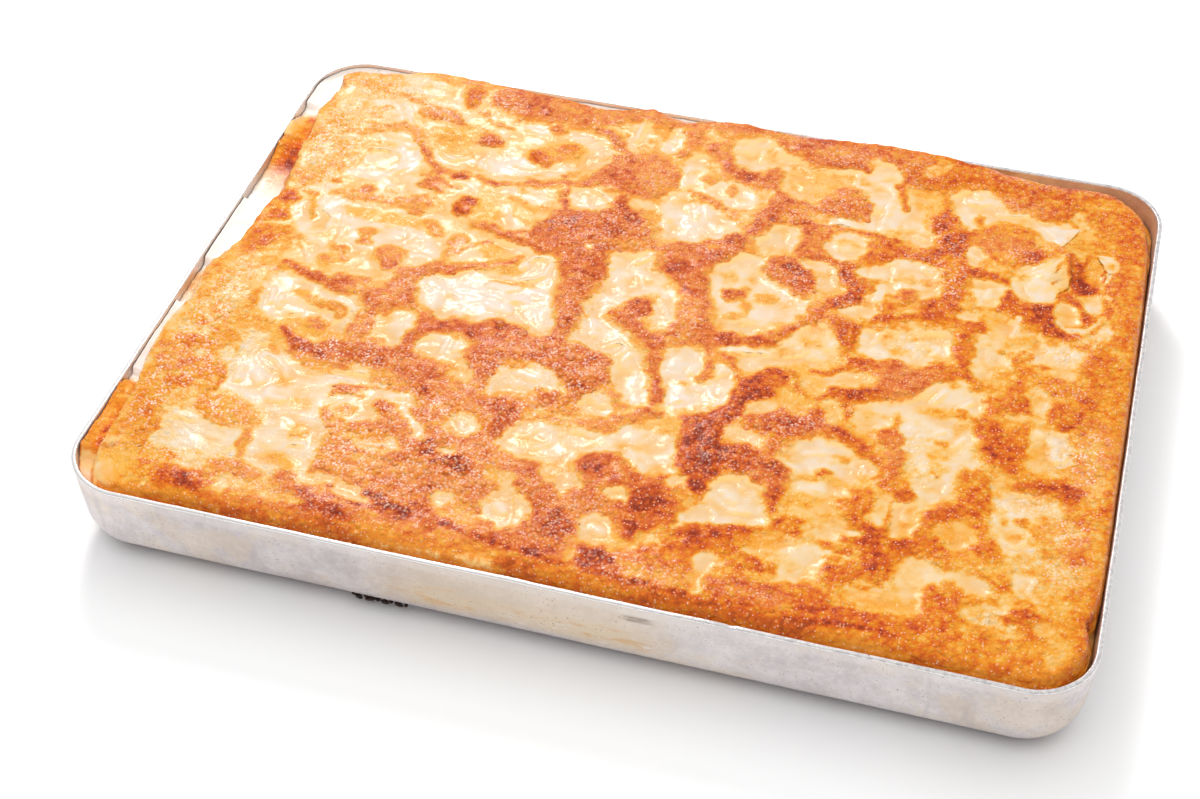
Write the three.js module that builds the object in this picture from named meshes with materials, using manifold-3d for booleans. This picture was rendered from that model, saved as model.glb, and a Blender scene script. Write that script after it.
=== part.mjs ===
// Su borek: baked layers of yufka and cheese, uncut, in its pressed aluminium tray.
// Millimetres, +Z up, +X along the long side, +Y towards the back long side.
// The origin is on the underside of the tray, at the middle of its footprint.
import * as THREE from 'three';
import * as BufferGeometryUtils from 'three/addons/utils/BufferGeometryUtils.js';
import Module from 'manifold-3d';

// ---------------------------------------------------------------- tray sizes
const TRAY_LENGTH = 400;        // outer, along X
const TRAY_WIDTH = 300;         // outer, along Y
const TRAY_HEIGHT = 40.2;
const SHEET = 2.0;              // aluminium sheet
const RIM_CORNER_R = 26;        // outer corner radius seen from above, at the rim
const WALL_TAPER = 1.5;         // how far the wall comes in between rim and bottom bend
const BEND_R = 18.6;            // outer radius of the bend from wall to floor
const RIM_EASE = 0.4;           // eased edges of the rim
const CORNER_STEPS = 9;         // facets in each corner
const LONG_STEPS = 14;          // facets along each long side
const SHORT_STEPS = 11;         // facets along each short side
const BEND_STEPS = 5;

// --------------------------------------------------------------- borek sizes
const CLEARANCE = 0.32;         // film of air between food and metal
const CRUST_LEVEL = 42.6;       // mean level of the crust, a little above the rim
const SHOULDER_R = 13;          // width of the rounded shoulder round the edge
const SIDE_LEDGE = 31;          // level where the side leaves the wall of the tray
const TOP_RINGS = 20;           // rings of facets from the shoulder to the middle
const SPINE = 52;               // half length of the line that those rings close on

// how far the crust has drawn back from the wall, by side, with its waves
const SHRINK_LEFT = 10.4, SHRINK_BACK = 6.4, SHRINK_RIGHT = 1.0, SHRINK_FRONT = 0.35;
const SHRINK_BACK_LEFT = 11.0, SHRINK_BACK_RIGHT = 11.5, SHRINK_FRONT_LEFT = 5.5, SHRINK_FRONT_RIGHT = 0.6;

// level of the crust's edge on each side
const EDGE_LEFT = 42.6, EDGE_BACK = 44.2, EDGE_RIGHT = 37.5, EDGE_FRONT = 36.6;
const EDGE_BACK_RIGHT = 33.5;
// rises and dips of the back edge: x, half length, rise
const BACK_WAVES = [
  [-168, 12, -3.5], [-136, 16, 2.2], [-58, 16, -2.4], [-36, 9, 1.0], [-20, 8, -2.0],
  [8, 13, 1.0], [84, 24, 1.8], [140, 16, -2.6], [176, 16, -6.0],
];

// swells (+) and hollows (-) of the crust: x, y, half length, half width, turn in degrees, rise
const RELIEF = [
  // raised back edge and its dips
  [-139, 132, 24, 16, 0, 3.4], [-95, 130, 22, 12, 0, 1.0], [-36, 134, 13, 12, 0, 2.6],
  [8, 134, 14, 12, 0, 3.0], [38, 134, 14, 12, 0, 1.6], [84, 134, 30, 13, 0, 3.6], [128, 134, 14, 12, 0, 0.6],
  [176, 118, 22, 22, -45, -4.0],
  // left side, high towards the front and lower towards the back
  [-178, -58, 20, 52, 0, 4.8], [-172, 35, 18, 46, 0, -1.2], [-178, 100, 14, 22, 0, 0.8],
  // lip of a torn, curled sheet towards the back right
  [158, 84, 7, 14, -20, 3.6],
  [-178, -128, 16, 16, 45, -3.0],
  // browned ridges that stand above the pools
  [-28, 92, 22, 10, 28, 1.9], [-62, 74, 34, 8, 4, 1.7], [-44, 50, 34, 12, 0, 2.0],
  [-35, 8, 8, 30, 0, 1.8], [9, -12, 7, 30, 24, 1.7], [40, 12, 44, 7, 14, 1.6],
  [25, 62, 9, 40, -24, 1.7], [52, -58, 24, 26, 0, 2.4], [105, -12, 44, 8, 22, 1.6],
  [-58, -36, 48, 20, -8, 2.2], [-68, -92, 44, 16, -12, 2.1], [4, -92, 30, 14, 18, 1.6],
  [120, -68, 30, 12, 30, 1.3], [-128, -20, 18, 9, 10, 1.4], [-130, -96, 24, 12, -20, 1.4],
  [64, 104, 30, 8, 12, 1.6], [140, 62, 12, 34, 12, 1.4], [165, -20, 9, 42, 0, 1.0],
  // pale pools that have sunk between them
  [-120, 82, 34, 13, 8, -2.2], [-92, 30, 26, 16, 0, -2.0], [-128, 40, 24, 12, 10, -1.8],
  [-12, 38, 15, 20, 0, -2.2], [44, 40, 20, 12, 10, -2.0], [46, 82, 16, 10, 0, -1.6],
  [88, 78, 24, 12, 8, -1.8], [104, 15, 17, 9, 8, -1.9], [78, -5, 14, 9, 0, -1.6],
  [-8, -60, 26, 12, -10, -2.0], [-20, 6, 7, 18, 0, -1.4], [24, -8, 8, 14, 0, -1.4],
  [-150, -58, 26, 22, 12, -2.4], [-112, -62, 22, 12, 0, -1.8], [88, -60, 24, 18, 12, -2.0],
  [30, -112, 26, 11, -6, -1.6], [-52, -118, 14, 9, 0, -1.7], [120, -104, 22, 12, 0, -1.4],
  [150, 12, 15, 22, 0, -1.6], [170, 76, 11, 15, 30, -3.6], [158, -62, 20, 18, 0, -1.2],
];

// crust left standing against the left wall of the tray: start y, end y, foot level,
// top level, waviness of the torn top edge, lean away from the wall at the top
const FLAPS = [
  { from: -131, to: -82, foot: 25, top: 38.6, ragged: 1.0, lean: 1.0 },
  { from: -33, to: -10, foot: 25, top: 36.8, ragged: 1.3, lean: 1.6 },
  { from: 64, to: 112, foot: 16, top: 39.0, ragged: 1.2, lean: 0.6 },
];
const FLAP_THICK = 1.5;

// -------------------------------------------------------------------- tools
const wasm = await Module();
wasm.setup();

// outline of a rectangle with rounded corners, anticlockwise, the same number of points at any size
function outline(hx, hy, r) {
  const pts = [];
  const corner = (cx, cy, a0) => {
    for (let i = 0; i <= CORNER_STEPS; i++) {
      const a = a0 + (Math.PI / 2) * (i / CORNER_STEPS);
      pts.push([cx + r * Math.cos(a), cy + r * Math.sin(a), Math.cos(a), Math.sin(a)]);
    }
  };
  const side = (x0, y0, x1, y1, n, nx, ny) => {
    for (let i = 1; i < n; i++) {
      const t = i / n;
      pts.push([x0 + (x1 - x0) * t, y0 + (y1 - y0) * t, nx, ny]);
    }
  };
  corner(hx - r, -hy + r, -Math.PI / 2);
  side(hx, -hy + r, hx, hy - r, SHORT_STEPS, 1, 0);
  corner(hx - r, hy - r, 0);
  side(hx - r, hy, -hx + r, hy, LONG_STEPS, 0, 1);
  corner(-hx + r, hy - r, Math.PI / 2);
  side(-hx, hy - r, -hx, -hy + r, SHORT_STEPS, -1, 0);
  corner(-hx + r, -hy + r, Math.PI);
  side(-hx + r, -hy, hx - r, -hy, LONG_STEPS, 0, -1);
  return pts;
}

// a closed skin over a stack of rings with equal point counts, with a point at each end
function skin(rings, firstPoint, lastPoint) {
  const n = rings[0].length;
  const pos = [];
  const idx = [];
  for (const ring of rings) for (const p of ring) pos.push(p[0], p[1], p[2]);
  for (let j = 0; j + 1 < rings.length; j++) {
    for (let i = 0; i < n; i++) {
      const a = j * n + i, b = j * n + ((i + 1) % n), c = a + n, d = b + n;
      // the shorter diagonal keeps the facets even
      const len = (p, q) => Math.hypot(pos[3 * p] - pos[3 * q], pos[3 * p + 1] - pos[3 * q + 1], pos[3 * p + 2] - pos[3 * q + 2]);
      if (len(a, d) < len(b, c)) idx.push(a, b, d, a, d, c);
      else idx.push(a, b, c, b, d, c);
    }
  }
  const f = pos.length / 3;
  pos.push(...firstPoint);
  for (let i = 0; i < n; i++) idx.push(f, (i + 1) % n, i);
  const l = pos.length / 3;
  pos.push(...lastPoint);
  const o = (rings.length - 1) * n;
  for (let i = 0; i < n; i++) idx.push(l, o + i, o + ((i + 1) % n));
  const g = new THREE.BufferGeometry();
  g.setAttribute('position', new THREE.Float32BufferAttribute(pos, 3));
  g.setIndex(idx);
  return g;
}

function toManifold(geometry) {
  const g = geometry.clone();
  g.deleteAttribute('normal');
  g.deleteAttribute('uv');
  const m = BufferGeometryUtils.mergeVertices(g, 1e-4);
  return new wasm.Manifold(new wasm.Mesh({
    numProp: 3,
    vertProperties: new Float32Array(m.attributes.position.array),
    triVerts: new Uint32Array(m.index.array),
  }));
}

function fromManifold(solid) {
  const mesh = solid.getMesh();
  const g = new THREE.BufferGeometry();
  const flat = new Float32Array((mesh.vertProperties.length / mesh.numProp) * 3);
  for (let i = 0; i < flat.length / 3; i++) {
    for (let k = 0; k < 3; k++) flat[3 * i + k] = mesh.vertProperties[mesh.numProp * i + k];
  }
  g.setAttribute('position', new THREE.BufferAttribute(flat, 3));
  g.setIndex(new THREE.BufferAttribute(new Uint32Array(mesh.triVerts), 1));
  return g;
}

const clamp01 = (t) => Math.min(1, Math.max(0, t));
const ease = (t) => { const u = clamp01(t); return u * u * (3 - 2 * u); };

// --------------------------------------------------------------------- tray
// distance that the outer face has come in from the rim, at a level
function outerInset(z) {
  if (z >= BEND_R) return WALL_TAPER * (TRAY_HEIGHT - z) / (TRAY_HEIGHT - BEND_R);
  const s = 1 - z / BEND_R;
  return WALL_TAPER + BEND_R * (1 - Math.sqrt(Math.max(0, 1 - s * s)));
}
// the same for the inner face
function innerInset(z) {
  const r = BEND_R - SHEET;
  if (z >= BEND_R) return SHEET + WALL_TAPER * (TRAY_HEIGHT - z) / (TRAY_HEIGHT - BEND_R);
  const s = (BEND_R - z) / r;
  return SHEET + WALL_TAPER + r * (1 - Math.sqrt(Math.max(0, 1 - s * s)));
}

function trayRing(inset, z) {
  const r = Math.max(3, RIM_CORNER_R - inset);
  return outline(TRAY_LENGTH / 2 - inset, TRAY_WIDTH / 2 - inset, r).map((p) => [p[0], p[1], z]);
}

function trayGeometry() {
  const rings = [];
  for (let i = 0; i <= BEND_STEPS; i++) {
    const a = (Math.PI / 2) * (1 - i / BEND_STEPS);
    rings.push(trayRing(WALL_TAPER + BEND_R * (1 - Math.cos(a)), BEND_R * (1 - Math.sin(a))));
  }
  rings.push(trayRing(0, TRAY_HEIGHT - RIM_EASE));
  rings.push(trayRing(RIM_EASE, TRAY_HEIGHT));
  rings.push(trayRing(SHEET - RIM_EASE, TRAY_HEIGHT));
  rings.push(trayRing(SHEET, TRAY_HEIGHT - RIM_EASE));
  const r = BEND_R - SHEET;
  for (let i = 0; i <= BEND_STEPS; i++) {
    const a = (Math.PI / 2) * (i / BEND_STEPS);
    rings.push(trayRing(SHEET + WALL_TAPER + r * (1 - Math.cos(a)), BEND_R - r * Math.sin(a)));
  }
  return skin(rings, [0, 0, 0], [0, 0, SHEET]);
}

// -------------------------------------------------------------------- borek
const HX = TRAY_LENGTH / 2, HY = TRAY_WIDTH / 2;

// share of each side and corner at a point of the wall whose outward normal is nx, ny
function sides(nx, ny, values) {
  const { left, back, right, front, backLeft, backRight, frontLeft, frontRight } = values;
  const l = Math.max(0, -nx) ** 2, rr = Math.max(0, nx) ** 2, b = Math.max(0, ny) ** 2, f = Math.max(0, -ny) ** 2;
  let v = left * l + right * rr + back * b + front * f;
  const mid = 4 * nx * nx * ny * ny;
  const corner = nx < 0 ? (ny < 0 ? frontLeft : backLeft) : (ny < 0 ? frontRight : backRight);
  if (corner !== undefined) v += (corner - v) * mid;
  return v;
}

function shrink(x, y, nx, ny) {
  let v = sides(nx, ny, {
    left: SHRINK_LEFT, back: SHRINK_BACK, right: SHRINK_RIGHT, front: SHRINK_FRONT,
    backLeft: SHRINK_BACK_LEFT, backRight: SHRINK_BACK_RIGHT,
    frontLeft: SHRINK_FRONT_LEFT, frontRight: SHRINK_FRONT_RIGHT,
  });
  // the left edge comes in further towards the back, and waves
  v += Math.max(0, -nx) ** 2 * (3.6 * ease((y + 12) / 40) - 2.0 + 1.1 * Math.sin(y / 8.5 + 0.6) + 0.7 * Math.sin(y / 3.9));
  v += Math.max(0, ny) ** 2 * (0.8 * Math.sin(x / 9.5 + 1.1) + 0.5 * Math.sin(x / 4.7));
  // the gap on the right widens past the middle, and a bite is missing near the front
  v += Math.max(0, nx) ** 2 * (0.8 * ease((-y - 70) / 40) + 1.6 * Math.exp(-(((y + 115) / 8) ** 2)));
  return Math.max(0.1, v);
}

function edgeLevel(x, y, nx, ny) {
  let v = sides(nx, ny, {
    left: EDGE_LEFT, back: EDGE_BACK, right: EDGE_RIGHT, front: EDGE_FRONT, backRight: EDGE_BACK_RIGHT,
  });
  v += Math.max(0, -nx) ** 2 * 2.6 * ease((-y - 5) / 30) * ease((y + 120) / 25);
  // the back edge rises and falls along its length
  const back = Math.max(0, ny) ** 2;
  for (const [cx, half, h] of BACK_WAVES) v += back * h * Math.exp(-(((x - cx) / half) ** 2));
  return v;
}

// level of the crust away from the edge
function crust(x, y) {
  let z = CRUST_LEVEL;
  z += 0.5 * Math.sin(x / 23 + 0.7) * Math.sin(y / 19 + 1.3) + 0.35 * Math.sin(x / 11.3 + y / 14.1);
  for (const [cx, cy, a, b, turn, h] of RELIEF) {
    const t = (turn * Math.PI) / 180;
    const u = ((x - cx) * Math.cos(t) + (y - cy) * Math.sin(t)) / a;
    const w = (-(x - cx) * Math.sin(t) + (y - cy) * Math.cos(t)) / b;
    z += h * Math.exp(-(u * u + w * w) * 0.9);
  }
  return z;
}

// a ring of the borek's side: a share of the way from the wall to the drawn-back edge, at a level
function sideRing(share, levelOf) {
  const rim = outline(HX, HY, RIM_CORNER_R);
  return rim.map(([x, y, nx, ny]) => {
    const z = levelOf(x, y, nx, ny);
    const inset = innerInset(z) + CLEARANCE + share * shrink(x, y, nx, ny);
    return [x - nx * inset, y - ny * inset, z];
  });
}

function borekGeometry() {
  const rings = [];
  const r = BEND_R - SHEET;
  // underside and the bend, following the tray
  for (let i = 0; i <= BEND_STEPS; i++) {
    const a = (Math.PI / 2) * (1 - i / BEND_STEPS);
    const inset = SHEET + WALL_TAPER + CLEARANCE + (r - CLEARANCE) * (1 - Math.cos(a));
    const z = BEND_R - (r - CLEARANCE) * Math.sin(a);
    rings.push(outline(HX - inset, HY - inset, Math.max(3, RIM_CORNER_R - inset)).map((p) => [p[0], p[1], z]));
  }
  // side: against the wall, then drawn back
  const level = (x, y, nx, ny) => Math.min(SIDE_LEDGE, edgeLevel(x, y, nx, ny) - 3);
  rings.push(sideRing(0, (x, y, nx, ny) => level(x, y, nx, ny) - 5));
  rings.push(sideRing(0, level));
  rings.push(sideRing(0.45, (x, y, nx, ny) => level(x, y, nx, ny) + 0.8));
  rings.push(sideRing(0.82, (x, y, nx, ny) => level(x, y, nx, ny) * 0.5 + edgeLevel(x, y, nx, ny) * 0.5));
  // rounded shoulder
  const rim = outline(HX, HY, RIM_CORNER_R);
  const start = rim.map(([x, y, nx, ny]) => {
    const e = edgeLevel(x, y, nx, ny);
    const inset = innerInset(e) + CLEARANCE + shrink(x, y, nx, ny);
    return { x: x - nx * inset, y: y - ny * inset, nx, ny, e };
  });
  let last = null;
  for (const d of [0, 0.9, 2.6, 5.2, 8.6, SHOULDER_R]) {
    last = start.map(({ x, y, nx, ny, e }) => {
      const px = x - nx * d, py = y - ny * d;
      const k = 1 - d / SHOULDER_R;
      return [px, py, e + (crust(px, py) - e) * Math.sqrt(Math.max(0, 1 - k * k * k * k))];
    });
    rings.push(last);
  }
  // top, ring by ring towards the spine
  for (let j = 1; j < TOP_RINGS; j++) {
    const s = 1 - j / TOP_RINGS;
    rings.push(last.map(([x, y]) => {
      const cx = Math.min(SPINE, Math.max(-SPINE, x));
      const px = cx + (x - cx) * s, py = y * s;
      return [px, py, crust(px, py)];
    }));
  }
  return skin(rings, [0, 0, SHEET + CLEARANCE], [0, 0, crust(0, 0)]);
}

// a torn strip of crust that stands against the left wall, rooted in the side of the borek
function flapGeometry({ from, to, foot, top, ragged, lean }) {
  const steps = Math.max(8, Math.round((to - from) / 3.4));
  const outer = [], pos = [], idx = [];
  const levels = [foot, foot + (top - foot) * 0.5, top];
  for (let i = 0; i <= steps; i++) {
    const t = i / steps;
    const y = from + (to - from) * t;
    const ends = Math.sqrt(Math.max(0.02, 1 - Math.abs(2 * t - 1) ** 5));
    const tear = ragged * (0.6 * Math.sin(y * 1.05) + 0.4 * Math.sin(y * 0.47 + 1));
    for (let k = 0; k < levels.length; k++) {
      const share = k / (levels.length - 1);
      const z = foot + (levels[k] - foot) * ends + tear * share;
      // the wall turns the corner past the end of its straight part
      const past = Math.max(0, -(y + HY - RIM_CORNER_R));
      const rr = RIM_CORNER_R - innerInset(z) - CLEARANCE - 0.15;
      const turn = RIM_CORNER_R - Math.sqrt(Math.max(0, rr * rr - past * past)) ;
      const xo = -HX + (past > 0 ? turn : innerInset(z) + CLEARANCE + 0.15) + lean * share;
      outer.push([xo, y, z]);
    }
  }
  const n = levels.length;
  for (const [x, y, z] of outer) pos.push(x, y, z);
  const root = outer.length;
  // the foot is broad enough to be rooted in the side of the borek
  outer.forEach(([x, y, z], i) => {
    const share = (i % n) / (n - 1);
    pos.push(x + FLAP_THICK + (1 - share) * 3.0, y, z - 0.25 * share);
  });
  const quad = (a, b, c, d) => idx.push(a, b, c, a, c, d);
  for (let i = 0; i < steps; i++) {
    for (let k = 0; k + 1 < n; k++) {
      const a = i * n + k;
      quad(a, a + 1, a + n + 1, a + n);
      quad(root + a, root + a + n, root + a + n + 1, root + a + 1);
    }
    const t = i * n + n - 1;
    quad(t, root + t, root + t + n, t + n);
    const b = i * n;
    quad(b, b + n, root + b + n, root + b);
  }
  for (let k = 0; k + 1 < n; k++) {
    quad(k, root + k, root + k + 1, k + 1);
    const e = steps * n + k;
    quad(e, e + 1, root + e + 1, root + e);
  }
  const g = new THREE.BufferGeometry();
  g.setAttribute('position', new THREE.Float32BufferAttribute(pos, 3));
  g.setIndex(idx);
  return g;
}

let body = toManifold(borekGeometry());
for (const flap of FLAPS) body = body.add(toManifold(flapGeometry(flap)));

// ----------------------------------------------------------------- assembly
const group = new THREE.Group();

const tray = new THREE.Mesh(trayGeometry(), new THREE.MeshStandardMaterial({
  color: 0xc9c5c4, roughness: 0.42, metalness: 1.0,
}));
tray.name = 'tray';
group.add(tray);

const borek = new THREE.Mesh(fromManifold(body), new THREE.MeshStandardMaterial({
  color: 0xe8a050, roughness: 0.35, metalness: 0.0,
}));
borek.name = 'borek';
group.add(borek);

export default group;
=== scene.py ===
import math
import bpy
import numpy as np
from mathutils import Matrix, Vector


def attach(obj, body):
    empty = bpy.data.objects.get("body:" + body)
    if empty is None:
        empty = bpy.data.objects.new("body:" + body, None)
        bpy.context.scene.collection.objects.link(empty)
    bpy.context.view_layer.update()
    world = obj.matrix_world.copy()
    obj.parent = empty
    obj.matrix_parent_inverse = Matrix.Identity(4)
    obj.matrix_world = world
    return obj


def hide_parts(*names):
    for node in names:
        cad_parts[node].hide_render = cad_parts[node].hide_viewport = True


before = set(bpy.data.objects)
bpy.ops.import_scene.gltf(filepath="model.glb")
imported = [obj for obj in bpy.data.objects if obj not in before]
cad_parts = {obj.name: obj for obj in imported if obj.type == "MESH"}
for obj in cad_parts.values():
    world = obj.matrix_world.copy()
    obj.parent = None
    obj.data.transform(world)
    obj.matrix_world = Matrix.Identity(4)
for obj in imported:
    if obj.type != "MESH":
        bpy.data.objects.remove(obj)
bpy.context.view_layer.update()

# Su borek in its aluminium tray. Sizes are in millimetres until a mesh is made, then in metres.
MM = 0.001

# ---------------------------------------------------------------- camera
TARGET = np.array([-19.288, -7.368, 0.0])
AZ, EL = math.radians(15.841), math.radians(43.596)
BACK = np.array([math.sin(AZ) * math.cos(EL), -math.cos(AZ) * math.cos(EL), math.sin(EL)])
EYE = TARGET + BACK * 892.616
cam_data = bpy.data.cameras.new("view")
cam_data.lens = 62.451
cam_data.sensor_width = 36.0
cam_data.sensor_fit = "HORIZONTAL"
cam_data.clip_start = 0.01
cam_data.clip_end = 50.0
cam = bpy.data.objects.new("view", cam_data)
bpy.context.scene.collection.objects.link(cam)
cam.location = Vector(EYE * MM)
cam.rotation_euler = Vector(-BACK).to_track_quat("-Z", "Y").to_euler()
bpy.context.scene.camera = cam


# ---------------------------------------------------------------- noise
def _hash(ix, iy, seed):
    h = (ix.astype(np.int64) * 374761393 + iy.astype(np.int64) * 668265263 + seed * 2246822519) & 0xFFFFFFFF
    h = ((h ^ (h >> 13)) * 1274126177) & 0xFFFFFFFF
    return (h ^ (h >> 16)) & 0xFFFFFFFF


def _rnd(ix, iy, seed):
    return _hash(ix, iy, seed).astype(np.float64) / 4294967296.0


def perlin(x, y, seed=0):
    """Gradient noise, about -1 to 1, with cells of size 1."""
    x0, y0 = np.floor(x), np.floor(y)
    fx, fy = x - x0, y - y0
    ix, iy = x0.astype(np.int64), y0.astype(np.int64)
    u = fx * fx * fx * (fx * (fx * 6 - 15) + 10)
    v = fy * fy * fy * (fy * (fy * 6 - 15) + 10)
    out = 0
    for dx, dy, w in ((0, 0, (1 - u) * (1 - v)), (1, 0, u * (1 - v)), (0, 1, (1 - u) * v), (1, 1, u * v)):
        a = _rnd(ix + dx, iy + dy, seed) * 2 * math.pi
        out = out + w * (np.cos(a) * (fx - dx) + np.sin(a) * (fy - dy))
    return out * 1.55


def fbm(x, y, seed=0, octaves=4, gain=0.5):
    s, a, t = 0, 1.0, 0.0
    for k in range(octaves):
        s = s + a * perlin(x * 2 ** k + 17.3 * k, y * 2 ** k - 9.1 * k, seed + 31 * k)
        t += a
        a *= gain
    return s / t


def worley(x, y, seed=0, jitter=0.9):
    """Distance to the nearest and second nearest seed point, in cells, and a number from 0 to 1 for the nearest."""
    x0, y0 = np.floor(x), np.floor(y)
    f1 = np.full(x.shape, 9.0)
    f2 = np.full(x.shape, 9.0)
    who = np.zeros(x.shape)
    for dx in (-1, 0, 1):
        for dy in (-1, 0, 1):
            ix, iy = (x0 + dx).astype(np.int64), (y0 + dy).astype(np.int64)
            px = ix + 0.5 + (_rnd(ix, iy, seed) - 0.5) * jitter
            py = iy + 0.5 + (_rnd(ix, iy, seed + 7) - 0.5) * jitter
            d = np.hypot(x - px, y - py)
            near = d < f1
            f2 = np.where(near, f1, np.minimum(f2, d))
            who = np.where(near, _rnd(ix, iy, seed + 13), who)
            f1 = np.where(near, d, f1)
    return f1, f2, who


def ease(t):
    t = np.clip(t, 0, 1)
    return t * t * (3 - 2 * t)


def blur(a, s):
    """Gaussian blur of a grid, s in cells."""
    r = max(1, int(3 * s))
    k = np.exp(-0.5 * (np.arange(-r, r + 1) / s) ** 2)
    k /= k.sum()
    p = np.pad(a, ((r, r), (0, 0)), mode="edge")
    a = sum(k[i] * p[i:i + a.shape[0], :] for i in range(2 * r + 1))
    p = np.pad(a, ((0, 0), (r, r)), mode="edge")
    return sum(k[i] * p[:, i:i + a.shape[1]] for i in range(2 * r + 1))


# ---------------------------------------------------------------- browning, read off
# Places are millimetres seen along the line of sight onto the level z = 43.
# value: 0 white cream, .15 cream, .3 pale gold, .45 gold, .6 orange, .75 red-brown, .9 dark brown
# E(value, x, y, half length, half width, turn)   S(value, width, points)   G(value, outline)
def E(v, x, y, rx, ry, turn=0.0, soft=1.6): return ("e", v, x, y, rx, ry, turn, soft)
def S(v, w, pts, soft=1.5): return ("s", v, w, pts, soft)
def G(v, pts, soft=1.6): return ("g", v, pts, soft)

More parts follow.
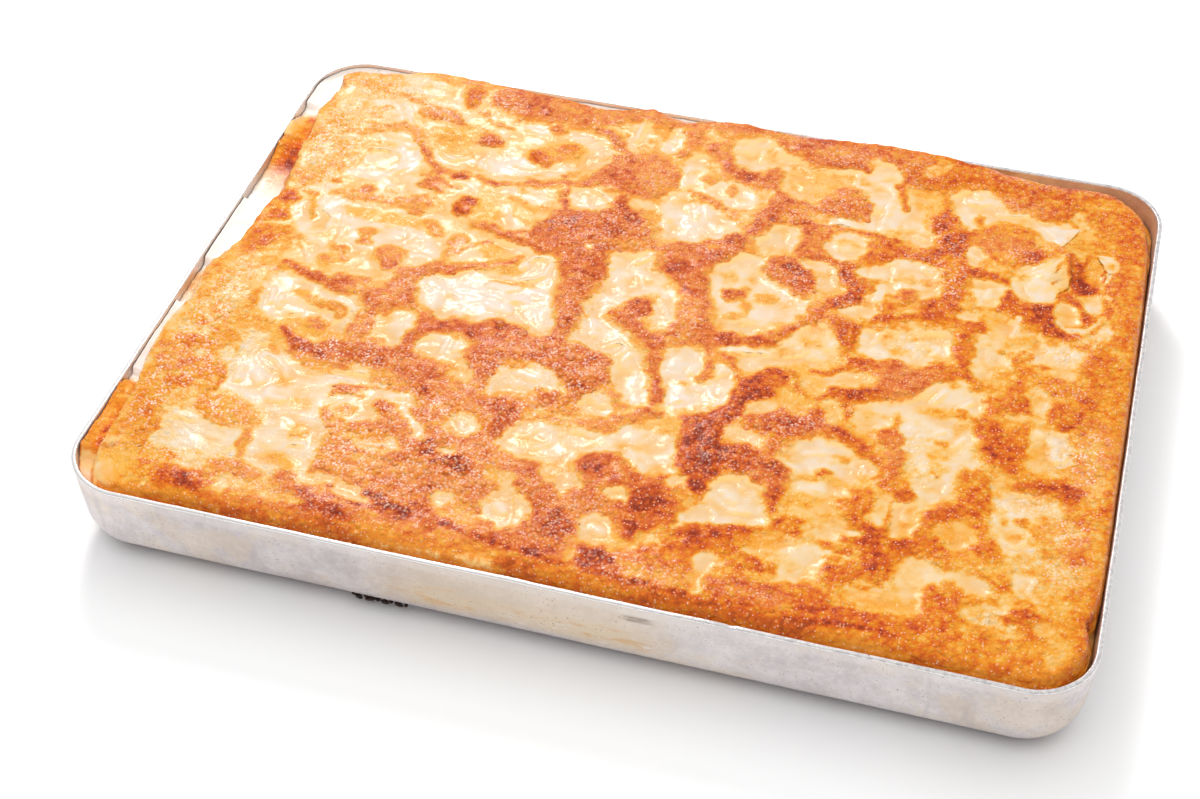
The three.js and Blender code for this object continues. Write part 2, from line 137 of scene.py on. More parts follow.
BROWN = [
 # --- broad areas
 G(.64, [(-104,143),(-92,146),(-60,144),(-30,147),(0,148),(60,148),(60,141),(20,140),(5,136),(-10,135),(-28,133),(-38,133),(-48,131),(-56,124),(-66,122),(-80,121),(-92,121),(-104,124)], 3),
 G(.45, [(-186,142),(-140,150),(-104,148),(-104,138),(-128,140),(-150,141),(-168,138),(-178,130),(-181,110),(-188,96)], 3),
 G(.67, [(60,150),(200,150),(200,98),(190,96),(172,112),(160,113),(150,114),(146,119),(133,121),(124,126),(112,128),(106,121),(98,119),(86,120),(83,126),(72,134),(60,138)], 3),
 G(.60, [(200,100),(200,-150),(186,-152),(150,-150),(150,-128),(170,-126),(176,-100),(178,-70),(180,-40),(182,-10),(178,20),(178,60),(184,90)], 4),
 G(.67, [(-102,-40),(-88,-44),(-68,-50),(-50,-60),(-20,-58),(-4,-64),(4,-66),(6,-80),(32,-88),(40,-100),(40,-112),(60,-114),(64,-124),(80,-128),(110,-128),(150,-128),(150,-152),(-180,-152),(-170,-138),(-150,-130),(-112,-128),(-102,-110),(-104,-92),(-100,-80),(-106,-70),(-98,-60)], 4),
 G(.66, [(-46,106),(-34,112),(-20,110),(-12,100),(-12,86),(-20,78),(-32,79),(-50,81),(-52,88),(-50,96)], 2.2),
 G(.76, [(-60,60),(-52,62),(-38,65),(-35,74),(-30,71),(-22,69),(-19,60),(-13,58),(-14,52),(-8,48),(-12,44),(-20,42),(-28,40),(-26,33),(-25,27),(-28,18),(-30,8),(-29,0),(-30,-8),(-30,-20),(-27,-22),(-15,-22),(-8,-28),(-7,-40),(-9,-52),(-20,-56),(-22,-44),(-34,-38),(-45,-38),(-52,-44),(-52,-58),(-62,-54),(-62,-46),(-68,-40),(-66,-33),(-72,-29),(-82,-30),(-87,-36),(-88,-45),(-95,-50),(-95,-30),(-97,-20),(-92,-20),(-86,-22),(-80,-20),(-70,-20),(-60,-16),(-50,-18),(-42,-22),(-38,-20),(-39,-10),(-43,-3),(-44,3),(-41,8),(-43,14),(-46,22),(-45,28),(-52,31),(-66,31),(-72,34),(-80,38),(-88,41),(-86,46),(-80,43),(-72,41),(-68,46),(-62,54)], 1.6),
 G(.74, [(-8,50),(0,56),(6,57),(18,62),(20,67),(27,66),(28,56),(24,50),(16,45),(14,38),(18,30),(20,20),(24,10),(27,2),(38,3),(46,5),(52,12),(60,18),(63,26),(66,32),(74,36),(78,42),(70,52),(73,60),(66,62),(56,64),(50,60),(50,55),(40,58),(38,50),(44,40),(52,35),(60,33),(63,38),(62,46),(56,50),(52,56),(60,58),(70,55),(80,54),(84,48),(84,38),(78,30),(70,28),(66,18),(58,8),(54,0),(44,-4),(34,-8),(28,-6),(16,-8),(10,-5),(12,8),(10,16),(6,26),(2,31),(-6,34)], 1.6),
 G(.70, [(97,8),(104,5),(113,4),(119,9),(125,8),(132,14),(136,8),(131,0),(122,-5),(115,-12),(107,-18),(98,-17),(92,-15),(84,-19),(78,-24),(82,-28),(94,-25),(99,-20),(96,-8),(90,-2),(84,-2),(85,10),(86,20),(78,24),(70,24),(72,20),(79,14),(82,3),(86,-4),(92,-6)], 1.6),
 # --- back edge and upper left
 E(.62,-120,133,6,9), E(.72,-101,134,10,8), E(.60,-153,127.5,6,2), E(.55,-157,115,4,3), E(.55,-141,122,4,2.5),
 S(.80,4,[(-92,142),(-91,134),(-93,127)]), S(.80,4,[(-85,141),(-84,132),(-81,126)]), E(.66,-75,117.5,6,3),
 S(.66,4.5,[(-136,118),(-126,116),(-118,109),(-111,108),(-105,101)]), E(.45,-135,113,7,5), E(.72,-103,101,6,4.5),
 S(.55,3,[(-111,120),(-104,115),(-96,112)]), S(.60,4,[(-138,100),(-133,93),(-129,86),(-124,79),(-117,75)]), E(.76,-128,86,3,3.5),
 S(.50,3,[(-164,95),(-152,100),(-140,100),(-132,101)]), E(.52,-163,89,5,3), E(.70,-117,75,4,3), E(.74,-107,73,4.5,3.5),
 S(.38,2.5,[(-162,86),(-150,84),(-140,80)]), E(.52,-157,72,3,4), E(.66,-119,64,3.5,4,-40), S(.60,1.4,[(-121,70),(-112,66),(-104,64)]), E(.66,-114,60.5,3,2),
 E(.86,-97.5,52,5.5,6.5), E(.58,-144,52,4,2.5), E(.55,-133,52,3,2), E(.55,-118,52,5,4),
 E(.50,-175,62,8,9), E(.48,-172,50,7,6), E(.50,-160,65,4,5), E(.46,-177,80,6,10), E(.40,-168,78,5,6), E(.46,-172,108,8,5), E(.44,-180,118,6,14), E(.45,-158,104,6,3),
 E(.58,-125,47,12,3), E(.52,-142,47,6,2), E(.50,-150,45,4,3),
 S(.76,5,[(-55,123),(-50,120),(-45,115),(-38,110),(-36,103)]), E(.80,-37,91,7,8), E(.50,-27,98,4,3.5),
 S(.67,4.5,[(-50,82),(-62,79),(-70,77),(-80,73),(-90,70.5),(-98,73)]), E(.78,-90,70.5,5,2.2), S(.80,4,[(-58,75),(-56,67),(-54,61)]),
 E(.84,-33,73,4,4.5), E(.86,-24,63,5,5), E(.84,-50,55,8,6), E(.84,-36,55,10,5),
 E(.60,-15,115,5,3), E(.66,-13,128,6,9), S(.68,2.6,[(-5,91),(3,87),(12,83)]), E(.62,3,99,3.2,2.6,-40), E(.55,13,95,2.4,3.4), E(.50,17.5,78,2,1.5),
 E(.86,37,141,3,5), E(.74,50,136,18,9), S(.76,3.6,[(36,133),(41,128),(48,125),(57,126),(64,128),(69,124)]), E(.72,28,134,8,5,-40),
 S(.72,7,[(-2,124),(5,116),(9,111),(15,108)]), E(.82,18,107,5.5,5), E(.74,28,115,3.6,7), E(.70,25,105,7,5), E(.55,5,124,3,5),
 S(.74,5,[(30,103),(34,96),(38,92)]), E(.78,35,88,5,8), E(.80,31,78,4.5,8), E(.80,28.5,70,3,3),
 S(.72,4,[(37,93),(44,95),(50,93),(57,93),(63,95),(70,92)]), S(.72,4,[(40,80),(44,83),(50,83)]), S(.74,7,[(50,82),(54,76),(55,69)]), E(.56,45,88,5,3),
 G(.66, [(52,98),(58,107),(68,110),(73,104),(74,96),(71,91),(62,92),(54,93)], 2), E(.76,62,93,3,2),
 S(.62,1.6,[(50,81),(60,81),(71,82.5),(80,81.2),(90,80)]), G(.70, [(79,80),(90,80),(97,74),(101,70),(94,66),(84,64),(79,62),(75,58),(78,66),(80,72)], 1.6),
 S(.66,3,[(60,78),(59,71),(60,65),(66,61)]), S(.74,5,[(50,66),(52,61),(60,60),(70,59),(75,58)]), E(.88,73,53.5,4.5,5.5), E(.86,52,47,6,6), E(.78,46,44,4,4),
 E(.74,90,130,5,7), E(.66,95,124,8,5), S(.68,4,[(84,119),(87,112),(89,107),(91,102)]), E(.60,84,48,3,3), E(.80,22,62,5,4), E(.86,17,49,4,4),
 # --- upper right
 G(.76, [(106,112),(110,104),(116,97),(121,100),(123,96),(122,84),(119,76),(124,72),(132,70),(140,68),(140,64),(130,66),(122,62),(121,52),(124,42),(120,32),(112,32),(106,33),(98,26),(88,25),(84,27),(90,31),(100,32),(106,36),(106,42),(98,48),(104,44),(112,46),(114,54),(113,62),(106,68),(98,70),(94,74),(102,78),(108,82),(108,92),(105,102)], 1.8),
 E(.84,114,84,5,8), E(.62,133,90,12,9), E(.72,144,90,6,5), E(.64,142,80,3.5,3), E(.58,156,93,5,4), E(.68,125,96,4,5), E(.72,135,120,7,3), E(.66,155,121,9,8),
 E(.52,175,130,10,5), E(.68,188,90,6,10), E(.70,186,70,6,12), E(.60,178,104,8,6), E(.70,165,118,4,3),
 E(.86,170,77,6,9,-25), E(.90,172,71,4,4), E(.80,167,86,3,4), G(.74, [(138,64),(142,60),(148,55),(156,55),(162,60),(164,68),(168,66),(170,58),(176,52),(176,46),(166,45),(162,50),(158,42),(168,36),(176,38),(172,30),(160,36),(150,42),(142,46),(136,46)], 1.6),
 E(.88,157,48,5,8), E(.86,166,38,5,3,-20), E(.66,178,42,4,8,20), E(.70,150,49,6,4),
 E(.76,131,33,5,4.5), E(.70,125,25,4,4.5), E(.78,129,16,5,4.5), E(.72,132,8,4,5), E(.62,123,37,3,4), E(.74,100,45,5,3), E(.70,93,35,3,3),
 E(.74,153,21.5,3,3), E(.62,144,21,2.2,1.6), S(.62,6,[(151,18),(152,8),(154,-4)]), E(.56,148,4,4,3), E(.60,160,14,4,2.5), E(.66,179,22,4,8),
 E(.80,89,-1,5,4), E(.74,168,8,7,4,10), E(.66,164,3,5,3), E(.60,175,5,4,4), E(.70,181,0,4,5), E(.70,152,-12,7,5.5), E(.66,155,-5,5,7), E(.66,172,-8,6,6), S(.90,2.8,[(174,-18),(177,-12),(179,-7)]),
 E(.56,134,-7,4,3), E(.66,133,-20,3,2.6), S(.48,2,[(122,-23),(130,-20)]), S(.76,8,[(143,-24),(147,-31),(151,-40),(156,-47)]), E(.68,156,-33,5,5), E(.62,157,-24,4,3.5),
 E(.60,188,-25,6,16), E(.55,186,-45,6,8), E(.62,186,10,6,10),
 # --- left
 E(.76,-176,38,4.5,4.5), E(.54,-179,34,5,5), E(.66,-176,25,4.5,4.5), E(.70,-177,9,6,8,-30), E(.60,-169,15,5,3), E(.62,-174,-2,4,3), S(.52,2,[(-172,17),(-162,14),(-155,11)]), E(.50,-184,18,4,14),
 E(.56,-134,24,5,3), E(.64,-133,17,3.6,2.8), E(.62,-142,10.5,4,1.5), E(.60,-117,13,6,6), E(.70,-117,6,3.5,6,20), E(.60,-144,2,4,4), S(.58,3,[(-140,8),(-136,3)]),
 S(.60,2.4,[(-166,41),(-162,34),(-161.5,27)]), E(.40,-164,22,2.4,1.6), E(.48,-184,-8,4,6), E(.50,-186,-22,4,10,20),
 S(.74,4.5,[(-158,-6.5),(-151,-9),(-146,-11),(-138,-14),(-131,-15)]), E(.74,-130,-10,8,4), E(.66,-123,-8,3,2.6), E(.62,-124,-14,6,3), E(.78,-151,-9,2.5,2), E(.78,-143,-11,3,3),
 E(.50,-167,-6,6,3), E(.42,-166,-12,3,3),
 G(.68, [(-123,-13),(-114,-9),(-112,0),(-108,6),(-100,11),(-95,14),(-93,8),(-100,0),(-99,-8),(-97,-14),(-102,-21),(-107,-27),(-111,-23),(-111,-34),(-109,-42),(-118,-46),(-119,-38),(-117,-28),(-120,-20)], 1.8),
 E(.76,-103,-12,3,3), E(.62,-98,-18,2.6,3), E(.76,-116,-17,3.4,3.4),
 S(.64,2.6,[(-83,28),(-90,20),(-93,15)]), S(.68,3.6,[(-64,23),(-70,20),(-78,17),(-87,13),(-93,9),(-100,5)]), E(.84,-91,8,3.4,4), E(.66,-77,22,2.6,2.6), E(.58,-65,24,3,4),
 E(.62,-94,30,5,3.5), E(.78,-85,43,3.4,3), E(.60,-92,-18,2.6,3), E(.82,-7,7,6.2,6.6), E(.78,-15,1.5,3.2,2.8,-20), S(.76,7,[(-12,0),(-5,-4),(0,-8),(6,-13)]),
 E(.84,-68,-25,8,4.5), E(.84,-48.5,-20.5,4.5,2), E(.86,-35,-9,2,2), E(.86,-58,-19,2.6,2.6), E(.88,-93,-46,6,3),
 E(.80,-112,-51,12,5,-6), E(.86,-131,-54,6,3), G(.76, [(-124,-46),(-106,-42),(-96,-48),(-95,-60),(-108,-56),(-120,-62),(-133,-62),(-139,-55),(-132,-53)], 2),
 S(.78,4,[(-148,-45),(-142,-49),(-134,-53)]), S(.48,4,[(-158,-43),(-150,-47),(-143,-51)]), S(.60,2.6,[(-142,-21),(-139,-26),(-136,-29)]), E(.52,-148,-25,5,2), E(.60,-131,-27.5,4,1.6), S(.62,2.4,[(-128,-27),(-124.5,-30),(-127,-34)]), E(.56,-127,-32,3,2),
 E(.70,-133,-40,4.5,2.8), E(.62,-138,-37,3,2), E(.60,-145,-37,1.6,1.6), E(.64,-162,-33,1.6,2), E(.54,-166,-25,3,6), E(.50,-184,-32,4,6), E(.46,-176,-20,6,8), E(.46,-178,-48,8,6),
 E(.52,-178,-62,7,4), E(.56,-185,-66,4,5), E(.66,-180,-76,7,4.5), E(.62,-172,-86,5,4), E(.52,-176,-92,6,4), E(.50,-168,-62,5,4), E(.54,-165,-74,4,4), S(.58,3.4,[(-159,-74),(-157,-82),(-158,-89)]), E(.70,-178,-104,4,8,10), E(.60,-171,-113,4,4), E(.48,-184,-90,4,10),
 E(.50,-146,-97,12,7), S(.56,5,[(-138,-104),(-134,-109),(-133,-115)]), E(.52,-162,-95,6,3), S(.50,2,[(-131,-99),(-124,-93)]),
 S(.70,3.6,[(-121,-76),(-114,-77),(-106,-72.5),(-98,-71)]), E(.80,-114,-77,3,2.4), S(.66,4,[(-113,-84),(-107,-91),(-103,-95)]), E(.74,-103,-93,3,3), E(.72,-98,-101,5,12),
 E(.68,-120,-63,8,2.6), E(.60,-165,-123,10,4), E(.58,-176,-121,6,3), E(.62,-138,-126,7,3.6), E(.56,-126,-125,6,3),
 E(.84,-150,-137,7,4,-15), E(.68,-158,-132,5,3), E(.64,-118,-135,12,4.5), E(.80,-99,-136,8,5.5), E(.72,-97,-128,6,3),
 # --- middle
 E(.86,4,37,6,5), E(.84,13,25,3.6,5), E(.80,12,13,2.6,3), E(.84,31,-1.5,5,3.6), E(.72,17,-5,3.2,2.8), E(.86,58,42,4,5),
 S(.76,6,[(5,-9),(7,-20),(10,-30),(13,-40),(16,-45)]), S(.66,3.6,[(26,-4),(29,-12),(30,-20),(28,-28)]), E(.62,30.5,-28,3,2.6), S(.70,4,[(33,-10),(38,-14),(42,-20),(47,-26)]),
 G(.86, [(53,-14),(60,-12),(63,-20),(61,-27),(56,-33),(50,-37),(50,-46),(44,-48),(44,-58),(52,-63),(58,-61),(63,-64),(66,-70),(58,-75),(50,-76),(47,-84),(44,-91),(38,-90),(33,-82),(31,-72),(30,-62),(27,-52),(34,-46),(40,-38),(44,-30),(48,-22)], 1.6),
 E(.93,52,-28,4,4), E(.93,45,-42,5,7), E(.95,45,-68,7,4), E(.92,40,-76,5,5), E(.88,35,-54,8,4),
 S(.66,4,[(62,-14),(67,-17),(70,-24)]), G(.74, [(50,-45),(56,-41),(64,-35),(72,-38),(76,-31),(80,-36),(79,-46),(74,-50),(68,-56),(66,-64),(61,-64),(62,-53),(52,-50)], 1.8),
 E(.60,62,-25,3,3), S(.74,6,[(78,-42),(84,-43),(92,-46),(101,-51)]), S(.78,6,[(81,-23),(87,-21),(94,-18),(100,-15)]), S(.66,3,[(71,-26),(77,-27.5),(85,-24)]), E(.60,90,-30,3,3), S(.52,2,[(91,-30),(92,-38)]),
 E(.78,75,-11,4,2), S(.66,3,[(75,-11),(82,-8),(90,-4)]),
 S(.74,7,[(62,-66),(68,-73),(73,-82),(70,-89)]), E(.80,71,-78,4,5), S(.72,3.6,[(-2,-61),(6,-57),(13,-52),(18,-53)]), E(.80,15,-53,4,2), E(.56,2,-51,3,4), S(.66,3,[(-20,-62),(-10,-65),(0,-62)]), E(.42,-12,-63,8,2),
 G(.74, [(-7,-84),(3,-79),(10,-83),(18,-88),(25,-88),(30,-81),(34,-90),(33,-100),(35,-108),(36,-116),(30,-114),(26,-121),(20,-114),(12,-108),(4,-106),(-3,-108),(-4,-101),(5,-97),(11,-93),(2,-92)], 1.8),
 E(.88,27,-98,5.5,7), E(.86,25,-115,4,5), E(.80,2,-86,5,5), E(.95,-70,-128,12,3.6,-12), E(.90,-58,-121,4,6), E(.88,-42,-75,2.6,5), E(.80,-42,-65,6,5), E(.90,-50,-100,8,4,-12), E(.82,-63,-95,5,4), E(.88,-91,-136,10,3,-14), E(.88,-3,-122,6,7),
 E(.82,-75,-54,6,3), E(.82,-88,-56,5,3), E(.84,-50,-138,4,4), E(.78,-18,-108,6,6), E(.80,-12,-115,4,4), E(.80,-26,-56,5,4), E(.76,-78,-67,4,4), E(.74,-48,-75,3,2.4), E(.76,-22,-97,6,4), E(.78,-15,-134,12,4),
 E(.88,12,-134,8,5), E(.60,36,-135,13,6), E(.72,45,-113,4,4), E(.72,55,-114,8,6), S(.74,5,[(49,-108),(60,-106),(70,-103)]), E(.74,79,-97,6,4), E(.70,70,-120,8,3.6), E(.78,70,-121,3,2), E(.68,68,-135,10,6), E(.60,85,-132,8,5), E(.64,98,-122,6,5), E(.68,88,-66,4,2), E(.60,84,-80,4,2), E(.64,98,-81,6,4),
 # --- lower right
 S(.72,6.5,[(101,-52),(107,-57),(112,-61),(118,-68)]), E(.80,119,-70,3.6,3.6), E(.66,108,-63,3,4), E(.72,104,-75,5,4), E(.70,100,-82,6,4), E(.72,113,-50,4,4.5), E(.76,109,-41,4,4.5), S(.56,2,[(110,-28),(109,-36)]), E(.50,127,-39,2.4,2), E(.50,128,-46,4,4),
 S(.70,8,[(145,-54),(146,-63),(142,-70),(135,-76),(130,-81),(129,-88)]), E(.78,142,-71,4,4), E(.66,148,-60,4,6), E(.66,132,-91,4,5), E(.62,128,-55,3,3),
 E(.80,112,-92,4.5,6), E(.76,118,-98,8,5), E(.76,125,-98,8,4), E(.72,115,-106,7,6), E(.72,113,-115,11,6), E(.68,103,-119,8,5), E(.64,100,-105,6,3),
 E(.72,153,-89,6,4.5), E(.64,148,-82,4,5), E(.54,156,-96,6,4), E(.60,139,-100,3.6,4), E(.68,158,-104,5,3), E(.70,163,-107,3.6,2.6), E(.74,142,-121,8,6), E(.68,145,-112,4,5), E(.76,150,-127,7,5),
 E(.82,171,-119,6,2.4,20), E(.78,178,-52,6,4), E(.76,168,-52,4,4), E(.62,164,-54,5,6), E(.56,163,-76,5,4), E(.60,184,-84,5,14), E(.56,178,-72,5,12), E(.60,190,-60,5,14), E(.60,184,-64,4,3), E(.52,173,-67,3,2.6),
 # --- front shoulder
 G(.66, [(-190,-153),(-140,-139.5),(-120,-140),(-100,-140),(-80,-140),(-60,-141),(-40,-141),(-20,-139.5),(0,-141),(20,-140),(50,-140),(70,-140),(90,-140),(105,-139),(120,-138.5),(135,-141),(155,-143),(155,-156),(-190,-156)], 1.6),
 E(.80,-118,-146,10,5), E(.82,-8,-147,12,5), E(.80,45,-147,16,4), E(.82,76,-144,22,4), E(.92,92,-148,10,2.4,12), S(.92,2.2,[(92,-146),(105,-141),(115,-139.5),(124,-140),(129,-143)]), S(.88,2,[(112,-147),(124,-146),(136,-148)]), E(.62,148,-144,8,4), E(.60,-160,-144,14,4), E(.56,-45,-146,14,4), E(.72,-80,-145,14,4),
]

POOLS = [
 # --- upper left
 E(.12,-144,136,13,2.6,-4), E(.12,-168,124,12,2.4,4), E(.12,-131,125,10,4.5), E(.15,-165,117,6,2), E(.10,-148,111,6,9,25), E(.08,-151,93.5,11,3.6), E(.05,-136,82,7,13), E(.12,-149,66,9,8), E(.18,-130,60,12,7),
 E(.20,-119,99,11,8,20), E(.08,-115,87,12,6.5), E(.12,-101,89,7,8), E(.15,-105,67,8,3.6), E(.10,-162,47,8,5), E(.14,-150,110,8,5), E(.22,-168,100,6,3), E(.24,-174,94,5,3),
 E(.05,-84,115,7,4), E(.08,-64,114.5,8,4.6), E(.06,-88,86,13,7.5), E(.12,-66,88,13,4.5,8), E(.15,-53,103,7.5,12), E(.10,-37,123,4.4,10), E(.10,-22,123,5,11), E(.12,-6,101,5.5,16), E(.10,-47,72.5,9.5,6.5), E(.24,-22,75,6,4), E(.12,-75,67,13,5), E(.15,-78,50,12,7,-8),
 G(.09, [(-14,88),(-6,82),(6,82),(18,76),(24,68),(16,62),(6,56),(-6,54),(-10,58),(-14,66),(-15,78)], 1.8),
 G(.09, [(20,137),(30,128),(38,123),(34,120),(30,121),(26,121),(22,116),(17,113),(12,116),(8,123),(8,130),(14,133)], 1.6),
 G(.20, [(35,119),(48,118),(58,121),(66,122),(58,112),(54,106),(50,99),(42,97),(36,101),(33,108)], 2.2),
 G(.10, [(54,121),(62,125),(68,124),(74,127),(80,128),(86,124),(84,117),(86,108),(89,100),(90,90),(84,83),(78,84),(76,96),(76,104),(70,111),(60,113)], 1.8),
 E(.13,95,101,7.5,15), E(.10,98,86,7,6), G(.08, [(57,84),(62,84),(72,84),(78,84),(78,90),(70,89),(62,88),(56,86)], 1.2), E(.08,70,70.5,8.6,8.6), G(.12, [(38,78),(48,80),(48,70),(49,62),(44,60),(36,56),(32,60),(31,66),(36,70)], 1.6),
 E(.12,60,53.5,7.5,3), E(.12,86,57,9,4.6,8), E(.12,96,63,6,6), E(.14,12,92,14,8,-8), E(.15,30,49,7,5), E(.18,75,132,6,2), E(.18,98,136,6,2.6,20),
 # --- upper right
 G(.13, [(108,118),(112,124),(122,126),(130,120),(134,112),(144,112),(152,111),(160,111),(165,108),(162,100),(158,97),(152,101),(146,103),(134,100),(126,103),(122,99),(119,95),(117,101),(111,106)], 1.6),
 E(.14,127,76,5.5,4.5), E(.30,141,78,8,4), G(.13, [(141,67),(144,60),(152,57),(159,59),(162,70),(162,84),(160,91),(154,82),(147,74)], 1.4), E(.10,133,56,6,8), E(.12,104,63,9,6,8), E(.14,106,50,8,4.5), E(.20,167,53,5,7), E(.20,177,61,3,5), E(.12,180,80,2,2.6), E(.14,179,92,4,1.8), E(.16,164,118,2.2,5,-30), E(.12,158,104,6,6),
 G(.15, [(96,20),(104,21),(112,28),(120,27),(124,20),(124,13),(118,8),(112,4),(104,6),(97,5),(92,4),(88,10),(88,20)], 1.6), E(.20,127,40,4,4), G(.17, [(132,30),(142,34),(150,36),(160,34),(174,34),(176,26),(172,14),(160,13),(156,17),(150,26),(146,18),(148,8),(142,2),(136,4),(135,14)], 2.2), E(.18,183,44,2,8,-10), E(.30,161,0,4,4), E(.25,164,-8,4,5),
 G(.14, [(118,-8),(128,-1),(140,-5),(143,-14),(136,-24),(140,-34),(146,-48),(136,-54),(122,-50),(114,-46),(104,-38),(98,-40),(92,-36),(94,-27),(101,-22),(110,-19)], 2.2), E(.15,170,-31,8,13), E(.22,166,-18,5,5),
 # --- left
 G(.11, [(-158,46),(-140,40),(-122,42),(-117,34),(-108,30),(-100,25),(-97,16),(-111,10),(-125,14),(-136,8),(-156,10),(-168,20),(-172,34),(-166,46)], 2), E(.24,-101,38,5,4), E(.18,-150,3,8,6), E(.22,-128,0,8,5), E(.24,-160,-2,5,3),
 G(.11, [(-160,-12),(-150,-14),(-138,-19),(-124,-18),(-120,-25),(-120,-40),(-128,-47),(-140,-46),(-150,-42),(-160,-34),(-162,-22)], 2),
 E(.10,-96,-4,4.5,9), E(.10,-99,-31,4.6,10), E(.15,-84,19,5,4,30), G(.06, [(-84,10),(-74,12),(-66,14),(-62,30),(-52,29),(-48,24),(-45,12),(-45,4),(-40,-4),(-39,-14),(-41,-20),(-50,-16),(-60,-14),(-70,-18),(-84,-18),(-92,-16),(-96,-10),(-92,2)], 2),
 E(.07,-77,-38,8.4,7.6), E(.06,-38,-46,11.5,7), G(.06, [(-50,-44),(-38,-39),(-28,-41),(-25,-48),(-32,-52),(-40,-58),(-50,-58)], 1.6),
 G(.11, [(-26,34),(-22,41),(-12,47),(-8,38),(-2,30),(1,24),(-5,16),(-13,10),(-19,4),(-20,-2),(-13,-6),(-4,-12),(0,-20),(3,-30),(8,-40),(11,-46),(4,-50),(-4,-46),(-4,-34),(-8,-24),(-14,-21),(-27,-19),(-28,-5),(-27,8),(-24,20)], 1.8),
 G(.12, [(-3,25),(3,22),(8,16),(11,8),(11,0),(6,-5),(1,-3),(0,5),(0,12)], 1.4),
 # --- middle
 G(.10, [(19,46),(28,51),(36,50),(39,44),(47,37),(54,34),(61,30),(63,22),(56,16),(48,11),(42,4),(34,3),(28,8),(24,18),(20,28),(16,36)], 1.8), E(.12,67,47,3.6,7.5), E(.12,83,30,8,3.6,10), E(.08,88,42,3,8,-10), E(.15,95,50,4,4), E(.12,94,12,8,9),
 G(.13, [(57,5),(61,12),(68,18),(73,14),(78,8),(81,2),(76,-5),(68,-9),(58,-11),(51,-16),(47,-19),(42,-15),(36,-9),(44,-5),(52,-4),(56,0)], 1.6), G(.15, [(72,-14),(80,-12),(88,-7),(94,-9),(90,-14),(82,-18),(75,-24),(70,-21)], 1.4),
 G(.08, [(13,-12),(20,-11),(26,-14),(27,-22),(25,-30),(32,-32),(33,-24),(33,-17),(38,-20),(42,-28),(41,-36),(34,-44),(26,-48),(18,-47),(15,-36),(11,-24)], 1.6), E(.12,-1,-32,6,13), E(.14,56,-35,4.6,2.6,10), E(.28,71,-30,6,3,-10), E(.24,85,-31,5,4), E(.15,98,-30,6,8),
 E(.12,53,-56,8,3.8), G(.09, [(71,-62),(75,-54),(82,-49),(91,-50),(99,-56),(103,-64),(99,-73),(90,-71),(83,-68),(75,-68),(68,-66)], 1.8), E(.30,20,-57,8,3.4),
 G(.12, [(3,-68),(8,-60),(18,-62),(28,-64),(30,-75),(29,-83),(22,-87),(14,-84),(8,-78),(2,-76),(-8,-78),(-20,-76),(-33,-74),(-37,-82),(-37,-88),(-28,-88),(-20,-91),(-14,-99),(-6,-106),(0,-98),(-4,-92),(-6,-85),(-2,-80),(4,-76),(0,-70),(-14,-68),(-25,-70),(-14,-67)], 1.8),
 G(.10, [(49,-80),(56,-77),(63,-79),(68,-86),(70,-93),(72,-99),(64,-102),(53,-105),(46,-107),(42,-116),(38,-111),(35,-106),(40,-102),(44,-96),(48,-90)], 1.6), E(.15,14,-98,6,4,-15), E(.24,34,-86,3,3), E(.14,11,-120,8,6.4), E(.34,33,-118,4,3), E(.18,55,-125,5,7), E(.15,87,-77,13,5), E(.24,90,-88,12,6), G(.15, [(66,-111),(75,-113),(82,-108),(92,-105),(99,-109),(94,-119),(86,-126),(78,-124),(80,-117),(71,-116)], 1.8), E(.15,97,-95,8,6),
 # --- lower left
 G(.08, [(-158,-50),(-150,-52),(-142,-57),(-137,-62),(-126,-67),(-114,-66),(-100,-63),(-96,-67),(-110,-70),(-122,-74),(-120,-82),(-114,-90),(-108,-97),(-108,-104),(-118,-109),(-126,-102),(-132,-91),(-144,-88),(-156,-85),(-160,-70)], 2.4),
 E(.14,-101,-82,9,6), G(.12, [(-166,-102),(-154,-105),(-141,-110),(-132,-118),(-122,-110),(-110,-104),(-104,-108),(-104,-118),(-114,-124),(-128,-119),(-140,-122),(-152,-127),(-160,-119)], 2.2),
 E(.30,-166,-68,5,8), E(.26,-184,-54,5,5), E(.30,-168,-100,6,4), E(.34,-186,-44,3,8),
 # the near-white crescent at the dimple's near edge and the white stroke beside it are painted highlights
 E(.12,-88,-73,11,6), E(.15,-98,-83,8,6), E(.06,-87,-98,12,5), E(.14,-56,-80,7.4,5.4), E(.22,-55,-95,4,2.6), S(.06,4,[(-81,-78),(-74,-83),(-68,-89)]), E(.10,-8,-53,6.5,6.5), E(.10,-25,-118,8,10), G(.10, [(-33,-112),(-29,-106),(-22,-109),(-16,-115),(-17,-124),(-24,-129),(-31,-124),(-34,-117)], 1.4), E(.12,-84,-128,7.5,4), E(.22,-50,-120,3,3.6), E(.14,-95,-122,8,3), E(.36,-45,-128,5,1.6), E(.22,-64,-52,5,3), E(.20,-100,-62,10,3), E(.22,-30,-104,7,2.4,-20),
 # --- lower right
 E(.10,103,-62,4.6,7), G(.15, [(111,-47),(122,-48),(130,-52),(137,-56),(134,-68),(128,-76),(124,-85),(120,-92),(112,-86),(108,-77),(112,-71),(122,-72),(120,-62)], 2.2), E(.20,140,-86,8,6), G(.17, [(152,-50),(160,-56),(168,-60),(178,-60),(176,-70),(166,-72),(170,-84),(176,-95),(168,-96),(160,-88),(154,-78),(152,-66),(153,-56)], 2.4), E(.20,170,-103,6,6), E(.20,151,-108,11,5), E(.18,131,-108,8,6), E(.20,128,-119,6,3), E(.14,120,-123,13,3), E(.20,162,-122,7,5), E(.15,99,-108,9,2), E(.12,155,-56,4,8),
]

